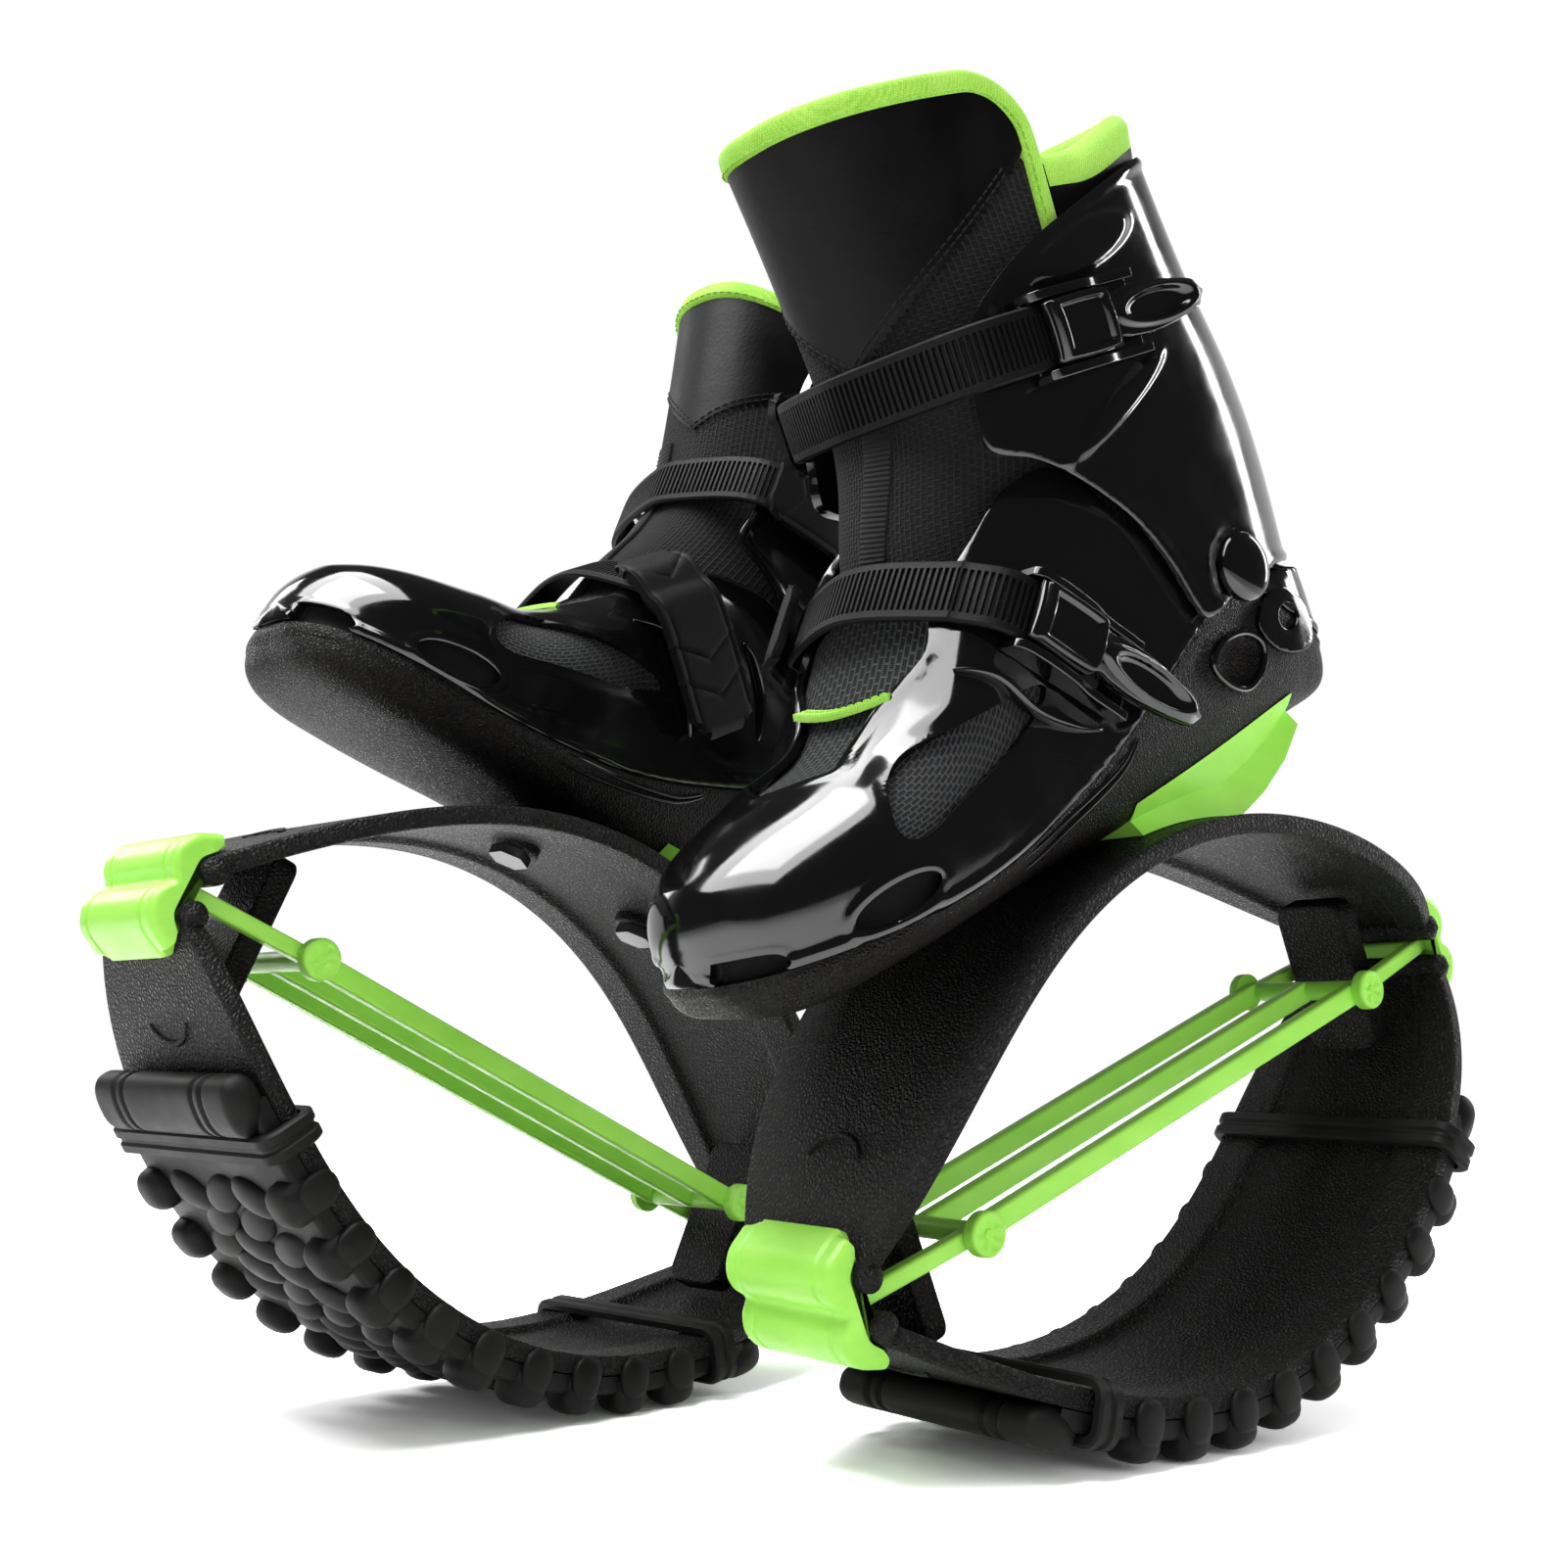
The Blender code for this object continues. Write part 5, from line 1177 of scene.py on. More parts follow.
# Each dish or rim: its height, its width and its distance from the line
window_dish = (-0.0010, 0.0050, 0.0)
vent_rim = (0.0006, 0.0024, 0.0014)
slot_rim = (0.0003, 0.0020, 0.0010)
opening_rim = (0.0004, 0.0026, 0.0016)
split_rim = (0.0009, 0.0026, 0.0018)
welt_rim = (0.0006, 0.0022, 0.0030)
shell_side_y = 0.012
opening_rim_height = 0.03
opening_height = 0.028
shell_thickness_share = 0.9
shell_edge = 0.0007
sole_edge = 0.0006
sole_side_y = 0.014
sole_drop = 0.0004
sole_seat = 0.0003
guard_line = [(0.0590, 0.1590), (0.0508, 0.1535), (0.0404, 0.1406), (0.0252, 0.1312), (0.0120, 0.1262)]
inner_ridge_lines = (
    [(0.0515, 0.1588), (0.0404, 0.1625), (0.0310, 0.1615), (0.0245, 0.1566), (0.0203, 0.1505),
     (0.0106, 0.1348)],
    [(0.0030, 0.1810), (-0.0020, 0.1785), (-0.0074, 0.1733), (-0.0123, 0.1677), (-0.0160, 0.1600),
     (-0.0192, 0.1513)])
guard_radius = 0.0015
guard_depth_share = 2.0
guard_out = 0.0012
fin_start_angle = 0.04
groove_line = [(0.0560, 0.0985), (0.0380, 0.1025), (0.0200, 0.1070), (0.0040, 0.1125), (-0.0060, 0.1200)]
rib_rise = 0.0019
rib_closing_share = 0.6
rib_radius = 0.0011
heel_tab_line = [
    (-0.0750, 0.1373), (-0.0823, 0.1454), (-0.0948, 0.1460), (-0.1066, 0.1370), (-0.1060, 0.1250),
    (-0.0940, 0.1235), (-0.0816, 0.1280)]
heel_tab_out = 0.0014
heel_tab_thickness = 0.0026
heel_tab_edge = 0.0005
heel_tab_side_y = 0.02
heel_hole = (-0.0925, 0.1365)
heel_hole_radii = (0.0062, 0.0046)
pocket_line = [
    (-0.0480, 0.1310), (-0.0540, 0.1230), (-0.0640, 0.1190), (-0.0730, 0.1230), (-0.0760, 0.1310),
    (-0.0680, 0.1370), (-0.0560, 0.1370)]
pocket_rim = 0.0012
pocket_depth = 0.0022
pocket_slope = (-0.0004, 0.0040)
liner_gap = 0.0006
liner_thickness = 0.004
liner_front_x = 0.049
liner_floor = 0.006
# Where the liner shows through the toe slot and the vent it is painted dark, as painted shade
shade_painted_toe_x = 0.0995
shade_painted_under_z = 0.114
cuff_seat_slope = (-0.0030, -0.0008)
cuff_margins = (0.006, 0.002)
cuff_edge = 0.0009
cuff_rim = (0.0009, 0.0024, -0.0020)
cuff_side_y = 0.01
# Each swell of the cuff: its place, its half length and height, its tilt and its rise
cuff_swells = (
    (-0.0400, 0.2700, 0.0290, 0.0075, math.radians(-14), 0.0026),
    (-0.0330, 0.2190, 0.0330, 0.0040, math.radians(-24), 0.0022))
cuff_swell_slope = (-1.15, -0.75)
ankle_dish_depth = 0.0010
ankle_dish_radii = (0.0150, 0.0125)
wedge_half_width = 0.0368
wedge_rear_x = -0.0915
wedge_front_x = -0.0030
wedge_top_z = 0.1105
wedge_under = [(-0.0915, 0.0995), (-0.0800, 0.0905), (-0.0650, 0.0835), (-0.0520, 0.0800), (-0.0450, 0.0780)]
wedge_crease = 0.0048
wedge_crease_share = 0.48
wedge_edge = 0.0005


def foot(share, angle, inset=0.0):
    """Points of the foot's outer face at shares of its length and angles round it."""
    share = np.asarray(share, float)
    held = np.clip(share, heel_round_share, toe_round_share)
    half, under, top, roundness = np.moveaxis(between(foot_shares, held), -1, 0)
    closing = np.sqrt(np.clip((1 - share) / (1 - toe_round_share), 0, 1))
    closing = closing * np.sqrt(np.clip(share / heel_round_share, 0, 1))
    half = np.maximum(half * boot_half_width * closing - inset, least_half)
    bottom = sole_bottom_z + under * sole_heel_rise
    top = sole_bottom_z + top * instep_height
    middle = (top + bottom) / 2
    rise = np.maximum((top - bottom) / 2 * closing - inset, least_half)
    cos, sin = np.cos(angle), np.sin(angle)
    power = np.where(sin > 0, roundness, sole_form_power)
    reach = (np.abs(cos) ** power + np.abs(sin) ** power) ** (-1 / power)
    x = boot_middle_x + (share - 0.5) * (boot_length - 2 * inset)
    return np.stack(np.broadcast_arrays(x, half * cos * reach, middle + rise * sin * reach), -1)


def foot_section(x):
    """Half width, middle height, half height and roundness of the foot at a place along it."""
    half, under, top, roundness = between(foot_shares, np.array([(x - heel_x) / boot_length]))[0]
    bottom = sole_bottom_z + under * sole_heel_rise
    top = sole_bottom_z + top * instep_height
    return half * boot_half_width, (top + bottom) / 2, (top - bottom) / 2, roundness


def shaft_table(shares, low, high, back, half):
    return [
        (low + z * (high - low), back + b * boot_length, back + f * boot_length, half * w)
        for z, b, f, w in shares]


def shaft_section(rows, z, inset):
    """Middle, half depth and half width of an upright oval form at heights."""
    back, front, half = np.moveaxis(between(rows, z), -1, 0)
    back, front, half = back + inset, front - inset, half - inset
    return (back + front) / 2, (front - back) / 2, half


def shaft(rows, z, angle, inset=0.0):
    """Points of an upright oval form at heights and angles; angle 0 looks to the toe."""
    middle, deep, half = shaft_section(rows, z, inset)
    cos, sin = np.cos(angle), np.sin(angle)
    power = shaft_form_power
    reach = (np.abs(cos) ** power + np.abs(sin) ** power) ** (-1 / power)
    return np.stack(np.broadcast_arrays(middle + deep * cos * reach, half * sin * reach, z), -1)


def pushed(form, amount):
    """The form with each point moved outward along its normal."""
    mesh = mesh_of(form)
    normals = np.empty(len(mesh.vertices) * 3)
    mesh.vertex_normals.foreach_get("vector", normals)
    bpy.data.meshes.remove(mesh)
    return form.at(form.points + normals.reshape(-1, 3) * np.asarray(amount)[:, None])


def on_boot(shares):
    """A line in side view given as shares of the boot's length and instep height."""
    return [(heel_x + x * boot_length, sole_bottom_z + z * instep_height) for x, z in shares]


def vent_point(angle):
    """A point of the vent's tilted oval."""
    along, up = vent_radii[0] * math.cos(angle), vent_radii[1] * math.sin(angle)
    return (vent_middle[0] + along * math.cos(vent_tilt) - up * math.sin(vent_tilt),
            vent_middle[1] + along * math.sin(vent_tilt) + up * math.cos(vent_tilt))


cuff_rows = shaft_table(cuff_shares, cuff_bottom_z, cuff_top_z, cuff_back_x, boot_half_width)
liner_rows = shaft_table(
    liner_shares, liner_bottom_z, tongue_top_z, cuff_back_x + cuff_wall + liner_clearance,
    boot_half_width - shell_wall - liner_clearance)
split_line = smooth(on_boot(split_line_shares), 7)
throat_line = on_boot(throat_line_shares)
throat_area = np.concatenate([smooth(throat_line[1:], 4), [
    (heel_x - beyond_heel, throat_line[-1][1]), (heel_x - beyond_heel, over_boot_z),
    (past_toe_x, over_boot_z), (past_toe_x, throat_line[0][1])]])
cuff_area = smooth([
    (cuff_back_x + x * cuff_depth_share * boot_length, cuff_bottom_z + z * (cuff_top_z - cuff_bottom_z))
    for x, z in cuff_outline_shares], 5, closed=True)
window_area = smooth(window_line, 5, closed=True)
vent_area = np.array([vent_point(angle) for angle in round_turn(40)])
slot_area = smooth(slot_line, 4, closed=True)
heel_tab_area = smooth(heel_tab_line, 5, closed=True)
pocket_area = smooth(pocket_line, 5, closed=True)


def foot_grid(inset=0.0):
    """The whole foot, with its rows crowded toward heel and toe."""
    crowded = 0.5 - 0.5 * np.cos(np.linspace(0.0, math.pi, 230))
    stations = foot_crowding_share * crowded + (1 - foot_crowding_share) * np.linspace(0.0, 1.0, 230)
    angles = np.linspace(-math.pi / 2, 3 * math.pi / 2, 210, endpoint=False)
    return solid(foot(stations[:, None], angles[None, :], inset))


def seated_in_cuff(form, inset):
    """Pulls what lies behind the cuff inside it, so that the cuff can swing over it."""
    points = form.points.copy()
    middle, deep, half = shaft_section(cuff_rows, points[:, 2], cuff_wall + slip_gap + inset)
    along = np.abs((points[:, 0] - middle) / deep)
    across = np.abs(points[:, 1] / half)
    measure = (along**shaft_form_power + across**shaft_form_power) ** (1 / shaft_form_power)
    shrink = np.where(measure > 1, 1 / measure, 1.0)
    shrink = 1 + (shrink - 1) * step_up(depth_in(cuff_area, form.side), *cuff_seat_slope)
    points[:, 0] = middle + (points[:, 0] - middle) * shrink
    points[:, 1] *= shrink
    return form.at(points)


def over_split(form):
    """How far a form's points lie over the line between shell and sole."""
    return form.side[:, 1] - np.interp(form.side[:, 0], split_line[:, 0], split_line[:, 1])


def opening_distance(form):
    """How far a form's points lie outside the opening over the toes, in plan view."""
    x, across = form.points[:, 0], np.abs(form.points[:, 1])
    at, ahead = (between(opening_line, x + move)[:, 0] for move in (0.0, slope_step))
    return (across - at) / np.hypot(1.0, (ahead - at) / slope_step)


def beside_foot(x, z, out, side=1):
    """The point of the foot's side at a place in side view, moved out."""
    half, middle, rise, roundness = foot_section(x)
    power = roundness if z > middle else sole_form_power
    part = min(abs(z - middle) / rise, foot_limit_share)
    return x, side * (half * (1 - part**power) ** (1 / power) + out), z


def over_foot(x, y, out):
    """The point of the foot's top at a place in plan view, moved up."""
    half, middle, rise, roundness = foot_section(x)
    part = min(abs(y) / half, foot_limit_share)
    return x, y, middle + rise * (1 - part**roundness) ** (1 / roundness) + out


def sideways(path):
    """The way across the shoe at each point of a path."""
    return np.tile((0.0, 1.0, 0.0), (len(path), 1))


def fin_form(line, radius, deep, out, side):
    """A moulded fin along a line in side view, thin at its ends."""
    path = [beside_foot(x, z, out, side) for x, z in smooth(line, 10)]
    taper = np.sqrt(np.sin(np.linspace(fin_start_angle, math.pi - fin_start_angle, len(path))))
    return tube(path, radius * taper, sideways(path), deep, 14)


def fins_form():
    """The guard under the lower buckle and the two ridges beside the inner pad."""
    fins = [(guard_line, guard_out, 1)] + [(line, 0.0, -1) for line in inner_ridge_lines]
    return joined([fin_form(line, guard_radius, guard_depth_share, out, side) for line, out, side in fins])


def ribs_form():
    """The paired ribs that sweep up the sole's sides from the arch to the heel."""
    shares = 1 - rib_closing_share * np.linspace(0, 1, len(groove_line))
    forms = []
    for side in (-1, 1):
        for rise in (-rib_rise, rib_rise):
            line = [(x, z + rise * share) for share, (x, z) in zip(shares, groove_line)]
            forms.append(fin_form(line, rib_radius, 1.0, -rib_radius / 3, side))
    return joined(forms)


def heel_tab_form():
    """The tab on each side of the heel with its oval hole."""
    form = foot_grid()
    form = seated_in_cuff(pushed(form, np.full(len(form.points), heel_tab_out)), 0.0)
    along, up = ((form.side - heel_hole) / heel_hole_radii).T
    keep = np.minimum(depth_in(heel_tab_area, form.side), (np.hypot(along, up) - 1) * heel_hole_radii[1])
    return clipped(form, np.where(np.abs(form.points[:, 1]) > heel_tab_side_y, keep, -1.0))


def pocket_rim_form():
    """The rounded rim of the pocket on each side of the heel."""
    paths = [[beside_foot(x, z, 0.0, side) for x, z in pocket_area] for side in (-1, 1)]
    return joined([tube(path, pocket_rim, sideways(path), closed=True) for path in paths])


def swell(distance, rim):
    """A rim's rise near a line: rim is its height, its width and its distance from the line."""
    height, width, place = rim
    return height * bump(distance - place, width)


def shell_form():
    """The gloss shell with its window, vent, toe slot, throat and opening over the toes."""
    form = foot_grid()
    outer = np.abs(form.points[:, 1]) > shell_side_y
    openings = ((window_area, window_dish), (vent_area, vent_rim), (slot_area, slot_rim))
    raised = np.zeros(len(form.points))
    for area, rim in openings:
        raised += swell(-depth_in(area, form.side), rim) * outer
    above = form.side[:, 1] > sole_bottom_z + opening_rim_height
    raised += swell(opening_distance(form), opening_rim) * above
    raised += swell(-depth_in(throat_area, form.side), opening_rim)
    raised += swell(over_split(form), split_rim)
    form = seated_in_cuff(pushed(form, raised), 0.0)
    keep = np.minimum(over_split(form), -depth_in(throat_area, form.side))
    above = form.side[:, 1] > sole_bottom_z + opening_height
    keep = np.minimum(keep, np.where(above, opening_distance(form), 1.0))
    for area, _ in openings:
        keep = np.minimum(keep, np.where(outer, -depth_in(area, form.side), 1.0))
    return clipped(form, keep)


def sole_form():
    """The textured chassis under the split line, with the pocket's dish and a welt."""
    form = foot_grid()
    outer = np.abs(form.points[:, 1]) > sole_side_y
    pocket = step_up(depth_in(pocket_area, form.side), *pocket_slope)
    raised = swell(-over_split(form), welt_rim) - sole_drop - pocket_depth * pocket * outer
    form = seated_in_cuff(pushed(form, raised), sole_seat)
    return clipped(form, -over_split(form) - sole_drop)


def liner_form():
    """The liner's sock inside the shell, given the black webbing where the toe slot and the vent show it, as
    painted shade inside the shell.
    """
    form = foot_grid(shell_wall + liner_gap)
    x, z = form.side.T
    keep = np.minimum(np.maximum(liner_bottom_z - z, x - liner_front_x), z - (sole_bottom_z + liner_floor))
    form = clipped(seated_in_cuff(form, shell_wall), keep)
    # Painted shade: faces seen through the toe slot and the vent take the black webbing
    x, y, z = form.points[[face[0] for face in form.faces]].T
    dark = ((x > shade_painted_toe_x) | (z < shade_painted_under_z)) & (np.abs(y) > shell_side_y)
    form.tones = [int(value) for value in dark]
    return form


def cuff_form():
    """The gloss cuff with a rounded rim, swells round the buckle and a dish for each rivet."""
    heights = np.linspace(cuff_bottom_z - cuff_margins[0], cuff_top_z + cuff_margins[1], 130)
    form = grid(shaft(cuff_rows, heights[:, None], np.linspace(-math.pi, math.pi, 250)[None, :]))
    side = form.side
    raised = swell(-depth_in(cuff_area, side), cuff_rim)
    for x, z, long, high, turn, height in cuff_swells:
        along = (side[:, 0] - x) * math.cos(turn) + (side[:, 1] - z) * math.sin(turn)
        up = (side[:, 1] - z) * math.cos(turn) - (side[:, 0] - x) * math.sin(turn)
        reach = np.sqrt((along / long) ** 2 + (up / high) ** 2)
        raised += height * step_up(-reach, *cuff_swell_slope) * (form.points[:, 1] > cuff_side_y)
    dish = np.hypot(side[:, 0] - ankle_x, side[:, 1] - ankle_z)
    raised -= ankle_dish_depth * step_up(-dish, -ankle_dish_radii[0], -ankle_dish_radii[1])
    form = pushed(form, raised)
    return clipped(form, depth_in(cuff_area, form.side))


def wedge_form():
    """The lime wedge under the heel, its sides creased along their length."""
    base_y = wedge_half_width - wedge_crease / 4
    crease_y = wedge_half_width - wedge_crease
    across = np.linspace(-wedge_half_width, wedge_half_width, 25)
    rows = []
    for x in np.linspace(wedge_rear_x, wedge_front_x, 60):
        low = max(float(np.interp(x, *zip(*wedge_under))), float(arch_z(x)) + gap)
        half, middle, rise, _ = foot_section(x)
        part = (1 - (np.abs(across) / half) ** sole_form_power) ** (1 / sole_form_power)
        tops = np.maximum(np.minimum(middle - rise * part, wedge_top_z), low + wedge_crease)
        crease_z = low + wedge_crease_share * (tops[0] - low)
        under = [(x, crease_y, crease_z), (x, base_y, low), (x, -base_y, low), (x, -crease_y, crease_z)]
        rows.append([(x, y, z) for y, z in zip(across, tops)] + under)
    return solid(rows)


# The tongue and the collar. Each shoe's tongue has its own lean and its own yoke seam
tongue_lean = {"left": 0.012, "right": 0.026}
yoke_low = {"left": 0.250, "right": 0.266}
yoke_middle = {"left": 0.19, "right": -0.20}
yoke_rises = (0.026, 0.010)
yoke_rise = 0.0007
yoke_edge = 0.0006
yoke_seam_depth = 0.0008
yoke_seam_width = 0.0012
yoke_seam_drop = 0.0002
yoke_stitch_rises = (0.0016, 0.0038)
yoke_stitch_angles = (-1.25, 1.42)
yoke_stitch_margin = 0.012
tongue_foot = 0.012
tongue_area_margin = 0.01
tongue_edge_x = -0.0400
tongue_corner = 0.020
tongue_bend_z = 0.2383
tongue_rim_low_z = 0.232
tongue_thickness = 0.0085
tongue_round = 0.0028
tongue_girth = 0.044
tongue_half_angle = 2.2
tongue_middle_x = -0.035
rim_step = 0.0012
rim_top_angle = 1.30
binding_inset = 0.0020
binding_over = 0.0016
binding_depth = 0.0042
binding_powers = (0.5, 0.6)
binding_stitch_place = (0.0047, 0.0015)
stitch_length = 0.0024
stitch_pitch = 0.0034
stitch_radius = 0.00032
stitch_out = 0.0008
stitch_shares = (0.0, 0.15, 0.5, 0.85, 1.0)
stitch_lift_shares = (-0.6, 0.1, 0.35, 0.1, -0.6)
tape_section_shares = [(-1.0, -0.5), (-1.0, 0.6), (-0.9, 1.0), (0.9, 1.0), (1.0, 0.6), (1.0, -0.5)]
webbing_margins = (0.002, 0.003)
webbing_turn = (0.10, 0.13)
webbing_turn_z = (0.17, 0.24)
webbing_half = 0.0050
webbing_thickness = 0.0009
webbing_rib = 0.0002
tape_half_span = 0.0225
tape_front_x = 0.0715
tape_bend = 0.0035
tape_half = 0.0030
tape_thickness = 0.0016
tape_out = 0.0008
tape_stitch_out = 0.0026
blend_start = (0.02, 0.0, 0.180)
blend_end = (-0.01, 0.0, 0.232)
collar_angle = 1.62
collar_base_z = 0.300
collar_top_z = 0.303
collar_back_rise = 0.014
collar_back_slope = (0.055, 0.108)
collar_thickness = 0.0095
collar_out = 0.0002
collar_lining_shares = (0.62, 0.9)
collar_lining_drop = 0.03
collar_flare = 0.010
collar_flare_z = (0.270, 0.318)
collar_counts = (22, 12, 18)
collar_lime_columns = (20, 36)
fold_angle = 0.15


def leaned(points, lean):
    """The tongue's points leaning toward the toe above the strap."""
    points = points.copy()
    rise = np.clip(points[..., 2] - tongue_bend_z, 0, None) / (tongue_top_z - tongue_bend_z)
    front_x = liner_rows[3][2]
    forward = np.clip((points[..., 0] - tongue_edge_x) / (front_x - tongue_edge_x), 0, None)
    points[..., 0] += lean * rise * np.sqrt(forward)
    return points


def away_from_leg(points):
    """The level direction from the leg's axis at each point."""
    return unit((points - (tongue_middle_x, 0.0, 0.0)) * (1, 1, 0))


def yoke_height(angle, side):
    """The lower seam of the leather yoke, a wide V."""
    away = np.abs(angle - yoke_middle[side])
    return yoke_low[side] + yoke_rises[0] * away + yoke_rises[1] * away**2


def tongue_form(side):
    """The tongue's padded face, from its foot in the throat up, with its side edges rounded."""
    low_z = liner_bottom_z - tongue_foot
    heights = np.linspace(low_z, tongue_top_z, 110)
    angles = np.linspace(-tongue_half_angle, tongue_half_angle, 170)
    form = grid(shaft(liner_rows, heights[:, None], angles[None, :]))
    under_z = low_z - tongue_area_margin
    corner = arc((tongue_edge_x + tongue_corner, tongue_top_z - tongue_corner), tongue_corner, 90, 180, 10)
    area = np.array([(tongue_edge_x, under_z), (past_toe_x, under_z), (past_toe_x, tongue_top_z)] + corner)
    angle = np.tile(angles, len(heights))
    over_yoke = form.points[:, 2] - yoke_height(angle, side)
    raised = yoke_rise * step_up(over_yoke, -yoke_edge, yoke_edge)
    raised -= yoke_seam_depth * bump(over_yoke + yoke_seam_drop, yoke_seam_width)
    form = pushed(form, raised)
    form.places = np.stack([form.places[:, 0], angle], -1)
    form = clipped(form, depth_in(area, form.side))
    form.tones = [
        int(form.points[list(face), 2].mean() <= yoke_height(form.places[list(face), 1].mean(), side))
        for face in form.faces]
    form.places = np.stack([form.points[:, 2], form.places[:, 1] * tongue_girth], -1)
    return form.at(leaned(form.points, tongue_lean[side]))


def tongue_rim(lean, steps=26):
    """Points and outward directions along the tongue's rim, from side to side."""
    corner_x, corner_z = tongue_edge_x + tongue_corner, tongue_top_z - tongue_corner
    outline = [(tongue_edge_x, z) for z in np.linspace(tongue_rim_low_z, corner_z, steps)]
    outline += arc((corner_x, corner_z), tongue_corner, 180, 90, steps)[1:]
    lateral = []
    for x, z in outline:
        ring = shaft(liner_rows, z, np.linspace(0.0, math.pi, 721))
        lateral.append(ring[np.abs(ring[:, 0] - x).argmin()])
    lateral = np.array(lateral)
    top = shaft(liner_rows, tongue_top_z, np.linspace(rim_top_angle, -rim_top_angle, 3 * steps))
    path = np.concatenate([lateral, top, lateral[::-1] * (1, -1, 1)])
    kept = [path[0]]
    for point in path[1:]:
        last = kept[-1]
        onward = abs(point[1]) < abs(last[1]) or point[2] >= last[2] or point[1] < 0
        if onward and np.linalg.norm(point - last) > rim_step:
            kept.append(point)
    path = np.array(kept)
    for _ in range(4):
        path[1:-1] = (path[:-2] + 2 * path[1:-1] + path[2:]) / 4
    return leaned(path, lean), away_from_leg(path)


def binding_form(lean):
    """The knitted lime binding that wraps the tongue's rim, and where its stitches run."""
    path, out = tongue_rim(lean)
    edge = unit(np.cross(out, unit(np.gradient(path, axis=0))))
    if edge[len(edge) // 2, 2] < 0:
        edge = -edge
    middle = path - out * tongue_thickness / 2 - edge * binding_inset
    angle = round_turn(28)
    wide = squarer(np.cos(angle), binding_powers[0]) * (tongue_thickness / 2 + binding_over)
    deep = squarer(np.sin(angle), binding_powers[1]) * binding_depth
    rows = middle[:, None] + wide[None, :, None] * out[:, None] + deep[None, :, None] * edge[:, None]
    return solid(rows), path - edge * binding_stitch_place[0] + out * binding_stitch_place[1], out


def stitches(path, ups):
    """A run of short raised threads along a line."""
    places = lengths_along(path)
    forms = []
    for start in np.arange(stitch_pitch, places[-1] - stitch_pitch, stitch_pitch):
        at = start + stitch_length * np.array(stitch_shares)
        points, way = (
            np.stack([np.interp(at, places, line[:, k]) for k in range(3)], -1) for line in (path, ups))
        points = points + way * (np.array(stitch_lift_shares) * stitch_radius)[:, None]
        forms.append(tube(points, stitch_radius, way, sides=6))
    return joined(forms)


def seam_stitches(side):
    """The two stitched rows that hold the leather yoke's lower edge."""
    forms = []
    angles = np.linspace(*yoke_stitch_angles, 200)
    for rise in yoke_stitch_rises:
        heights = yoke_height(angles, side) + rise
        keep = heights < tongue_top_z - yoke_stitch_margin
        points = shaft(liner_rows, heights[keep], angles[keep])
        out = away_from_leg(points)
        forms.append(stitches(leaned(points + out * stitch_out, tongue_lean[side]), out))
    return joined(forms)


def ribbon(points, out, half, thickness):
    """A flat tape along a line on the tongue."""
    profile = [(across * half, up * thickness) for across, up in tape_section_shares]
    return tube(points, 1.0, out, profile=profile)


def tongue_tape(side):
    """The ribbed webbing down the tongue's middle."""
    heights = np.linspace(yoke_low[side] - webbing_margins[0], liner_bottom_z + webbing_margins[1], 120)
    angles = webbing_turn[0] + webbing_turn[1] * step_up(heights, *webbing_turn_z)
    points = shaft(liner_rows, heights, angles)
    out = np.stack([np.cos(angles), np.sin(angles), 0 * angles], -1)
    ribs = webbing_rib * (1 + np.cos(np.arange(120) * math.pi))
    points = points + out * ribs[:, None]
    return ribbon(leaned(points, tongue_lean[side]), out, webbing_half, webbing_thickness)


def tongue_base():
    """The lime tape across the instep where the tongue begins, and where its stitches run."""
    across = np.linspace(-tape_half_span, tape_half_span, 60)
    bend = tape_bend * (across / tape_half_span) ** 2
    points = np.array([over_foot(tape_front_x - back, y, -shell_wall) for back, y in zip(bend, across)])
    out = unit(np.cross(np.gradient(points, axis=0), (1.0, 0.0, 0.0)))
    out *= np.sign(out[30, 2])
    tape = ribbon(points + out * tape_out, out, tape_half, tape_thickness)
    return tape, points + out * tape_stitch_out, out


def collar_form():
    """The padded rear of the liner: leather outside, a rolled lime rim on top."""
    thick = collar_thickness
    angles = np.linspace(collar_angle, 2 * math.pi - collar_angle, 120)
    backs = step_up(-shaft(liner_rows, np.full(120, collar_base_z), angles)[:, 0], *collar_back_slope)
    rows = []
    for angle, back in zip(angles, backs):
        top = collar_top_z + collar_back_rise * back
        fold = top - thick / 2
        ring = [(z, -collar_out) for z in np.linspace(liner_bottom_z, fold, collar_counts[0])]
        for turn in np.linspace(fold_angle, math.pi - fold_angle, collar_counts[1]):
            ring.append((fold + thick / 2 * math.sin(turn), thick / 2 * (1 - math.cos(turn))))
        for z in np.linspace(fold, liner_bottom_z, collar_counts[2]):
            ring.append((z, thick * collar_lining_shares[int(z >= top - collar_lining_drop)]))
        points = np.stack([shaft(liner_rows, z, angle, depth) for z, depth in ring])
        points[:, 0] -= collar_flare * back * step_up(points[:, 2], *collar_flare_z)
        rows.append(points)
    form = solid(np.array(rows))
    first, last = collar_lime_columns
    form.tones = [
        int(first <= face[0] % sum(collar_counts) < last and len(face) == 4) for face in form.faces]
    return form


# The ladder straps and their pads
upper_strap_share = 0.471
upper_strap_height = 0.1561
upper_strap_tilt = math.radians(2)
lower_strap_share = 0.5976
lower_strap_height = 0.0820
lower_strap_tilt = math.radians(-42)
strap_thickness = 0.0024
strap_half_height = 0.010
strap_bare_share = 0.16
strap_bare_rise_share = 0.5
strap_shares = [(1.0, -0.0012), (0.93, -0.0004), (0.72, -0.0003)]
strap_bed = (0.68, -0.0013)
rib_pitch = 0.00215
rib_height = 0.0011
rib_shares = ((0.0, 0.0), (0.14, 1.0), (0.52, 1.0), (0.66, 0.0))
strap_end_slack = 0.0005
strap_point_gap = 0.003
way_step = 0.001
pad_half_height = 0.015
pad_thickness = 0.0032
pad_edge = 0.0009
pad_drop = 0.0002
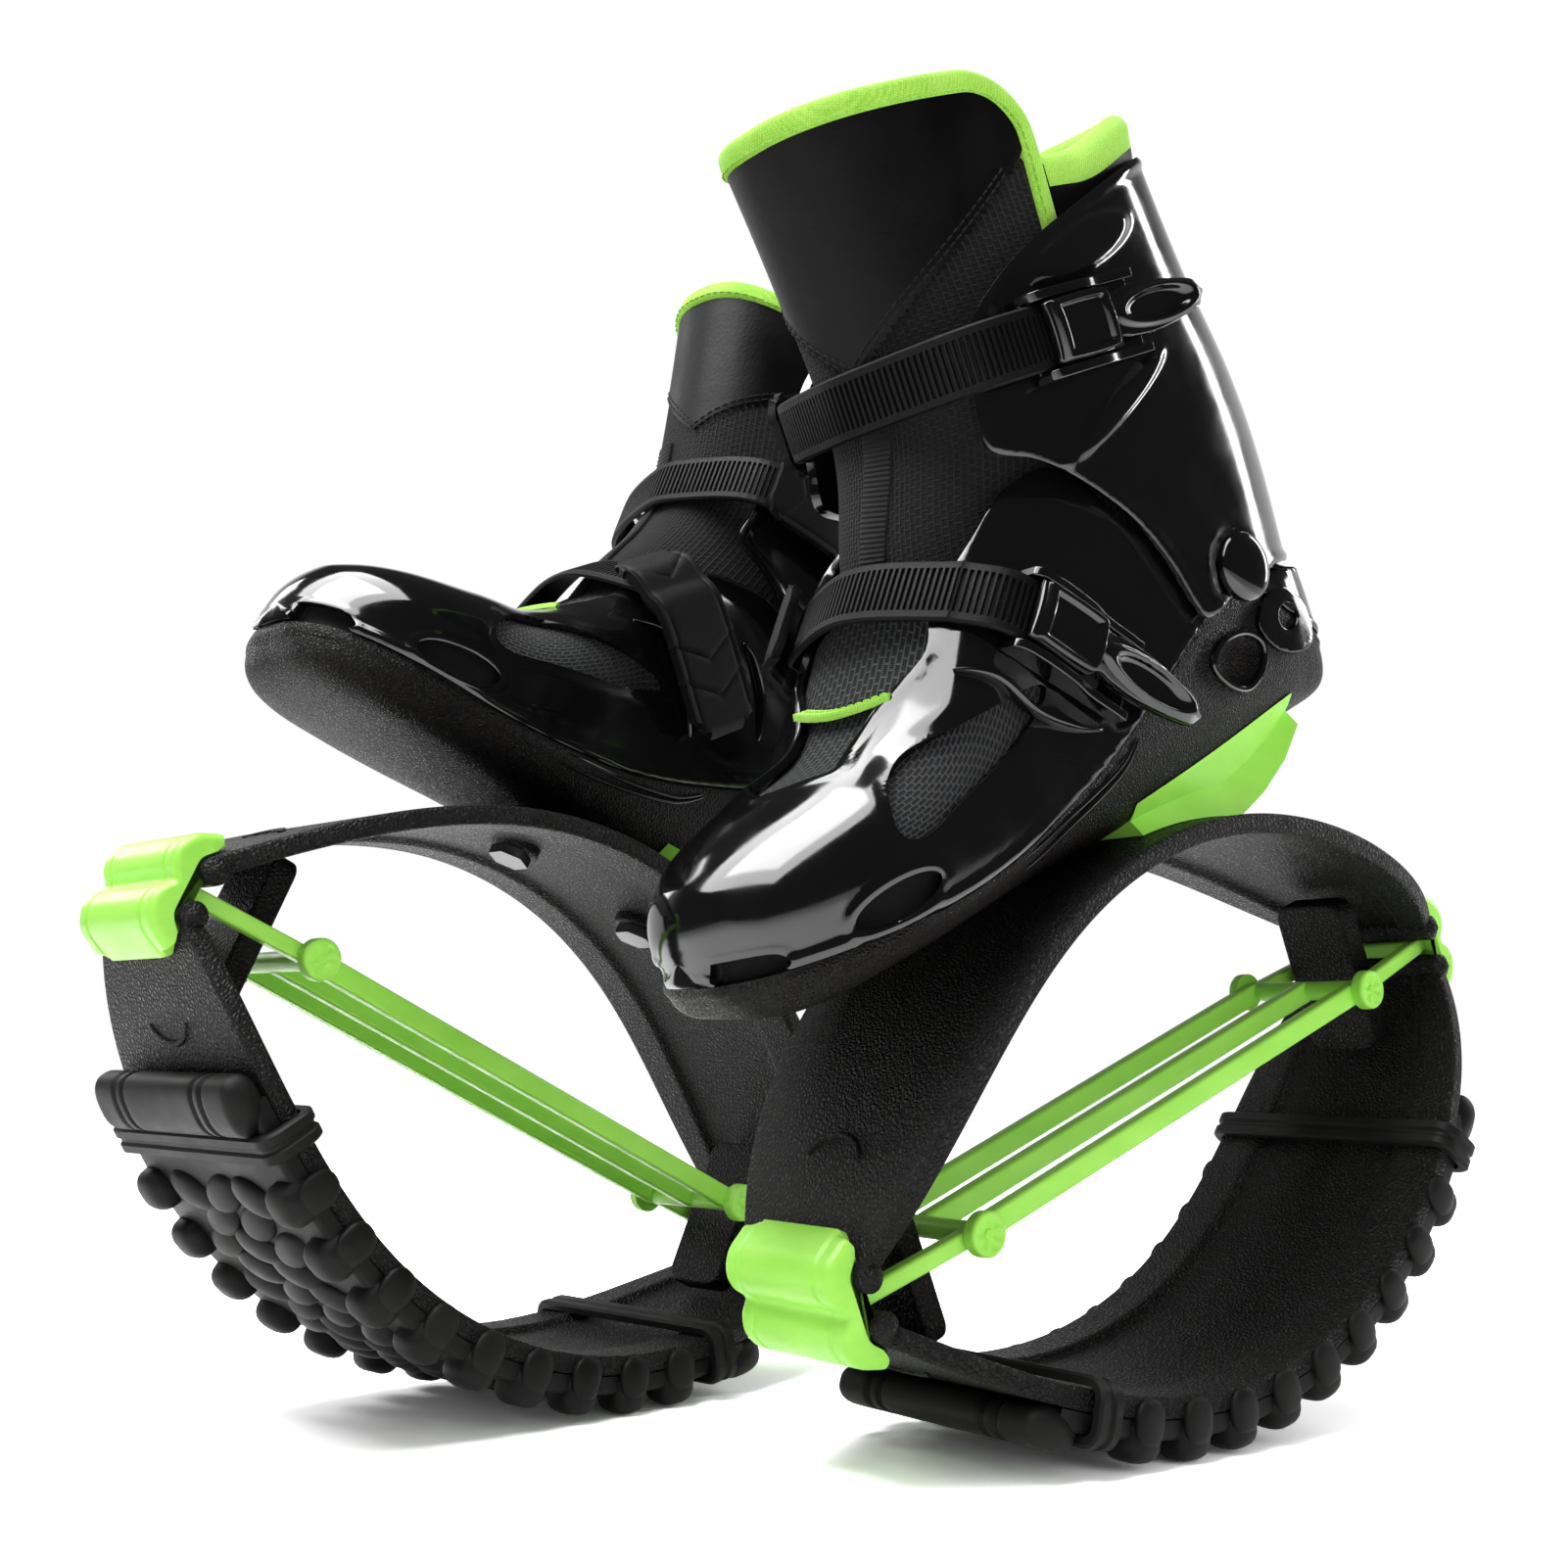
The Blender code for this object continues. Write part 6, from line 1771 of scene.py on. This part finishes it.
pad_margin = 0.0004
pad_kept_half = 0.0148
pad_corner = 0.009
pad_chevron_shares = (0.16, 0.34, 0.78)
pad_chevron_slope = 0.55
pad_chevron = (-0.0009, 0.0013, 0.0)
pad_border = (-0.0008, 0.0011, 0.0125)


def strap_stand(share, height, tilt):
    """A strap's own plane: its place along the boot, its height over the sole and its tilt."""
    place = (heel_x + share * boot_length, 0.0, sole_bottom_z + height)
    return Matrix.Translation(place) @ Matrix.Rotation(tilt, 4, "Y")


def strap_path(node, stand):
    """A strap's taut outer line in its own plane, from the inner side round the front."""
    into = (shoes[0].matrix @ stand).inverted()
    points = [into @ vertex.co for vertex in frame["nodes"]["left_" + node].data.vertices]
    ordered = sorted((point.x, point.y) for point in points)
    hull = []
    for run in (ordered, ordered[::-1]):
        chain = []
        for x, y in run:
            while len(chain) > 1:
                (x0, y0), (x1, y1) = chain[-2:]
                if (x1 - x0) * (y - y0) - (y1 - y0) * (x - x0) > 0:
                    break
                chain.pop()
            chain.append((x, y))
        hull += chain[:-1]
    hull = np.array(hull)
    rear = hull[:, 0].min() + strap_end_slack
    start = min((i for i in range(len(hull)) if hull[i, 0] < rear), key=lambda i: hull[i, 1])
    hull = np.roll(hull, -start, 0)
    last = hull[:, 0].argmax() if node.endswith("pad") else np.flatnonzero(hull[:, 1] > 0)[-1]
    kept = [hull[0]]
    for point in hull[1:int(last) + 1]:
        if np.linalg.norm(point - kept[-1]) > strap_point_gap:
            kept.append(point)
    return smooth(kept, 8)


def along_path(path, places):
    """Points and outward directions at lengths along a flat path."""
    length = lengths_along(path)
    at = np.asarray(places, float)
    points, after, before = (
        np.stack([np.interp(at + move, length, path[:, k]) for k in (0, 1)], -1)
        for move in (0.0, way_step, -way_step))
    ahead = after - before
    ahead /= np.maximum(np.linalg.norm(ahead, axis=1), tiny)[:, None]
    return points, np.stack([ahead[:, 1], -ahead[:, 0]], -1)


def moved(form, matrix):
    turn = np.array(matrix)
    return form.at(form.points @ turn[:3, :3].T + turn[:3, 3])


def strap_form(node, stand):
    """A ladder strap: a smooth band whose middle carries square ribs, bare near its pad."""
    path = strap_path(node, stand)
    total = lengths_along(path)[-1]
    places, ribs = [], []
    for rib in range(int(total / rib_pitch)):
        for share, height in rib_shares:
            places.append((rib + share) * rib_pitch)
            ribs.append(height if rib * rib_pitch > strap_bare_share * total else strap_bare_rise_share)
    half = strap_half_height
    side = [(half, -strap_thickness, 0)] + [(half * share, depth, 0) for share, depth in strap_shares]
    side.append((half * strap_bed[0], strap_bed[1], 1))
    section = [(-across, depth, ribbed) for across, depth, ribbed in side] + side[::-1]
    rows = []
    for point, way, rib in zip(*along_path(path, places), ribs):
        rows.append([(*(point + way * (depth + rib_height * rib * ribbed)), across)
                     for across, depth, ribbed in section])
    return moved(solid(rows), stand)


def pad_form(node, stand):
    """The wide anchor pad, softly crowned, with rounded corners and chevron grooves."""
    path = strap_path(node, stand)
    total = lengths_along(path)[-1]
    places = np.linspace(0.0, total, 110)
    points, out = along_path(path, places)
    along, across = np.meshgrid(places, np.linspace(-pad_half_height, pad_half_height, 46), indexing="ij")
    depth = swell(np.abs(across), pad_border)
    for share in pad_chevron_shares:
        depth += swell(along - share * total - pad_chevron_slope * np.abs(across), pad_chevron)
    flat = points[:, None] + out[:, None] * (depth - pad_drop)[..., None]
    form = grid(np.concatenate([flat, across[..., None]], -1))
    along, side = along.ravel(), np.abs(across.ravel())
    edge = np.minimum.reduce([along - pad_margin, total - pad_margin - along, pad_kept_half - side])
    beside = side - (pad_kept_half - pad_corner)
    for end in (0.0, total):
        near = pad_corner - np.abs(along - end)
        corner = pad_corner - np.hypot(np.clip(near, 0, None), np.clip(beside, 0, None))
        edge = np.where((near > 0) & (beside > 0), corner, edge)
    return moved(clipped(form, edge), stand)


# Buckles; x runs back along the strap, y outward, z across it. The lever's frame is a raised
# square rim over the pin, its dish the thumb's recess, and their slopes are shares of their sizes
buckle_length = 0.050
buckle_width = 0.027
buckle_height = 0.0095
buckle_floor = 0.0022
buckle_rail = 0.003
buckle_edge = 0.0009
floor_inset = 0.001
rail_heights = ((0.0, 0.0058), (0.006, 0.0062), (0.017, 0.0066))
rail_crown = ((0.0240, 0.0008), (0.0120, 0.0), (0.0030, 0.0006), (0.0, 0.0030))
lever_length = 0.074
lever_thickness = 0.0042
lever_pin_inset = 0.004
lever_nose_radius = 0.0021
lever_nose_round = 0.0012
lever_nose_reach = 0.002
lever_tip_round = 0.004
lever_tip_droop = 0.0012
lever_tip_slope = 0.006
lever_waist = 0.029
lever_crown_share = 0.22
lever_edge = 0.0005
lever_lip = 0.0008
lever_frame = (0.0145, 0.0125, 0.93)
lever_frame_heights = (0.0016, 0.0013)
lever_frame_slopes = ((-1.08, -0.96), (-0.80, -0.72))
lever_dish_place = 0.021
lever_dish_radii = (0.0170, 0.0048)
lever_dish_heights = (0.0010, 0.0016)
lever_dish_rim = (1.12, 0.30)
lever_dish_slope = (-1.05, -0.7)
lever_lip_share = 0.985
lever_tip_angle = 0.1
lever_nose_shares = [(-0.001, 0.90), (0.002, 1.0)]
lever_waist_shares = [(-0.004, 1.0), (0.0, 0.72), (0.006, 0.80), (0.017, 0.84), (0.032, 0.66)]
lever_tip_shares = [(-0.003, 0.42), (0.0, 0.10)]
rivet_radius = 0.0115
rivet_least_radius = 0.00005
rivet_rise = 0.0036
rivet_seat = 0.0008
rivet_skirt = 0.0006


def lever_form():
    """A framed square at the pin, then a teardrop with a long thumb recess."""
    low = slip_gap + strap_thickness + slip_gap
    nose = lever_pin_inset - lever_thickness / 2
    tip = nose + lever_length
    inner = buckle_width / 2 - buckle_rail - slip_gap
    waist = nose + lever_waist
    round_start = tip - lever_tip_round
    stations = np.concatenate([
        nose + lever_nose_round * (1 - np.cos(np.linspace(0, math.pi / 2, 5))),
        np.linspace(nose + lever_nose_reach, round_start, 90),
        round_start + lever_tip_round * np.sin(np.linspace(lever_tip_angle, math.pi / 2, 8))])
    width_shares = [
        (start + x, share)
        for start, shares in ((nose, lever_nose_shares), (waist, lever_waist_shares), (tip, lever_tip_shares))
        for x, share in shares]
    frame_x, frame_half, frame_share = lever_frame
    rows = []
    for x in stations:
        half = inner * float(between(width_shares, np.array([x]))[0, 0])
        upper = []
        for share in np.linspace(-1.0, 1.0, 41):
            square = max(abs(x - (nose + frame_x)) / frame_half, abs(share) / frame_share)
            dish = math.hypot(
                (x - (waist + lever_dish_place)) / lever_dish_radii[0], share * half / lever_dish_radii[1])
            height = low + lever_thickness * (1 - lever_crown_share * share**2)
            height += lever_frame_heights[0] * float(step_up(-square, *lever_frame_slopes[0]))
            height -= lever_frame_heights[1] * float(step_up(-square, *lever_frame_slopes[1]))
            height += lever_dish_heights[0] * float(bump(dish - lever_dish_rim[0], lever_dish_rim[1]))
            height -= lever_dish_heights[1] * float(step_up(-dish, *lever_dish_slope))
            height -= lever_tip_droop * float(step_up(x, tip - lever_tip_slope, tip))
            upper.append((x, height - lever_lip * (abs(share) > lever_lip_share), half * share))
        behind = min(max(lever_pin_inset - x, 0.0), lever_nose_radius)
        under = low + lever_nose_radius - math.sqrt(lever_nose_radius**2 - behind**2)
        rows.append(upper + [(x, under, z) for _, _, z in upper[::-4]])
    return solid(rows)


def base_form():
    """The channel that the ladder runs in, with swept rails."""
    half = buckle_width / 2
    low = -buckle_floor - slip_gap
    crown = [(buckle_length - back, low + height) for back, height in rail_heights[1:]]
    crown += [(x, low + buckle_height - drop) for x, drop in rail_crown]
    rail = [(0.0, low), (buckle_length, low), (buckle_length, low + rail_heights[0][1]), *smooth(crown, 5)]
    forms = []
    for side in (-1, 1):
        faces = sorted((side * (half - buckle_rail), side * half))
        forms.append(solid([[(x, y, z) for x, y in rail] for z in faces]))
    wide = half - floor_inset
    corners = ((low, -wide), (-slip_gap, -wide), (-slip_gap, wide), (low, wide))
    forms.append(solid([[(x, y, z) for y, z in corners] for x in (0.0, buckle_length)]))
    return joined(forms)


def buckle_place(node, stand):
    """Where a buckle sits on its strap's outer face."""
    outer_side = float(strap_path(node, stand)[-1][1]) - strap_thickness - slip_gap
    return stand @ Matrix.Translation((0.0, outer_side, 0.0)) @ Matrix.Rotation(math.pi, 4, "Y")


def rivet_form(side):
    """The domed rivet that the cuff turns on."""
    turn = np.linspace(0.0, math.pi / 2, 12)
    profile = [(rivet_radius * math.sin(a), rivet_seat + rivet_rise * math.cos(a)) for a in turn]
    half = float(between(cuff_rows, np.array([ankle_z]))[0, 2]) + slip_gap
    around = round_turn(48)
    rows = []
    for radius, height in profile + [(rivet_radius, -rivet_skirt)]:
        radius = max(radius, rivet_least_radius)
        rows.append(np.stack([
            ankle_x + radius * np.cos(around), np.full(48, side * (half + height)),
            ankle_z + radius * np.sin(around)], -1))
    return solid(rows)


def boot():
    shell = shell_mesh(shell_form(), shell_wall * shell_thickness_share, shell_edge, 3)
    put("shell", shell, gloss, "boot", ["boot_shell"], sharp=50)
    wedge = closed_mesh(wedge_form(), wedge_edge)
    put("wedge", wedge, lime, "boot", ["spacer_wedge"], sharp=18)
    sole = shell_mesh(sole_form(), shell_wall, sole_edge)
    put("sole", sole, sole_plastic, "boot", ["sole_frame"], sharp=50)
    heel_tab = shell_mesh(heel_tab_form(), heel_tab_thickness, heel_tab_edge)
    for name, mesh in (
            ("sole_ribs", closed_mesh(ribs_form())), ("heel_tab", heel_tab),
            ("pocket_rim", closed_mesh(pocket_rim_form())), ("shell_fins", closed_mesh(fins_form()))):
        put(name, mesh, gloss, "boot", ())
    # The liner's second finish, black webbing, is painted shade behind the toe slot and the vent
    liner = shell_mesh(liner_form(), liner_thickness, 0.0)
    for item in put("liner_sock", liner, [toe_knit, webbing], "boot", ["liner_foot"],
                    sharp=60):
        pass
    cuff = shell_mesh(cuff_form(), cuff_wall, cuff_edge, 3)
    put("cuff_shell", cuff, gloss, "ankle_cuff", ["cuff"], sharp=50)
    collar = closed_mesh(collar_form())
    for item in put("collar", collar, [leather, lime_cloth], "ankle_cuff", ["liner_shaft"],
                    sharp=60):
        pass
    for shoe in shoes:
        tongue(shoe)


def tongue(shoe):
    """One shoe's tongue, which leans toward the toe above its bend, between the boot and the cuff."""
    side = shoe.side
    mesh = shell_mesh(tongue_form(side), tongue_thickness, tongue_round, 4)
    pads = put("tongue_pad", mesh, [leather, tongue_knit], None, ["tongue"], sharp=60,
               only=side)
    rim, rim_line, rim_out = binding_form(tongue_lean[side])
    put("tongue_binding", closed_mesh(rim), lime_cloth, "ankle_cuff", only=side, sharp=70)
    base, base_line, base_out = tongue_base()
    put("tongue_base_tape", closed_mesh(base), lime_cloth, "boot", only=side)
    put("lime_stitches", closed_mesh(stitches(rim_line, rim_out)), lime_cloth, "ankle_cuff", only=side)
    put("base_stitches", closed_mesh(stitches(base_line, base_out)), lime_cloth, "boot", only=side)
    put("yoke_stitches", closed_mesh(seam_stitches(side)), webbing, "ankle_cuff", only=side)
    tapes = put("tongue_webbing", closed_mesh(tongue_tape(side)), webbing, None, only=side)
    for item in pads + tapes:
        shoe.world(blend_start)
        shoe.world(blend_end)
        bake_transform(item)


def straps():
    upper_stand = strap_stand(upper_strap_share, upper_strap_height, upper_strap_tilt)
    lower_stand = strap_stand(lower_strap_share, lower_strap_height, lower_strap_tilt)
    for level, stand, body in (("upper", upper_stand, "ankle_cuff"), ("lower", lower_stand, "boot")):
        strap = level + "_strap"
        band = closed_mesh(strap_form(strap, stand))
        put(level + "_ladder", band, strap_plastic, strap + "_band", [strap])
        pad = shell_mesh(pad_form(strap + "_pad", stand), pad_thickness, pad_edge, 3)
        put(level + "_pad", pad, strap_plastic, strap + "_band", [strap + "_pad"], sharp=45)
        place = buckle_place(strap, stand)
        base = closed_mesh(moved(base_form(), place), buckle_edge, 3)
        put(level + "_buckle", base, gloss, body, [level + "_buckle_base"], weighted=True)
        lever = closed_mesh(moved(lever_form(), place), lever_edge)
        put(level + "_buckle_tab", lever, gloss, level + "_lever", [level + "_buckle_lever"],
            sharp=40)
    for name, side in (("lateral", 1), ("medial", -1)):
        rivet = closed_mesh(rivet_form(side))
        put(name + "_rivet", rivet, gloss, "boot", [name + "_ankle_rivet"], sharp=50)


# The studio. The camera is in pixels of the photograph's frame; a lamp's row holds its place,
# what it looks at, its width and height and its power
picture_size = 1601
focal_length = 1947
camera_place = (-0.0129, -0.68518, 0.12687)
camera_pitch = math.radians(7.46)
sensor_width = 36.0
near_clip = 0.01
backdrop_ranges = ((0.25, 0.65, 0.0, 1.0), (0.35, 0.65, 1.0, 0.0))
floor_colour = 0.85
floor_shade_share = 0.98
floor_lift = 2.7
floor_span = ((-5.0, 5.0), (-4.0, 6.0))
world_level = 0.45
studio_level = 0.05
lamps = {
    "key": ((-0.45, -0.35, 1.35), (0.0, 0.0, 0.2), 0.8, 0.8, 19.0),
    "softbox": ((-0.46, -0.34, 1.36), (0.0, 0.0, 0.2), 1.45, 1.45, 66.0),
    "fill": ((0.95, -0.85, 0.45), (0.0, 0.0, 0.15), 0.7, 0.7, 3.5),
    "strip": ((1.0, 0.40, 0.68), (0.08, -0.08, 0.3), 0.09, 0.65, 3.6),
    "edge": ((-0.9, 0.55, 0.75), (0.0, 0.0, 0.25), 0.3, 0.6, 4.0)}


def lamp(name):
    place, target, width, height, power = lamps[name]
    light = bpy.data.lights.new(name, "AREA")
    light.shape = "RECTANGLE"
    light.size = width
    light.size_y = height
    light.energy = power
    item = bpy.data.objects.new(name, light)
    bpy.context.scene.collection.objects.link(item)
    item.location = place
    item.rotation_euler = (Vector(target) - Vector(place)).to_track_quat("-Z", "Y").to_euler()
    item.visible_diffuse = name != "softbox"
    item.visible_glossy = name != "fill"


def camera():
    scene = bpy.context.scene
    lens = bpy.data.cameras.new("camera")
    lens.sensor_width = sensor_width
    lens.lens = focal_length / picture_size * sensor_width
    lens.clip_start = near_clip
    item = bpy.data.objects.new("camera", lens)
    scene.collection.objects.link(item)
    item.location = camera_place
    item.rotation_euler = (math.pi / 2 + camera_pitch, 0.0, 0.0)
    scene.camera = item
    scene.view_settings.view_transform = "Standard"


def studio():
    """White to the camera and to diffuse light; mirrors see a dark room with a white backdrop."""
    world = bpy.data.worlds.new("studio")
    bpy.context.scene.world = world
    world.use_nodes = True
    background = world.node_tree.nodes["Background"]
    background.inputs["Color"].default_value = (1.0, 1.0, 1.0, 1.0)
    path = add(world, "LightPath")
    way = add(world, "SeparateXYZ", {0: add(world, "TexCoord").outputs["Generated"]})

    def ranged(value, from_low, from_high, low, high):
        return ramp(world, value, low, high, from_low, from_high, interpolation_type="SMOOTHSTEP")

    behind, beneath = (
        ranged(way.outputs[axis], *limits) for axis, limits in zip("YZ", backdrop_ranges))
    backdrop = math_of(world, behind, beneath, "MULTIPLY")
    mirrored = math_of(world, path.outputs["Is Glossy Ray"], path.outputs["Is Transmission Ray"], "MAXIMUM")
    reflected = ranged(backdrop, 0.0, 1.0, studio_level, 1.0)
    ambient = ranged(mirrored, 0.0, 1.0, world_level, 0.0)
    strength = math_of(world, ambient, math_of(world, mirrored, reflected, "MULTIPLY"), "MAXIMUM")
    strength = math_of(world, strength, path.outputs["Is Camera Ray"], "MAXIMUM")
    world.node_tree.links.new(strength, background.inputs["Strength"])
    for name in lamps:
        lamp(name)


def floor():
    """White paper that is shown and mirrored brighter than it lights the shoes."""
    spans, depths = floor_span
    mesh = mesh_of(grid([[(x, y, 0.0) for y in depths] for x in spans]))
    item = bpy.data.objects.new("floor", mesh)
    bpy.context.scene.collection.objects.link(item)
    material = new_finish("floor_paper", (0.9, 0.9, 0.9), 0.9)
    path = add(material, "LightPath")
    seen = math_of(material, path.outputs["Is Camera Ray"], path.outputs["Is Glossy Ray"], "MAXIMUM")
    shown = math_of(material, seen, path.outputs["Is Transmission Ray"], "MAXIMUM")
    grain = noise(material, coordinates(material), *paper_pattern)
    paper = ramp(material, grain, floor_colour * floor_shade_share, floor_colour)
    level = add(material, "MapRange", {"Value": shown, "To Min": 1.0, "To Max": floor_lift})
    bright = math_of(material, paper, level.outputs["Result"], "MULTIPLY")
    diffuse = add(material, "BsdfDiffuse", {"Color": bright})
    output = next(node for node in material.node_tree.nodes if node.type == "OUTPUT_MATERIAL")
    material.node_tree.links.new(diffuse.outputs[0], output.inputs["Surface"])
    mesh.materials.append(material)


camera()
studio()
floor()
spring_unit()
boot()
straps()
